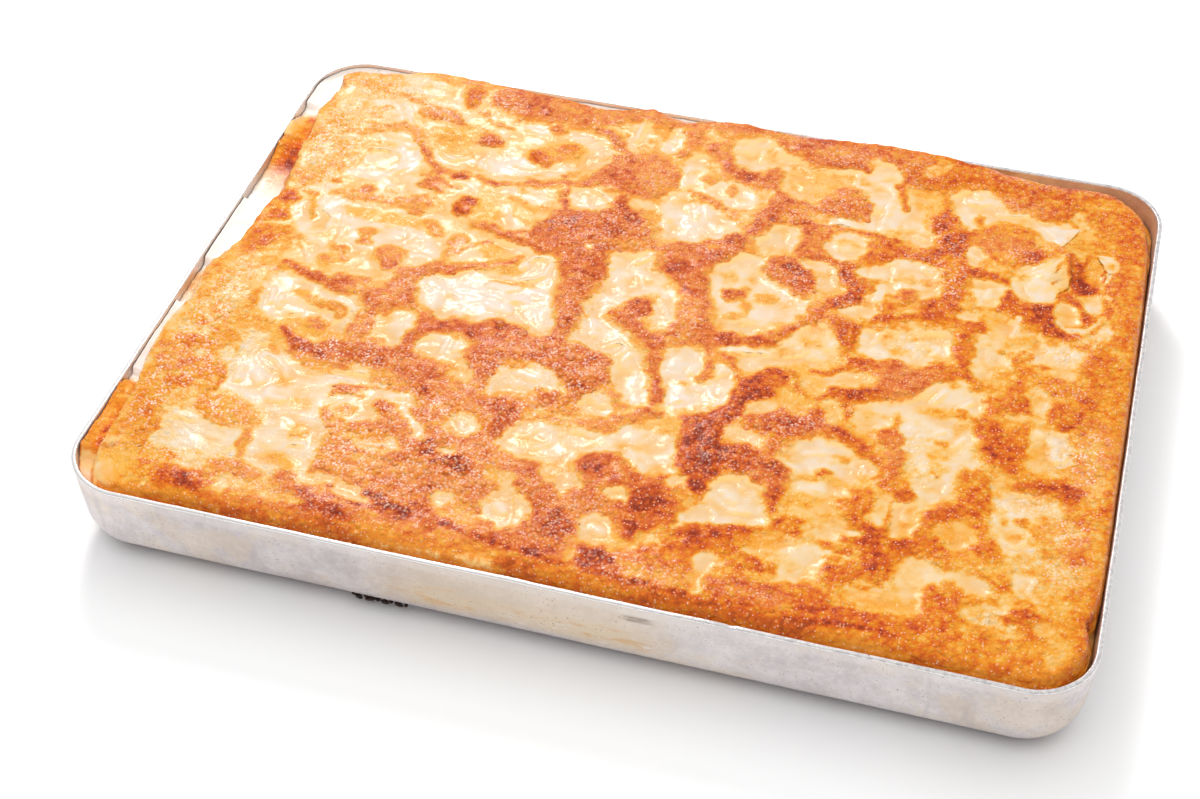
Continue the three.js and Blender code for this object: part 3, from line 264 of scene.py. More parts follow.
# spots and tails of brown laid back over the pools
SPOTS = [
 E(.80,29,26,4,4), S(.50,3,[(32,24),(39,21),(37,15),(32,12)]), E(.46,45,28,5,3), E(.40,35,38,2,3), E(.44,51,13,3,2), E(.82,-7,7,6.2,6.6), E(.80,-15,1.5,3.4,2.8,-20),
 E(.78,-88.5,-78,4.2,3.8,20), E(.56,-88,-86,1.4,1.4), E(.66,109,-41,3.6,4), S(.56,1.8,[(110,-29),(109,-36)]), E(.72,131,33,4,4), E(.60,-133,17,3,2.4), E(.54,-134,24,4,2.4), E(.60,-142,10.5,4,1.4), S(.60,1.8,[(-166,41),(-162,34),(-161.5,28)]),
 E(.78,-127.5,86,2.2,3.4,30), E(.62,-32,-54,2.4,2), E(.70,-133,-40,4,2.6), E(.62,-144,2,3,3), S(.58,2.4,[(-140,8),(-136,3)]), E(.70,-117,6,3.2,5.4,20), E(.62,-118,13,5,4), E(.58,133,-20,2.6,2.4), S(.44,1.8,[(122,-23),(130,-20)]), E(.48,127,-39,2,2),
 E(.60,153,21.5,3,2.6), E(.56,144,21,2,1.4), E(.80,-101,101,4,3), S(.60,1.2,[(-121,70),(-112,66),(-104,64)]), E(.50,-94,30,3.4,2.6), E(.56,3,99,2.8,2.2,-40), E(.50,13,95,2,3), S(.64,2.2,[(-5,91),(3,87),(12,83)]), E(.48,17.5,78,1.8,1.4),
 E(.48,24,-33,3,1.5), E(.60,80,-97,4,3), E(.62,-162,-33,1.4,1.8), E(.74,88,-66,3,1.6), E(.50,95,-58,2,1.4), E(.60,171,-119,5,2,20),
]

# smooth amber, where thin sheets have turned translucent; a few patches on the far walls of dimples and pools are
# golden painted shade: strength, then the shape
AMBER = [
 E(.9,-77,96,6,6), E(.75,-67,104,8,6), E(.6,-93,107,2.6,4), E(.6,-28,128,4,3), E(.6,-72,137,5,3), E(.5,-57,118,3.4,5), E(.5,-45,124,6,4), E(.4,-31,120,2.4,3), E(.45,-86,56,9,3.4,-30), E(.5,-96,61,4,3), E(.35,-76,60,6,2), E(.4,-57,87,2.6,2.6),
 E(.45,-122,97,7,5), E(.45,-115,102,5,4), E(.4,-99,91,4,3), E(.3,-153,55,5,4), E(.4,-107,57,8,3), E(.35,-136,106,4,3),
 E(.4,50,116,12,4), E(.35,44,108,6,5), E(.4,5,83,6,2.6), E(.35,12,87,6,3), E(.35,135,103,9,4), E(.5,165,96,3.6,7), E(.5,167,90,3,5), E(.4,98,99,5,5), E(.5,141,37,9,4,-10), E(.4,150,34,6,3), E(.3,118,24,5,3),
 E(.7,-179,35,5,5), E(.6,-117,12,6,7), E(.6,-142,1,7,5), E(.45,-132,-1,8,4), E(.5,-163,35,2.6,6), E(.6,-184,-8,3.6,7), E(.45,-125,36,12,3.4), E(.5,-112,32,5,3,-40), E(.5,-136,-44,8,3), E(.6,-149,-47,8,3,-30), E(.5,-148,-57,6,3,-20), E(.5,-120,-64,9,3),
 E(.5,-80,27,5,4), E(.6,-75,14,6,2,20), E(.6,-86,6,3.6,3), E(.5,-60,16,5,4), E(.45,-45,-38,5,3), E(.35,-57,12,9,2.6), E(.35,-70,8,8,2), E(.5,23,-33,4,1.6), E(.35,70,-31,7,3), E(.6,20,-57,9,4), E(.45,52,14,4,3), E(.4,35,20,3,5), E(.35,45,28,5,3),
 E(.7,-88,-95.5,10,3.4), E(.5,-84,-124,5,2), E(.6,-32,-103,5,1.8), E(.4,-30,-114,4,4), E(.4,-12,-96,7,4), E(.5,22,-123,4,4), E(.35,90,-88,12,5), E(.45,75,-108,9,4), E(.35,140,-86,7,5), E(.6,120,-126,13,3), E(.5,100,-76,3,2), E(.35,126,-103,5,3),
 E(.6,-180,-127,6,4), E(.7,-173,-135,7,4), E(.7,-160,-145,16,4), E(.6,-134,-139,3,4), E(.5,-45,-146,16,3.4), E(.4,-25,-147,6,3), E(.5,-120,-146,14,3), E(.35,80,-144,18,3), E(.6,117,-146,10,3.4), E(.3,-5,-146,12,3), E(.4,185,-135,8,10), E(.35,182,-110,6,8), E(.4,170,-136,10,6), E(.3,190,-20,4,20), E(.35,-52,100,5,10), E(.3,86,115,4,8), E(.35,38,-110,3,3),
]

# where fine grains and blisters cover a pale ground
GRAIN = [
 E(.8,-146,-97,14,9), E(.7,-168,-60,16,30), E(.7,-180,-30,10,30), E(.6,-170,70,12,30), E(.5,-165,105,14,20), E(.6,-150,128,16,8), E(.8,-135,113,8,6), E(.8,-130,-125,26,8), E(.6,-170,-110,12,16), E(.8,-66,-72,10,6), E(.9,-80,-108,22,10), E(.8,36,-134,16,8), E(.9,180,-90,12,30), E(.6,150,-60,10,20), E(.6,175,-20,12,30), E(.5,120,-50,12,16), E(.7,182,30,10,30), E(.6,150,10,10,20), E(.5,110,15,12,10),
]

# folds of the pale sheet, raised along their crests, each crest whitened partly by its own paleness and partly by a
# painted highlight: strength, width, places
FOLDS = [
 # --- upper left
 S(1.0,2.4,[(-149,118),(-147,112),(-142,104)]), S(.7,1.6,[(-146,118),(-141,109)]), S(.9,2.2,[(-155,81.5),(-145,83),(-138,81)]), S(.8,1.2,[(-117,96),(-111,90),(-107,87)]), S(1.0,2.0,[(-101,88),(-101,81)]),
 S(.9,2.0,[(-122,87),(-116,83),(-110,86)]), S(.7,1.4,[(-120,107),(-116,100),(-113,94),(-111,90)]), S(.6,3.0,[(-142,137),(-133,136)]), S(.6,2.0,[(-158,119),(-150,120)]), S(.6,2.4,[(-150,94),(-140,93)]), S(.7,3.0,[(-137,79),(-134,72),(-138,66)]),
 S(1.0,2.6,[(-38,134),(-37.5,127),(-37,120)]), S(.8,2.2,[(-25,121),(-24,113)]), S(.9,2.4,[(-20,137),(-19,128)]), S(.8,1.4,[(-56,111),(-53,115),(-50,114)]), S(.8,1.6,[(-47.5,109),(-45.5,102)]), S(.9,2.6,[(-97,86),(-93,79)]), S(.7,1.2,[(-103,80),(-100,74)]), S(.7,1.2,[(-100,81),(-97,75)]), S(.6,3.0,[(-67,113),(-60,115)]), S(.6,3.0,[(-88,115),(-80,113)]), S(.6,2.4,[(-88,88),(-78,86)]),
 S(1.0,2.0,[(-9,106),(-9.5,98),(-8,91)]), S(.9,1.2,[(-47,79),(-42,77),(-38,73)]), S(.7,1.2,[(-50,74),(-47,71),(-47,68)]), S(.7,1.4,[(-26,76),(-22,73)]), S(.8,1.6,[(-17,77),(-14,75),(-14,71)]), S(.8,2.4,[(-10,67),(-9,60),(-8,53)]),
 S(.9,1.4,[(0,83),(3,75)]), S(.8,1.4,[(4,82),(7,74)]), S(.6,1.2,[(-3,79),(-1,72)]), S(.5,3.0,[(20,128),(22,119)]), S(1.0,2.0,[(65.5,122),(66.5,112)]), S(1.0,2.2,[(83,104),(82,95),(82,85)]), S(.9,2.4,[(60,85),(67,85.5),(71,84)]), S(.9,1.4,[(93,115.5),(98,114),(104,113)]), S(.8,2.4,[(97,87),(101,84)]), S(.7,1.2,[(92,92),(91,84)]), S(.8,1.6,[(93,62),(93,52)]), S(.6,1.6,[(83,60),(84,53)]), S(.5,2.4,[(44,76),(45,66)]), S(.5,2.4,[(70,76),(70,66)]), S(.6,2.0,[(40,110),(44,104)]),
 # --- upper right
 S(1.0,3.2,[(116,117),(121,115)]), S(.9,2.0,[(118,122),(121,119)]), S(.9,1.6,[(109,109),(114,104),(118,97)]), S(.9,2.0,[(130,111),(137,111.5),(143,113)]), S(.6,1.6,[(150,107),(156,101)]), S(.9,2.2,[(122,80),(126,77)]), S(.7,2.6,[(133,59),(133,52)]), S(.7,2.0,[(141,69),(148,76),(155,84)]), S(.7,2.0,[(104,66),(108,62)]), S(.9,2.0,[(179.5,84),(180.5,77)]), S(.6,1.6,[(158,119),(163,112)]),
 # --- left
 S(.8,1.6,[(-159,33),(-153,31),(-149,23),(-152,17),(-158,17)]), S(1.0,1.6,[(-152,28),(-151,20)]), S(.9,1.4,[(-147,31),(-144.5,22),(-144,12)]), S(.7,1.0,[(-149,35),(-142,24),(-142,13)]), S(1.0,1.2,[(-133,30),(-128,31.5),(-121,31),(-116.5,30),(-113,25),(-116,21)]), S(.9,1.0,[(-113,28),(-107,24),(-108,20.5)]), S(.8,1.6,[(-113,14.5),(-102,14)]), S(.7,3.0,[(-134,28),(-129,28)]), S(.6,1.4,[(-159,9),(-153,2),(-147,-7)]), S(.7,1.6,[(-170,17),(-164,15)]), S(.6,1.6,[(-172,36),(-169,28)]),
 S(.8,4.0,[(-129,-23),(-124,-25)]), S(1.0,2.2,[(-153,-26),(-152,-33)]), S(.9,1.8,[(-158,-24),(-156,-32)]), S(.7,1.6,[(-147,-36),(-142,-34)]), S(.6,1.6,[(-160,-38),(-154,-42)]),
 S(1.0,1.8,[(-60,19),(-60,24),(-57,28),(-53,28),(-49,24),(-50,18),(-54,13),(-60,10)]), S(.7,1.0,[(-70,-2),(-58,-3),(-47,-1)]), S(.6,1.0,[(-74,-9),(-64,-6),(-54,-7)]), S(.8,5.0,[(-70,4),(-60,5)]), S(.8,4.0,[(-66,-9),(-58,-10)]), S(.8,1.0,[(-99,-2),(-94,-7)]), S(.7,1.0,[(-96,0),(-90,-4)]), S(.9,1.0,[(-51,-9),(-47,-16),(-44,-21)]), S(.8,1.0,[(-48,-9),(-44,-16)]), S(.7,3.0,[(-86,-5),(-80,-8)]), S(.9,1.6,[(-77,-34),(-77,-42)]), S(.8,1.4,[(-73,-33),(-72,-39)]), S(.6,3.4,[(-42,-45),(-34,-46)]),
 S(.6,2.6,[(-25,36),(-24,29)]), S(1.0,1.6,[(-6,48),(-9.5,43),(-12,38),(-15,36)]), S(1.0,1.2,[(-1,16),(3,11),(7,4)]), S(1.0,1.6,[(-24,-4),(-21,-9),(-20,-15)]), S(.8,1.0,[(-27,-8),(-24,-15)]), S(.9,1.4,[(-14,-20),(-10,-16),(-6,-16),(-5,-21),(-8,-24)]), S(.7,1.4,[(-3,-12),(-2,-22),(-5,-30)]), S(.6,1.2,[(-20,22),(-17,12)]), S(.5,1.2,[(-12,28),(-8,20)]),
 # --- middle
 S(.9,1.8,[(25,-20),(23.5,-26)]), S(.6,2.4,[(17,-14),(19,-19)]), S(1.0,1.8,[(37,12.5),(38,10)]), S(.9,2.2,[(56,28),(58,26.5)]), S(.5,3.0,[(26,44),(30,38)]), S(1.0,2.2,[(37,-8.5),(44,-7),(52,-5.5)]), S(.8,1.2,[(44,-4),(54,-3)]), S(.7,1.0,[(58,-6),(64,-3),(69,1)]), S(.6,.9,[(60,3),(64,5),(69,3.5)]), S(1.0,2.0,[(87.5,44),(88.5,39)]), S(.9,1.4,[(103,-36),(101,-41)]), S(1.0,1.8,[(94,19),(92,13)]), S(.9,3.0,[(93,8),(98,6)]), S(.8,1.4,[(102,19),(104,15)]), S(.8,1.4,[(89,-7),(92,-8)]), S(.8,2.4,[(36,-19),(35,-24)]), S(.6,1.2,[(24,-42),(20,-46)]), S(.6,2.0,[(56,-36),(60,-37)]),
 # --- right
 S(1.0,2.4,[(147,39),(146.5,31)]), S(1.0,2.2,[(160,31),(162,26)]), S(.9,2.4,[(172,29),(174,26)]), S(.9,1.6,[(168,42.5),(173,42.5),(177,47)]), S(.9,2.0,[(183,46),(180,39),(178,33)]), S(1.0,2.6,[(124.5,-9),(122,-16)]), S(.9,2.2,[(136,-12),(133,-16)]), S(.8,2.0,[(128,-31),(126,-33)]), S(.8,2.0,[(118,14),(118,12)]), S(.9,2.2,[(136,-33),(133,-40)]), S(.9,3.0,[(162,-21),(164,-23)]), S(1.0,3.4,[(170,-27),(172,-36)]), S(.8,2.0,[(177,-29),(175,-36)]), S(.7,1.4,[(141,5),(143,2)]), S(.7,1.6,[(181,-38),(179,-43)]), S(.6,2.0,[(110,19),(114,17)]), S(.5,3.0,[(138,22),(140,12)]), S(.6,2.0,[(153,-50),(155,-60)]),
 S(1.0,1.4,[(157,-84),(162,-85.5),(166,-83),(168,-77)]), S(.8,1.2,[(160,-79),(165,-77)]), S(1.0,1.6,[(173,-100),(170,-107)]), S(.7,1.4,[(163,-112),(170,-110.5)]), S(.9,1.4,[(111,-124.5),(118,-122.5)]), S(.6,2.4,[(134,-60),(134,-66)]), S(.6,2.4,[(120,-76),(122,-85)]), S(.6,1.6,[(143,-85),(146,-88)]), S(.5,2.0,[(126,-108),(130,-114)]), S(.9,1.2,[(100,-129.5),(118,-129.5),(134,-130)]),
 # --- lower left
 S(1.0,2.8,[(-147,-62),(-141,-63.5),(-135,-68),(-132,-73)]), S(.8,1.4,[(-148,-64),(-144,-68),(-138,-70)]), S(1.0,4.4,[(-145,-73),(-142,-77)]), S(.9,3.0,[(-152,-72),(-151,-80)]), S(1.0,3.4,[(-136,-81),(-134.5,-86),(-129,-85)]), S(.9,1.2,[(-124,-66),(-114,-67.5),(-101,-67)]), S(1.0,2.2,[(-110,-62),(-101,-62)]), S(.9,2.2,[(-117,-108),(-112,-107)]), S(.7,3.0,[(-166,-104),(-158,-105)]), S(.8,1.6,[(-153,-54),(-148,-56)]), S(.7,1.4,[(-128,-93),(-122,-91),(-118,-92)]), S(.6,1.4,[(-120,-104),(-114,-101)]), S(.6,1.6,[(-150,-112),(-142,-113)]), S(.6,1.6,[(-140,-118),(-136,-112)]), S(.7,1.2,[(-134,-77),(-131,-75),(-129,-78)]), S(.6,2.4,[(-157,-126),(-148,-126)]), S(.8,1.2,[(-128,-109),(-123,-112)]),
 S(.8,2.8,[(-89,-72),(-83,-71)]), S(1.0,1.0,[(-81,-79),(-75,-82.5),(-72,-88)]), S(1.0,1.0,[(-84,-83),(-78,-83),(-74,-87)]), S(.8,1.2,[(-82,-81),(-76,-80)]), S(1.0,1.8,[(-88,-99.8),(-84,-98.4),(-79.5,-99.6)]), S(1.0,4.0,[(-29,-117),(-26,-119.5)]), S(.9,.9,[(-24,-111),(-21,-119),(-19,-125)]), S(.8,1.2,[(-28.5,-78),(-26,-73),(-21,-73),(-18.5,-77),(-20,-82),(-25,-83.5)]), S(.7,3.4,[(-12,-70),(-4,-71)]), S(.6,3.0,[(-10,-52),(-4,-55)]), S(.6,1.2,[(-6,-96),(0,-95)]), S(.6,2.6,[(-57,-78),(-54,-82)]),
 S(1.0,1.4,[(11,-73.5),(14,-79),(18.5,-83.5)]), S(1.0,1.3,[(50,-98),(53,-102)]), S(1.0,1.5,[(58.5,-79.5),(58.5,-84)]), S(.8,3.4,[(52,-87),(57,-91)]), S(.9,3.4,[(39,-104),(42,-109)]), S(.8,1.2,[(74,-113),(80,-111)]), S(.8,1.0,[(93,-75.5),(96,-79)]), S(.9,1.4,[(102,-59),(102,-64)]), S(.8,1.2,[(70,-67),(76,-67)]), S(.7,1.2,[(84,-86),(88,-85),(91,-88)]), S(.6,2.6,[(78,-58),(86,-56)]), S(.6,1.2,[(54,-97),(64,-95)]), S(.7,1.0,[(13,-61.5),(16,-65)]), S(.5,3.0,[(10,-118),(13,-121)]), S(.5,3.0,[(52,-55),(56,-56)]),
]

# troughs between the folds, sunk into the relief and given a golden painted shade
CREASES = [
 S(.8,2.4,[(-121,106),(-117,98),(-114,93)]), E(.7,-125,94,5,3.4), E(.6,-104,90,4,4), S(.7,1.8,[(-108,83),(-100,76)]), E(.5,-146,86,5,2), S(.6,2,[(-150,92),(-160,90)]), E(.5,-126,58,8,4), E(.6,-55,98,4,8), E(.6,-62,60,4,4), S(.6,2.0,[(-70,8),(-60,7.5),(-53,9)]), S(.5,1.8,[(-88,-8),(-78,-3),(-68,-5),(-56,-5)]), E(.7,-56,20,3.4,5), E(.6,-115,24,4,2.4), E(.5,-134,10,5,3), E(.6,-156,24,3.4,5), S(.6,2.2,[(-130,38),(-118,36),(-108,30)]), S(.6,1.8,[(-166,38),(-162,30)]),
 E(.5,-13,22,3,5), E(.5,-4,32,3,4), S(.5,1.8,[(-22,10),(-20,18)]), S(.6,1.6,[(-8,-10),(-2,-16)]), E(.5,-1,-36,3,5), E(.6,66,3,4,1.4,8), S(.6,1.6,[(56,-2),(64,-6),(72,-6)]), E(.5,62,-1,3,2), E(.6,46,113,9,3), E(.5,78,112,5,5), E(.5,88,108,3,4), S(.6,1.8,[(90,83),(95,87),(98,92)]), E(.5,14,120,3,4), E(.5,8,66,6,4), E(.5,12,74,4,3), S(.6,2,[(70,-57),(76,-62)]), E(.6,90,-72,5,2.4,-30), E(.5,98,-66,3,5), E(.5,8,-72,2.4,5), E(.5,22,-72,4,5), E(.6,57,-80,2.4,2.4), E(.6,75,-108,8,3), S(.6,2,[(48,-93),(56,-97),(66,-97)]),
 E(.6,143,38,6,3), E(.5,147,33,2,3), E(.5,157,26,4,5), E(.5,116,22,6,3), E(.6,140,-86,7,4), S(.6,1.6,[(160,-81),(165,-83)]), E(.5,128,-26,8,3), E(.5,118,-88,3,4), E(.5,164,-60,6,3), E(.6,122,-126,10,2.4), E(.5,150,66,4,6), E(.5,126,73,3,2),
 E(.7,-133,-77,3,2.4), E(.7,-118,-86,4,4), E(.6,-110,-98,3,5), S(.7,2.0,[(-150,-52),(-145,-58),(-142,-61)]), E(.6,-126,-70,4,2), S(.6,1.8,[(-120,-64.5),(-110,-65),(-102,-65)]), E(.6,-121,-118,4,2), E(.6,-114,-120,3,3), E(.5,-96,-84,5,3), S(.7,1.8,[(-80,-72),(-78,-77)]), E(.7,-88,-96,6,3), E(.6,-30,-113,4,3), E(.5,-24,-88,6,2), E(.5,-12,-88,4,5), E(.5,-6,-100,4,3), E(.5,-24,-79,2.4,2.4), E(.5,-46,-92,3,2),
]

# a second coat: patches laid over the first, each near its tone as seen, some of the palest being painted highlights
COAT = [
 # --- front left
 S(.55,4,[(-176,-100),(-177,-110),(-174,-118),(-170,-126)],2.5), E(.62,-177,-104,3,6), E(.58,-172,-122,4,5), E(.30,-168,-116,3,6),
 # the white streak at the front left corner is a painted highlight
 E(.40,-178,-134,7,12,0,3), E(.36,-172,-144,8,5,0,3), E(.20,-182,-141,4,6), S(.06,1.4,[(-178,-139),(-176,-144),(-173,-146)]),
 E(.12,-160,-118,10,8), E(.10,-150,-127,6,3.4), E(.16,-146,-112,14,10), E(.50,-134,-106,4,8), E(.58,-133,-115,3,5), E(.46,-136,-99,5,3), E(.28,-128,-111,4,6),
 E(.14,-120,-116,12,8), E(.40,-122,-117,4,2), E(.42,-111,-120,3,2), E(.24,-140,-124,10,3), E(.44,-134,-126,6,2.4), E(.52,-127,-126,4,2), E(.30,-118,-126,8,3), E(.18,-108,-124,7,4),
 E(.34,-162,-128,6,4), E(.62,-166,-134,5,4), E(.72,-155,-134,5,2.4), E(.90,-150,-137,6,3.4,-10), E(.80,-157,-138,4,4), E(.84,-143,-139,5,2.6,-20), E(.58,-140,-133,5,2),
 E(.34,-128,-133,9,2.6), E(.42,-117,-131,8,2.6), E(.38,-110,-136,9,3), E(.22,-134,-138,2.6,5), E(.52,-124,-138,6,2.4), E(.62,-118,-140,5,1.6),
 E(.44,-165,-146,12,3), E(.50,-148,-146,8,3), S(.76,5,[(-140,-143),(-126,-144),(-112,-143),(-100,-142)],2.2), E(.82,-128,-145,4,2.2), E(.84,-116,-144,6,2.4), E(.74,-96,-145,10,4), E(.82,-85,-144,8,4), E(.62,-70,-144,8,4), E(.46,-62,-147,12,2),
 S(.84,4,[(-104,-130),(-96,-133),(-88,-137),(-80,-139)]), E(.92,-97,-133,4,2), E(.92,-86,-137,5,1.8,-20), E(.64,-108,-128,6,2), E(.56,-96,-127,5,2), E(.30,-100,-125,3,1.6),
 E(.14,-86,-126,7,3.6,-20), E(.18,-80,-130,5,2.4,-20), E(.30,-94,-122,4,1.6), E(.50,-90,-131,4,1.6), E(.34,-72,-133,4,2),
 S(.96,4,[(-79,-124.5),(-72,-126),(-66,-129),(-60,-132)]), E(.99,-68,-128,4,1.6,-25), S(.82,5,[(-58,-112),(-56,-120),(-54,-128),(-55,-133)]), E(.90,-56,-117,2,4), E(.88,-50,-99,6,3), E(.92,-62,-97,4,2),
 E(.40,-50,-120,5.4,6), E(.16,-49.6,-120,3.6,4.6), E(.10,-49,-119,2,2.6),
 E(.52,-42,-122,5,5), E(.46,-38,-126,5,4), E(.60,-60,-122,3,3), E(.56,-84,-116,12,4), E(.60,-78,-108,8,4), E(.50,-88,-107,6,3), E(.70,-74,-115,5,3), E(.78,-76,-117,3,2), E(.54,-66,-106,5,4),
 E(.80,-47,-131,4,1.8), E(.82,-53,-131,3,1.6), E(.58,-60,-137,6,2.4), E(.66,-66,-138,4,2), E(.52,-73,-139,5,2), E(.70,-53,-137,3,2), E(.48,-44,-138,5,2.4), E(.62,-38,-133,3,2.4),
 E(.82,-24,-133,5,2.8), E(.74,-31,-133,3,2), E(.58,-17,-137,4,2), E(.46,-30,-139.5,5,1.6), E(.40,-22,-141,4,1.2), E(.46,-43,-145,8,4), E(.36,-50,-148,6,1.6), S(.30,1.2,[(-70,-149),(-56,-149.4),(-40,-149.4)]),
 E(.34,-28,-146,7,4.4,10,1.2), E(.38,-21,-149,5,1.6), E(.86,-9,-146,8,4,0,1.2), E(.78,-14,-134,4,2), E(.60,-8,-139,6,1.6), E(.84,-4,-134,3,2),
 E(.30,-30,-102,4,2.6), E(.16,-28,-106,3,3), E(.78,-14,-106,5,5), E(.84,-18,-108,2.4,3), E(.70,-8,-113,4,3), E(.88,-5,-119,4,6), E(.84,-9,-124,3,4), E(.80,-12,-118,2,4), E(.62,-36,-110,2.4,5), E(.50,-37,-100,4,2.6),
 # --- front middle
 E(.70,5,-106,6,3), E(.58,11,-105,3,2), E(.12,10,-116,6,5), E(.18,12,-123,7,4), E(.40,22,-124,6,3), E(.38,26,-118,2.4,4), E(.44,18,-117,1.6,4), E(.84,24,-115,2.6,5), E(.88,23,-101,4,4), E(.80,27,-108,2,4), E(.34,31,-119,3,4), E(.46,34,-112,2,3),
 E(.62,35,-122,3,3), E(.58,30,-127,6,2), E(.78,36,-106,3,4), E(.66,38,-114,3,3), E(.82,41,-112,2,4), E(.72,45,-118,3,4), E(.54,42,-124,3,3), E(.50,14,-128,7,1.4), E(.92,14,-132,5,4.6), E(.86,8,-130,3,2.6), E(.48,4,-133,3,4), E(.66,2,-126,3,2), E(.56,5,-139,5,1.6),
 E(.56,26,-133,4,4), E(.48,30,-136,4,2.6), E(.62,36,-131,4,3), E(.50,41,-135,4,3), E(.58,46,-130,3,3), E(.44,34,-141,5,1.6), E(.74,24,-139,3,1.6), E(.52,48,-139,3,2), E(.66,44,-140,3,1.4),
 E(.80,10,-145,9,3.4,0,1.4), E(.72,26,-146,6,3), E(.60,33,-145,4,2), E(.90,43,-145,4,2), E(.76,50,-147,5,2.4), E(.84,36,-148,5,1.4),
 E(.14,54,-124,5,4.4), E(.30,53,-132,3.4,3.4), E(.36,54,-137,3,2.6), E(.46,56,-141,3,1.6), E(.60,59,-126,1.6,5),
 G(.78,[(41,-106),(50,-105),(60,-103),(70,-101.5),(68,-105),(66,-112),(62,-118),(52,-119),(44,-117),(42,-112)],1.6), E(.66,58,-114,6,4), E(.60,64,-110,3,4), E(.86,52,-109,3,2), E(.84,46,-112,2,2),
 G(.34,[(67,-105),(73,-103.5),(80,-107),(79,-114),(74,-116),(68,-113)],1.4), E(.40,71,-106,4,2.4), E(.22,74,-113,4,1.8), E(.74,70,-120,4,3), E(.84,73,-121,2,2), E(.56,65,-119,2,2), E(.60,77,-117,3,1.6), E(.66,79,-121,1.6,3), S(.48,1.6,[(60,-124),(70,-126),(80,-127)]),
 S(.72,4.6,[(58,-132),(68,-131),(80,-131),(92,-130)],2), E(.60,68,-135,4,1.8), E(.58,76,-134,3,1.8), E(.66,86,-133,5,2), E(.80,62,-137,4,1.6), S(.74,7,[(60,-144),(70,-144),(80,-143)],2), E(.80,66,-147,6,2.6), E(.68,73,-142,5,1.6),
 # --- front right
 E(.66,90,-127,8,1.8), E(.58,98,-124,4,2), E(.30,93,-120,3,4), E(.70,102,-117,5,5), E(.64,107,-112,3,4), E(.56,100,-109,4,1.6), E(.74,104,-98,4,4), E(.76,114,-106,5,6), E(.66,118,-114,3,4), E(.82,112,-98,4,3), E(.46,124,-110,3,3), E(.30,112,-118,4,2),
 G(.30,[(108,-124),(113,-121),(124,-120),(133,-122),(134,-127),(124,-129.4),(112,-129),(108,-127)],1.2), E(.38,118,-127,6,1.6), E(.50,104,-127,3,1.4), S(.22,1.2,[(101,-131),(110,-131),(122,-130),(131,-129)],0.9),
 S(.72,6,[(92,-135),(104,-135),(118,-134),(134,-133),(148,-134)],1.8), E(.82,96,-136,4,2), E(.80,112,-137,7,1.6), E(.64,124,-132,6,1.6), E(.62,140,-137,6,1.8), E(.76,146,-130,4,3), E(.70,140,-124,4,5), E(.64,137,-116,3,5), E(.66,147,-121,4,3),
 G(.86,[(80,-146),(90,-142),(98,-139),(104,-138),(100,-142),(94,-147),(90,-151),(80,-151)],1.6), S(.97,1.8,[(85,-151),(92,-146),(99,-142),(106,-139),(114,-138.6),(122,-139.4)],0.8), S(.42,1.3,[(97,-143.6),(101,-142),(105,-140.6)],0.7), E(.60,94,-141,2,1),
 G(.44,[(97,-151),(101,-145),(107,-141.4),(118,-141),(128,-143),(136,-146),(140,-151)],1.2), E(.36,110,-145,5,2.6), E(.56,104,-149,5,1.8), S(.90,1.1,[(119,-142.6),(126,-144.6),(133,-147)],0.7), E(.62,128,-141.4,4,1.2),
 G(.64,[(134,-143),(146,-143.6),(156,-145),(157,-150),(140,-151)],1.6), E(.72,140,-148,6,1.6), E(.54,150,-141,5,1.8), S(.40,2.2,[(158.6,-139),(160,-144),(159,-149)],1.2), E(.44,164,-141,3,2.6), E(.62,170,-146,7,3), E(.72,166,-144,3,1.4), E(.56,178,-142,6,3), E(.66,176,-148,4,1.4),
 E(.14,153,-109,5,4), E(.22,146,-107,5,3), E(.24,128,-112,5,8), E(.36,122,-117,3,3), E(.54,143,-111,3,3), E(.60,160,-104,4,5), E(.66,161,-107,2.6,2.6), E(.40,156,-99,5,3), E(.16,168,-101,3,5), E(.30,174,-104,2.6,5),
 E(.28,154,-122,6,5), E(.20,158,-125,4,2.6), E(.46,150,-129,4,2.4), E(.52,158,-130,6,2), E(.40,166,-128,5,2.6), E(.82,170,-118,4.6,3.6,35), E(.88,172,-117,2.4,2,35), E(.74,166,-121,3,2), E(.34,163,-113,3,4), E(.56,154,-115,3,2), E(.30,178,-122,4,4), E(.44,184,-114,4,8), E(.36,176,-110,3,4),
 E(.56,160,-136,8,2.4), E(.48,172,-134,7,3), E(.42,184,-132,5,8), E(.50,188,-120,3,8), E(.38,181,-100,4,6), E(.52,190,-104,3,6),
 S(1.0,2.6,[(194.5,-111),(194.6,-118)],0.9), S(.86,1.6,[(195,-119),(195,-134)],1.0),
]
AMBER += [
 E(.9,-178,-134,8,12), E(.6,-166,-146,12,4), E(.9,-28,-146,7,4.4,10), E(.6,-48,-148,14,2), E(.7,22,-122,6,5), E(.8,73,-109,6,6), E(.7,121,-125,12,4.4), E(.9,114,-146,14,4.4), E(.5,54,-134,3.6,5), E(.4,172,-134,12,6), E(.4,186,-118,6,16),
]
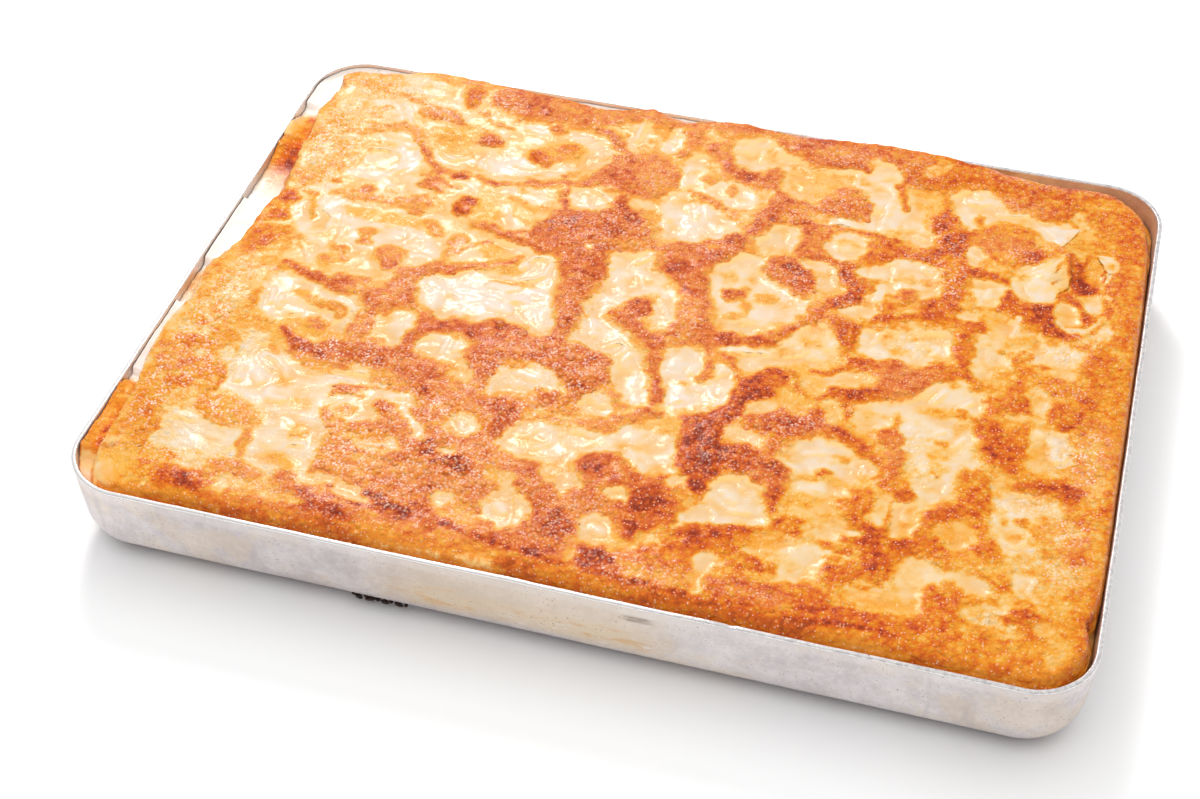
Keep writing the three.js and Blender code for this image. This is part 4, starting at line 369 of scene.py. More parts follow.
COAT += [
 # --- right
 # the two white strokes here are painted highlights
 E(.12,126,-10,8,7), S(.03,2.2,[(123,-9),(123.4,-14)],0.7), S(.05,2.0,[(134,-9),(133.6,-13)],0.7), E(.56,137,-4,3,3), E(.42,128,-5,3,2), E(.36,125,-22,8,3), E(.44,122,-21,3,1.4), E(.58,133,-20,2.6,3.4), E(.30,134,-28,3,4),
 # the two white strokes here are painted highlights
 E(.52,109,-31,1.8,5), E(.84,108,-40,4.6,5), E(.88,111,-42,2.6,3), E(.62,113,-50,3.6,5), E(.74,113,-54,2.4,2), S(.04,2.2,[(131,-24),(130,-30)],0.8), S(.05,2,[(135,-33),(133,-38)],0.8), E(.46,127,-38,3,1.6), E(.58,129,-39,1.6,1.2), E(.42,126,-45,3,3), E(.40,131,-46,3,2), E(.56,129,-55,2.4,2.6), E(.42,122,-57,3,1.4),
 E(.74,145,-26,4.6,5), E(.68,156,-28,5,5), E(.78,147,-36,4,4), E(.70,155,-34,4,4), E(.78,151,-42,4,4,-30), E(.70,157,-46,4,3,-30), E(.24,155,-15,5,3), E(.64,144,-9,3.6,3), E(.76,154,-9,4,6), E(.22,163,-6,3,6), E(.06,163,-6,1.4,2.4), E(.20,163,-24,3,4), E(.66,172,-10,6,5), E(.58,168,-14,3,3),
 E(.10,172,-26,4,4), E(.10,174,-34,4,4), E(.28,165,-34,4,9), E(.24,170,-42,5,3), E(.48,178,-42,5,3), E(.44,184,-24,5,9,0,2.6), E(.48,186,-38,5,9,0,2.6), E(.62,181,-18,3,3), E(.60,182,-32,2.6,3), E(.40,190,-46,3,6),
 E(.86,167,-52,3.4,2.4), E(.78,162,-53,3,3), E(.86,177,-51,5,3), E(.80,180,-54,5,2.6), E(.76,173,-49,3,2.4), E(.54,164,-47,4,2), E(.32,155,-56,3,6), E(.40,156,-52,2,4),
 # the three thin white strokes here are painted highlights on folds
 E(.62,146,-55,5,4), E(.68,144,-64,6,6), E(.72,136,-73,7,3.6,20), E(.70,131,-82,2.6,7), E(.60,139,-60,2,5), S(.05,1.3,[(136,-47),(134.4,-55),(132,-62)],0.7), E(.14,156,-66,4,4), S(.05,1.3,[(158.6,-60),(158.2,-71)],0.6), E(.24,168,-62,9,5), E(.16,164,-63,3,3), E(.50,172,-68,2.6,2), E(.58,164,-72,2.6,2.6), E(.22,163,-80,5,4), E(.46,158,-74,1.6,3), S(.05,1.2,[(167.4,-77),(166.6,-83)],0.6),
 E(.38,137,-86,6,5), E(.30,146,-85,4,5), E(.54,151,-83,2,4), E(.64,153,-90,5,4), E(.80,111,-92,6,4), E(.76,124,-96,4,4), E(.70,134,-94,3.4,6), E(.60,113,-66,3.6,5), E(.76,119,-70,3.6,4,-20), E(.68,104,-77,4,3.4), E(.68,102,-87,3.4,5), E(.22,112,-83,4,6), S(.52,1.6,[(115.4,-75),(115.6,-88)],0.9), E(.28,123,-82,4,8),
 E(.30,167,-93,7,6), E(.40,180,-72,7,5,0,2.4), E(.36,178,-80,5,4), E(.42,186,-94,6,6,0,2.4), E(.36,178,-92,4,5), E(.64,186,-63,5,3), E(.68,186,-84,3.6,4.4), E(.50,192,-78,3,14), E(.52,188,-56,4,4), E(.46,174,-76,3,4),
 # --- right of the middle
 E(.14,51.5,-55,7.6,4), E(.16,56,-37,6.4,3.6,20), E(.40,63,-26,3,4), E(.42,70,-30,4,2), E(.36,64,-33,3,1.4), E(.34,75,-20,4,5), E(.86,89,-20.5,5,3), E(.74,78,-35,2,5), E(.82,71,-42,7,4), E(.86,64,-45,6,3.4,20), E(.82,88,-43,6,2.6,-28), S(.76,3.2,[(95,-47),(103,-53),(112,-60)]), E(.32,84,-31,5,4), E(.66,89.6,-32,1.4,4), E(.78,88,-28,1.6,1.6), E(.22,96,-32,4,8),
 E(.70,65,-54,3,6), E(.76,70,-72,5,5), E(.84,67,-68,4,3), E(.86,71,-82,3,5), E(.76,64,-76,3,3), E(.74,87,-66.4,2.6,1.8), E(.42,94,-71,6,2.6,-25), E(.40,92,-57,3,1.4), E(.34,103,-66,3,3), E(.62,100,-80,6,3), E(.66,104,-75,3.4,2.4),
 E(.82,79,-97,5.6,4), E(.92,76,-97,2,2), E(.90,82,-99,2.4,2), E(.20,32,-87,3,3), E(.90,36,-66,8,6), E(.92,44,-67,7,5), E(.84,34,-74,4,5), E(.88,41,-84,3,6), E(.84,54,-65,6,5), E(.88,46,-38,3,5), E(.84,52,-28,3,5), E(.78,56,-20,3,4), E(.86,35,-54,7,6), E(.74,31,-58,3,6),
 E(.40,80,-84,5,3), E(.30,86,-80,5,3), E(.36,96,-90,6,3), E(.22,103,-95,4,2), E(.20,92,-96,4,4),
]
AMBER += [
 E(.9,125,-22,8,3), E(.6,127,-45,5,4), E(.6,155,-55,3,7), E(.8,137,-86,6,5), E(.5,123,-82,4,8), E(.8,94,-71,7,3,-25), E(.6,86,-84,14,5), E(.9,70,-30,5,2.4), E(.8,75,-19,4,6), E(.5,166,-36,5,8), E(.4,96,-32,4,8), E(.5,103,-60,3,10),
]
GRAIN += [E(1.0,184,-32,9,22), E(1.0,180,-76,10,10), E(1.0,184,-94,9,8), E(.8,168,-62,9,6), E(.8,167,-93,8,7), E(.8,164,-125,14,10)]
# patches of a rosy, frothy browning, whose milky pink is partly a painted sheen of the glaze
ROSY_AND_SHEEN = [E(1.0,108,-8,14,12), E(.8,112,-46,6,12), E(.9,70,-42,16,8), E(.8,66,-72,10,16), E(.7,186,-32,8,20), E(.6,182,-74,9,8), E(.6,184,-92,8,8), E(.6,30,-134,26,8), E(.5,72,-132,14,6), E(.6,60,93,14,12), E(.7,103,55,8,12), E(.8,135,90,12,8), E(.5,140,118,14,6)]
# where the browning froths into pale bubbles, drawn as a pale web that is largely painted glints
FROTH_AND_GLINT = [E(1.0,185,-34,7,18), E(1.0,181,-72,8,6), E(1.0,183,-93,8,8), E(.7,168,-62,9,6), E(.7,30,-134,20,7), E(.8,-42,-124,9,9), E(.8,-80,-110,20,9), E(.7,70,-133,12,4), E(.7,-130,-132,28,4), E(.8,70,-40,12,6), E(.6,66,-52,5,10)]
COAT += [
 # --- left, lower half
 E(.40,-176,-28,10,22,0,4), E(.38,-174,-46,10,10,0,4), E(.62,-180,2,4,6), E(.42,-186,-4,3,6), E(.40,-170,-8,5,7), E(.60,-163,-32,1.6,3.6,20), E(.30,-168,-20,4,8), E(.28,-172,-38,4,6), E(.56,-184,-34,2.4,4), E(.50,-166,-54,5,3),
 E(.62,-177,-61,6,2.6), E(.66,-178,-66,4,2), E(.46,-168,-63,5,3), E(.72,-180,-75,7,3.6), E(.66,-173,-73,4,2.6), E(.52,-166,-76,4,8), E(.62,-174,-86,4,3), E(.48,-184,-88,4,4), S(.62,1.8,[(-158,-62),(-157,-74),(-157.6,-88)],1), E(.40,-163,-88,4,4), E(.34,-152,-92,8,3), E(.34,-186,-56,3,8),
 E(.46,-160,-9,3,2.4), S(.76,3.4,[(-159,-5),(-153,-8),(-150,-10)],1.2), S(.80,3.6,[(-150,-9),(-142,-11),(-134,-14),(-131,-16)],1.4), E(.86,-131,-11,4,2.6), E(.88,-137,-12,3,1.8), E(.54,-121,-11,4,4), E(.42,-117,-8,3,3),
 E(.46,-145,-23,5,2,-14), S(.52,2.2,[(-141,-22),(-137,-26),(-133,-29)],1), E(.62,-129,-26,5,2.4), E(.24,-131,-29,2,1.4), S(.58,2.4,[(-124.6,-27),(-124,-31),(-126,-34)],1), E(.70,-134,-38.6,4.8,3), E(.80,-133,-40,3,1.4), E(.50,-146,-36,1.6,1.6), G(.38,[(-146,-40),(-134,-43),(-124,-41),(-121,-46),(-130,-48),(-140,-46)],1.6),
 E(.54,-151,-46,5,2.6,-30), S(.84,4,[(-146,-45),(-141,-49),(-136,-52)],1.4), E(.92,-132,-53,6,3,-12), E(.90,-139,-50,3,2), E(.76,-120,-52,6,5), E(.82,-112,-50,5,4), E(.60,-117,-40,3.6,7), E(.56,-116,-28,3.4,6), E(.70,-113,-17,4,4), E(.60,-110,-22,2,2.4),
 E(.10,-150,-68,8,10), E(.34,-144,-58,4,4), E(.08,-144,-66,5,3,-20), E(.34,-134,-72,4,5,30), E(.10,-128,-66,8,3), E(.60,-124,-64,7,1.8), E(.66,-119,-61,3,1.6), E(.74,-116,-76,3.6,3), S(.70,2.2,[(-119,-75),(-110,-72),(-102,-70)],1), E(.06,-135,-84,5,4), E(.36,-124,-84,3.4,8), E(.44,-113,-90,1.6,5), E(.30,-108,-84,4,4), E(.40,-157,-92,5,3),
 # --- left, upper half
 E(.34,-172,66,9,16,0,4), E(.34,-170,96,10,10,0,4), E(.48,-181,104,4,5), E(.50,-180,82,3,8), E(.50,-177,74,3,2), E(.46,-163,88,6,5), E(.26,-163,88,3.8,3.2), E(.52,-150,102,7,1.8), E(.46,-140,101,5,2), S(.52,4.6,[(-146,103),(-138,98),(-132,91)],1.6), S(.76,3.2,[(-131,89),(-127,84),(-122,78),(-118,74)],1.2), E(.58,-114,74,4,2.6), E(.80,-107,73,3.4,3), E(.72,-118,73,3,2.6),
 G(.34,[(-130,88),(-126,98),(-120,106),(-112,110),(-104,104),(-112,92),(-120,84)],2.2), E(.70,-104,103,5,4), E(.46,-118,100,3,5,-30), E(.12,-112,86,5,3,-20), E(.60,-160,54,3,2), E(.42,-158,70,4,6), E(.46,-166,62,3,5), E(.50,-174,54,6,3), E(.20,-146,76,8,10),
 E(.68,-118,66,4,3), E(.78,-116,61,4,1.8), S(.72,1.1,[(-122,69),(-114,67),(-105,64)],0.7), E(.70,-145,53,3,2.6), S(.46,4,[(-158,46),(-146,48),(-134,48),(-122,47)],1.6), E(.54,-117,50,4,3), E(.56,-118,44,4,3), E(.52,-108,35,6,3,-30), E(.56,-104,31,4,2), E(.92,-98,53,5,5.4),
 E(.52,-166,43,3,2), S(.56,2.2,[(-164.6,38),(-162,32),(-160.6,26)],0.9), G(.38,[(-150,38),(-130,40),(-118,38),(-113,32),(-130,31),(-145,33)],1.8), E(.42,-133,23,4,4), E(.60,-132,17.6,3,2.4), G(.60,[(-127,14),(-121,18),(-115,16),(-112,8),(-118,5),(-125,9)],1.4), E(.82,-176,37,3.6,3.6), E(.58,-181,40,3,3), E(.70,-176,25,4,4), E(.60,-166,13,6,2), E(.66,-178,10,5,4), E(.24,-150,20,10,8), E(.60,-140,10.6,3,1.2),
]
AMBER += [E(.8,-118,98,10,10), E(.9,-132,36,18,4), E(.8,-134,-43,12,5), E(.6,-134,-72,5,6,30), E(.7,-146,-22,6,3), E(.8,-186,-6,3,8), E(.5,-124,-84,4,9), E(.7,-120,12,6,6), E(.6,-165,34,4,10)]
GRAIN += [E(1.0,-176,-40,10,50), E(1.0,-172,80,12,34), E(.9,-138,47,22,4), E(.8,-116,-30,5,24)]
FROTH_AND_GLINT += [E(1.0,-176,-34,9,26), E(.9,-172,-74,12,14), E(1.0,-172,80,11,32), E(.9,-138,48,20,3), E(1.0,-118,-50,10,9), E(1.0,-116,-32,4,14), E(.9,-122,-11,5,4), E(.8,-104,103,6,5), E(.8,-108,2,8,12), E(.7,-138,99,8,5)]
COAT += [
 # --- middle
 E(.20,-62,-51,3.6,2.6), E(.80,-57,-45,2.6,6), E(.44,-74,-31,4,2), E(.82,-92,-47,5,2.6), E(.80,-80,-53,5,3), E(.56,-92,-64,8,4), E(.84,-76,-66,3,2.6), E(.48,-98,-60,4,3), E(.74,-89,-78,4,3.2), E(.60,-90,-75.6,3,1.2), E(.72,-83,-88,5,3), E(.62,-80,-85,3,1.6), G(.42,[(-97,-100),(-93,-94),(-86,-92.6),(-80,-96),(-79,-101)],1.4),
 E(.66,-70,-74,4,4), E(.58,-64,-72,4,4), E(.18,-56,-76,5,3.6), E(.66,-48,-75,3,2), E(.88,-41,-76,3,6), E(.84,-43,-66,5,4), E(.86,-49,-66,4,2.4), E(.24,-32,-67,3,2), E(.30,-28,-64,4,2), S(.66,2.6,[(-20,-62),(-11,-66),(0,-62)],1.1), E(.18,-11,-55,4,4), E(.62,-2,-47,3,2), E(.42,-6,-44,3,4), E(.90,-1,-88,5,4), E(.84,-4,-85,3,3), E(.34,-13,-92,6,4), E(.52,-32,-58,2.6,2), E(.50,-46,-41,5,1.6), E(.42,-43,-39,3,1),
 E(.74,-77,96,6,4.8), E(.66,-72,92,3,3), E(.48,-66,99,9,3.6), E(.52,-58,87,3,3), E(.90,-62,85,1.6,1), E(.60,-22,94,8,11,0,3), E(.70,-27,88,3,5), E(.48,-20,103,6,3), E(.74,-38,42,4.6,4), E(.54,-38,42,2.4,2), E(.62,-37,28,2.6,2.2), E(.62,-38,20,2.6,2.2), E(.58,-19,46,6,4), E(.70,-13,50,3,1.6), E(.50,-23,42,3,2),
 G(.42,[(-84,30),(-76,32),(-70,27),(-74,22),(-82,22)],1.4), E(.52,-78,23,6,3), S(.54,3,[(-92,13),(-82,15),(-74,19),(-67,23)],1.2), E(.52,-93,29,4,4), E(.60,-88,42,4,3), E(.56,-95,20,2.4,5,-20), E(.46,-66,16,6,3), E(.44,-75,61,8,2.4,-30), E(.36,-72,52,7,3,-40), E(.46,-68,40,3,1.4), E(.30,-90,60,4,4), E(.40,-77,70,3,2), E(.46,-72,58,2,1.4), E(.36,-62,8,10,2),
]
AMBER += [E(.9,-88,-97,9,4), E(.9,-77,26,8,5), E(.7,-66,14,8,3), E(.7,-72,54,9,4,-40), E(.5,-64,98,10,4), E(.6,-10,-90,10,4)]
FROTH_AND_GLINT += [E(1.0,-66,-72,8,6), E(.7,-92,-64,9,5), E(.8,-16,46,8,4), E(.6,-22,94,9,11), E(.6,-36,-4,6,14), E(.7,-92,26,6,8)]
COAT += [
 # --- right of the middle, upper half
 E(.56,43,28,5,2.4), E(.44,34,31,2.4,3), E(.46,32,13,4,2.2), E(.40,37,20,3,3), E(.30,26,36,4,5), E(.02,36.6,10.4,1.2,1.8), E(.12,58,55,6,2.6,-10), E(.14,65.6,45,3.6,6), S(.82,6,[(72,57),(73,50),(78,44),(79,37),(71,33)],1.4), E(.90,73,53,3,3), E(.66,101,46,5,4), E(.62,93,35,3,3), E(.60,101,39,4,2),
 G(.78,[(70,24),(78,22),(86,23),(85,14),(84,6),(80,6),(76,14)],1.4), E(.24,67,10,7,7), E(.70,65.7,3.6,0.9,0.8,0,0.5), S(.06,3.4,[(33,-8),(42,-6),(50,-7.4)],1.0), E(.22,60,-4,8,5,20), E(.32,66,-10,4,3), S(.76,2.4,[(71,-12),(77,-10.6),(84,-7),(92,-4)],1.1), E(.16,89,-11,6,2.6,25), E(.60,14,10,5,12,0,3), E(.56,12,-6,6,4), E(.74,11,-5,3,2), E(.52,30,-14,3,2),
 E(.90,50,50,5,4), E(.86,57,41,4,4), E(.70,44,46,4,3), E(.86,22,63,4,3), E(.62,14,56,5,4), E(.80,17,50,5,3), E(.74,12,30,6,5), E(.82,10,42,4,3), E(.66,64,26,3,5), E(.58,60,18,3,3), E(.30,97,16,3,5), E(.06,95,10,1.6,4),
 # --- back, right of the middle
 G(.16,[(8,128),(14,134),(20,138),(26,134),(30,128),(38,121),(46,120),(40,118),(30,115),(24,116),(16,115),(9,120)],1.4), E(.24,22,125,5,6), G(.34,[(34,122),(46,119),(58,116),(62,112),(56,106),(48,100),(38,98),(36,108)],1.8), E(.16,44,104,4,5,-30), E(.18,42,112,4,3), E(.34,62,118,10,3), E(.14,64,123.4,6,2.6,10), G(.12,[(69,122),(72,130),(78,133),(82,128),(84,121),(78,117),(72,118)],1.6),
 S(.78,2.4,[(40,126.4),(50,124.8),(58,127),(66,128.4),(69,125)],1.0), E(.64,54,134,13,5), E(.72,62,138,4,4), E(.80,38,139,2,5), E(.66,88,132,4,12), E(.80,89,130,3,3), S(.74,3,[(84,119),(88,111),(90,103)],1.1), G(.34,[(92,120),(104,117),(104,104),(96,102),(92,108)],1.8), E(.14,96,112,3,2.6), E(.14,95,98,3,6), E(.66,64,106,6,5), E(.74,66,96,7,4), E(.62,58,100,4,5), E(.80,73,96,2,6), E(.10,65,85.6,7,2.4), E(.36,56,86,3,2.6), S(.80,1.8,[(44,80.6),(54,82),(62,83),(72,82.4),(84,81.4),(92,80)],0.9),
 E(.60,44,88,6,5), E(.54,40,84,4,3), E(.84,52,78,3,6), E(.70,55,72,4,5), E(.84,33,84,3,6), E(.80,30,78,3,4), E(.74,36,94,3,4), E(.86,17,107,5,4), E(.68,30,111,2.6,7), E(.78,86,76,5,4), E(.70,93,73,4,4), E(.74,84,68,4,4), E(.22,70,71,6,6), E(.60,13,94,2.4,3.4), S(.72,2.2,[(4,87),(11,83)],1), E(.62,17,78,1.8,1.4), E(.66,2,118,3,4),
 S(.92,1.2,[(40,143.6),(50,145),(60,147),(72,148.4)],0.7), S(.80,1.2,[(5,144),(14,143.4),(30,143)],0.7), E(.46,100,140,4,4), E(.40,98,132,5,3,30),
 # --- right, upper half
 E(.42,102,98,3,9), E(.14,101,84,4,6), E(.80,106,97,3,8), E(.62,122,104,2,4), E(.14,118,103,2.4,5,20), E(.60,137,103,9,4), E(.66,116,62,4,10,0,3), E(.58,113,72,6,5), E(.16,124,80,3.6,7), E(.48,129,76,2.6,5), E(.50,136,82,6,4), E(.74,145,84,5,4), E(.62,140,78,4,3), E(.80,150,88,3,3), E(.60,125,90,4,4),
 # the white strokes and small white spots here are painted highlights
 G(.14,[(126,64),(137,64),(141,62),(138,56),(137,48),(130,47),(127,54)],1.4), E(.46,107,56,3,2), E(.40,100,55,2,3), E(.34,106,48,3,2), G(.36,[(133,46),(144,44),(150,38),(152,28),(146,22),(138,24),(136,34)],2), E(.20,141,30,3,8), S(.03,1.8,[(147,44),(146.8,38),(149,33)],0.7), S(.08,1.4,[(142,38),(146,31)],0.7), E(.16,136,14,5,10), E(.02,117.8,14,1.2,1.8), E(.06,107,13,2,2), E(.26,110,22,6,4), E(.22,104,10,5,3),
 # the two small white spots here are painted highlights
 E(.76,153.4,21,3.2,3.2), E(.46,152.6,21,1.4,1.4), E(.62,145,21,2.6,1.2), E(.58,160,16,4,2), E(.18,168,25,7,5), E(.04,163,26,1.8,1.6), E(.05,172,27,1.8,1.4), E(.50,175,34,5,4), E(.60,172,6,7,4), E(.44,146,7,4,5), E(.58,188,16,6,12), E(.70,184,22,4,4), E(.40,155,30,3,5), E(.46,163,32,3,3), E(.62,130,18,4,5), E(.76,129,12,3,3), E(.78,126,27,2.6,4), E(.80,131,33,4,3.4), E(.66,124,34,3,3), E(.16,128,38,4,3),
 # --- the torn place
 E(.46,155,93,5,3.6), E(.40,150,97,3,3), G(.07,[(143,110),(149,111),(158,109.4),(166,110.6),(164,105),(161,99),(159,95.5),(155,97),(151,100),(148,104)],1.0), E(.12,140,109,6,3.6), E(.30,170,106,4,3), E(.52,177,102,6,4), E(.26,166,113,3,2.4),
 G(.46,[(164,105),(161,99.4),(159.6,95.6),(162,94),(166,94.6),(169.8,95),(168.4,100),(166.4,104)],0.8), E(.74,162.6,98.8,1.8,0.8,20,0.5), G(.32,[(162.6,94.4),(168.4,93.6),(169.4,89),(167,86.6),(164.4,88)],0.9),
 G(.86,[(163.6,90),(166,87),(168,86),(170,89),(171,93),(174,91),(176.4,86),(176.4,78),(175,72),(173,67),(169,65.6),(166.4,70),(165,78),(163.6,85)],0.9), G(.64,[(170.4,93.4),(174,92),(176.2,86),(176,79),(173,74.6),(171,80),(170.4,87)],1.0), E(.95,169.6,73,2.6,5,0,1.2), E(.90,172,69,3,2), E(.44,174,76.6,1.4,2.4),
 E(.62,167,62,4,5), E(.76,168.6,60,3,3), G(.14,[(141,66),(143,60),(148,57),(154,55.5),(158,57),(161,62),(161,66),(160.5,71),(162,75),(163,80),(163,86),(162,91),(159,88),(154,84),(149,79),(143,73)],0.9), G(.30,[(160.6,91),(163.2,91),(164.6,84),(166,76),(165.4,68),(162,66),(160.8,72)],0.8), E(.24,146,68,3,6,20), E(.22,152,58.4,4,1.2), E(.24,157,80,3,4),
 # the stroke of value 0 here is a painted highlight on the flake
 S(.66,0.9,[(161,85.4),(159.6,82),(158.2,78)],0.45), G(.62,[(156.4,68.4),(157.6,70),(160.4,73.8),(159.8,71),(158.4,69.6)],0.4), S(.0,1.5,[(153.2,60.4),(155,61),(157,63.6),(158.6,66.4)],0.5),
 # the white strokes along the curl's top and down its side are painted highlights
 G(.14,[(174.5,93.4),(176,95),(180,94.8),(183,92.8),(184.6,89),(184.2,85),(181,83),(178.6,85),(177.6,89),(175.4,91)],0.7), E(.48,181,88,2,3,20,0.8), S(.02,1.1,[(174.6,93),(178,94.4),(182,94.4)],0.5), S(.04,1.4,[(179.5,84.4),(180.6,80.6),(180.6,77)],0.5), S(.32,1.0,[(177.6,86),(178.2,80),(179.6,73)],0.5), S(.84,0.8,[(178.6,86),(179,80),(180.2,75)],0.4),
 # the tiny white spot and the white crescent here are painted highlights
 S(.34,1.3,[(180,72),(183,66),(185.6,60),(187,52),(188,45)],0.6), S(.78,1.0,[(181.4,72),(184.6,66),(187,60),(188.6,52),(189.6,45)],0.5), E(.12,177,60.4,3.2,4.4), E(.36,173,64,2.4,2.4), S(.76,3.6,[(167,64),(171,58),(175,51)],1.2), G(.30,[(162,60),(168,59),(171,55),(173,48),(168,43),(164,44),(161.6,50)],1.2), E(.46,170,44.6,2,1.4), E(.03,169,52,1.1,1), S(.08,2.8,[(168,41),(173,42.6),(178,47),(181,52)],0.9), S(.20,2.4,[(176,37),(180,42),(184,48)],1.0), E(.64,179,49,2,4,-30),
 E(.90,156,50,4,6), E(.84,164,39,4,2.4,-20), E(.74,148,49,4,3), E(.56,190,60,4,14), E(.68,192,52,3,6), E(.62,186,76,5,6), E(.56,190,90,4,8), S(.98,0.9,[(195.4,80),(196.4,73),(196.2,67)],0.4), S(.90,0.8,[(193.6,78),(194.6,71)],0.4), E(.64,187,32,4,6), S(.36,1.2,[(186,36),(190,32),(194,27)],0.6),
]
AMBER += [E(1,165,100,4.6,5.6), E(1,173.4,84,2.6,8), E(.8,166,91,3,4), E(.8,164,78,2.4,12), E(.8,181,88,2.4,3), E(.35,167,52,5,7), E(.5,142,35,8,9), E(.7,48,109,12,9,-30), E(.5,62,118,12,3), E(.7,98,111,6,8), E(.7,102,98,3,10), E(.5,67,10,7,8), E(.4,66,-8,8,4), E(.5,187,52,2,10)]
FROTH_AND_GLINT += [E(1,116,60,6,14), E(.8,144,84,7,5), E(.6,155,92,5,4), E(.8,60,134,14,6), E(.7,64,100,9,10), E(.7,44,88,7,6), E(.7,14,8,6,16), E(1,169,25,8,5), E(.9,175,34,5,5), E(.8,172,5,9,6), E(.6,90,132,8,10), E(.8,73,50,5,12), E(.8,76,35,8,4), E(.7,17,54,10,7), E(.7,48,46,9,8), E(.6,135,118,14,6), E(.7,106,92,6,12)]
GRAIN += [E(.9,168,25,8,5)]
COAT += [
 # --- left, lower half once more
 E(.34,-176,-30,9,16,0,3), E(.10,-155,-27,5,9,0,2), E(.16,-150,-34,4,5), E(.40,-140,-24,8,3,-25), E(.56,-133,-27,5,2.4), E(.50,-126,-31,2,3), G(.42,[(-158,-41),(-150,-41.4),(-141,-37),(-131,-39),(-127,-42),(-124,-46),(-134,-48),(-141,-53),(-144,-60),(-149,-60),(-148,-52),(-154,-46)],1.4),
 S(.86,4.2,[(-145,-45),(-139,-50),(-131,-54),(-122,-54.6)],1.2), S(.78,6.4,[(-120,-54),(-110,-50.6),(-98,-49.6)],1.6), G(.60,[(-140,-56),(-124,-58),(-112,-58),(-108,-62),(-118,-66),(-128,-66),(-134,-62)],1.4), E(.44,-124,-63,5,2),
 G(.14,[(-156,-50),(-150,-50),(-147,-58),(-142,-62),(-132,-63),(-126,-66),(-118,-68),(-112,-74),(-112,-82),(-106,-92),(-108,-98),(-112,-104),(-112,-116),(-118,-121),(-130,-118),(-134,-104),(-130,-97),(-120,-94),(-128,-90),(-138,-90),(-148,-84),(-156,-78),(-157,-64)],1.8),
 # the white spot, the two white shapes and the two white streaks here are painted highlights
 E(.04,-146,-76,4,5,0,2), G(.0,[(-139,-78),(-138,-84),(-135.5,-87),(-131,-86),(-127,-82),(-130,-83.6),(-134,-83),(-136.6,-80)],0.5), G(.0,[(-149,-62.4),(-145,-60.8),(-140.6,-61.6),(-138,-63.6),(-142,-63.2),(-146,-64)],0.5), S(.02,1.6,[(-137,-66),(-134.6,-69),(-132.6,-73)],0.6), S(.06,1.8,[(-119,-63),(-110,-63.4),(-100,-65.6),(-92,-67)],0.7), E(.30,-133,-74,3.4,3.6), E(.22,-102,-66,8,1.6,-8,1), E(.30,-121,-85,5,4),
 E(.36,-116,-101,4.4,5,0,2), E(.40,-118,-117,6,2.4), G(.14,[(-168,-102),(-158,-99),(-144,-102),(-138,-106),(-135,-113),(-137,-120),(-146,-123),(-158,-124),(-167,-118),(-170,-110)],1.8), S(.02,1.1,[(-152,-104),(-146,-106),(-141,-110)],0.6), S(.02,1.0,[(-160,-112),(-154,-114),(-150,-118)],0.6), S(.04,1.0,[(-123,-100),(-119,-106),(-116,-110)],0.6),
 E(.56,-178,-74,8,5,10,1.8), E(.66,-174,-76,4,3), E(.70,-170,-85,3,4), E(.52,-162,-80,4,9,0,2), E(.46,-150,-93,14,3.6,-4,1.6), E(.50,-148,-101,11,5,-14,1.8), E(.56,-135,-111,2.4,6,0,1.2), E(.36,-168,-94,6,5), E(.52,-180,-104,6,9,0,2), E(.62,-179,-104,2.4,5), E(.46,-166,-126,12,4), E(.56,-132,-126,13,3.6,-4), E(.24,-150,-122,6,2.4), E(.64,-112,-126,6,5), E(.50,-103,-93,5,3,-30), E(.60,-98,-106,7,10,0,2.4), E(.44,-102,-84,5,4), E(.60,-108,-90,2.4,6,35),
]
AMBER += [E(1,-138,-43,12,5,-6), E(.9,-145,-54,4,8,20), E(1,-116,-101,5,6), E(1,-118,-117,8,3.4), E(.5,-133,-74,4,4), E(.4,-126,-88,10,8)]
FROTH_AND_GLINT += [E(1,-150,-97,16,9,-10), E(1,-176,-70,10,40), E(.9,-162,-80,6,12), E(1,-116,-54,26,7,6), E(.8,-130,-61,10,5), E(1,-98,-106,9,12), E(.8,-150,-127,34,6), E(.9,-178,-104,9,14), E(.7,-112,-38,5,16)]
ROSY_AND_SHEEN += [E(.8,-116,-54,26,7,6), E(.7,-112,-36,6,18), E(.6,-178,-74,10,8), E(.8,-98,-106,9,12)]

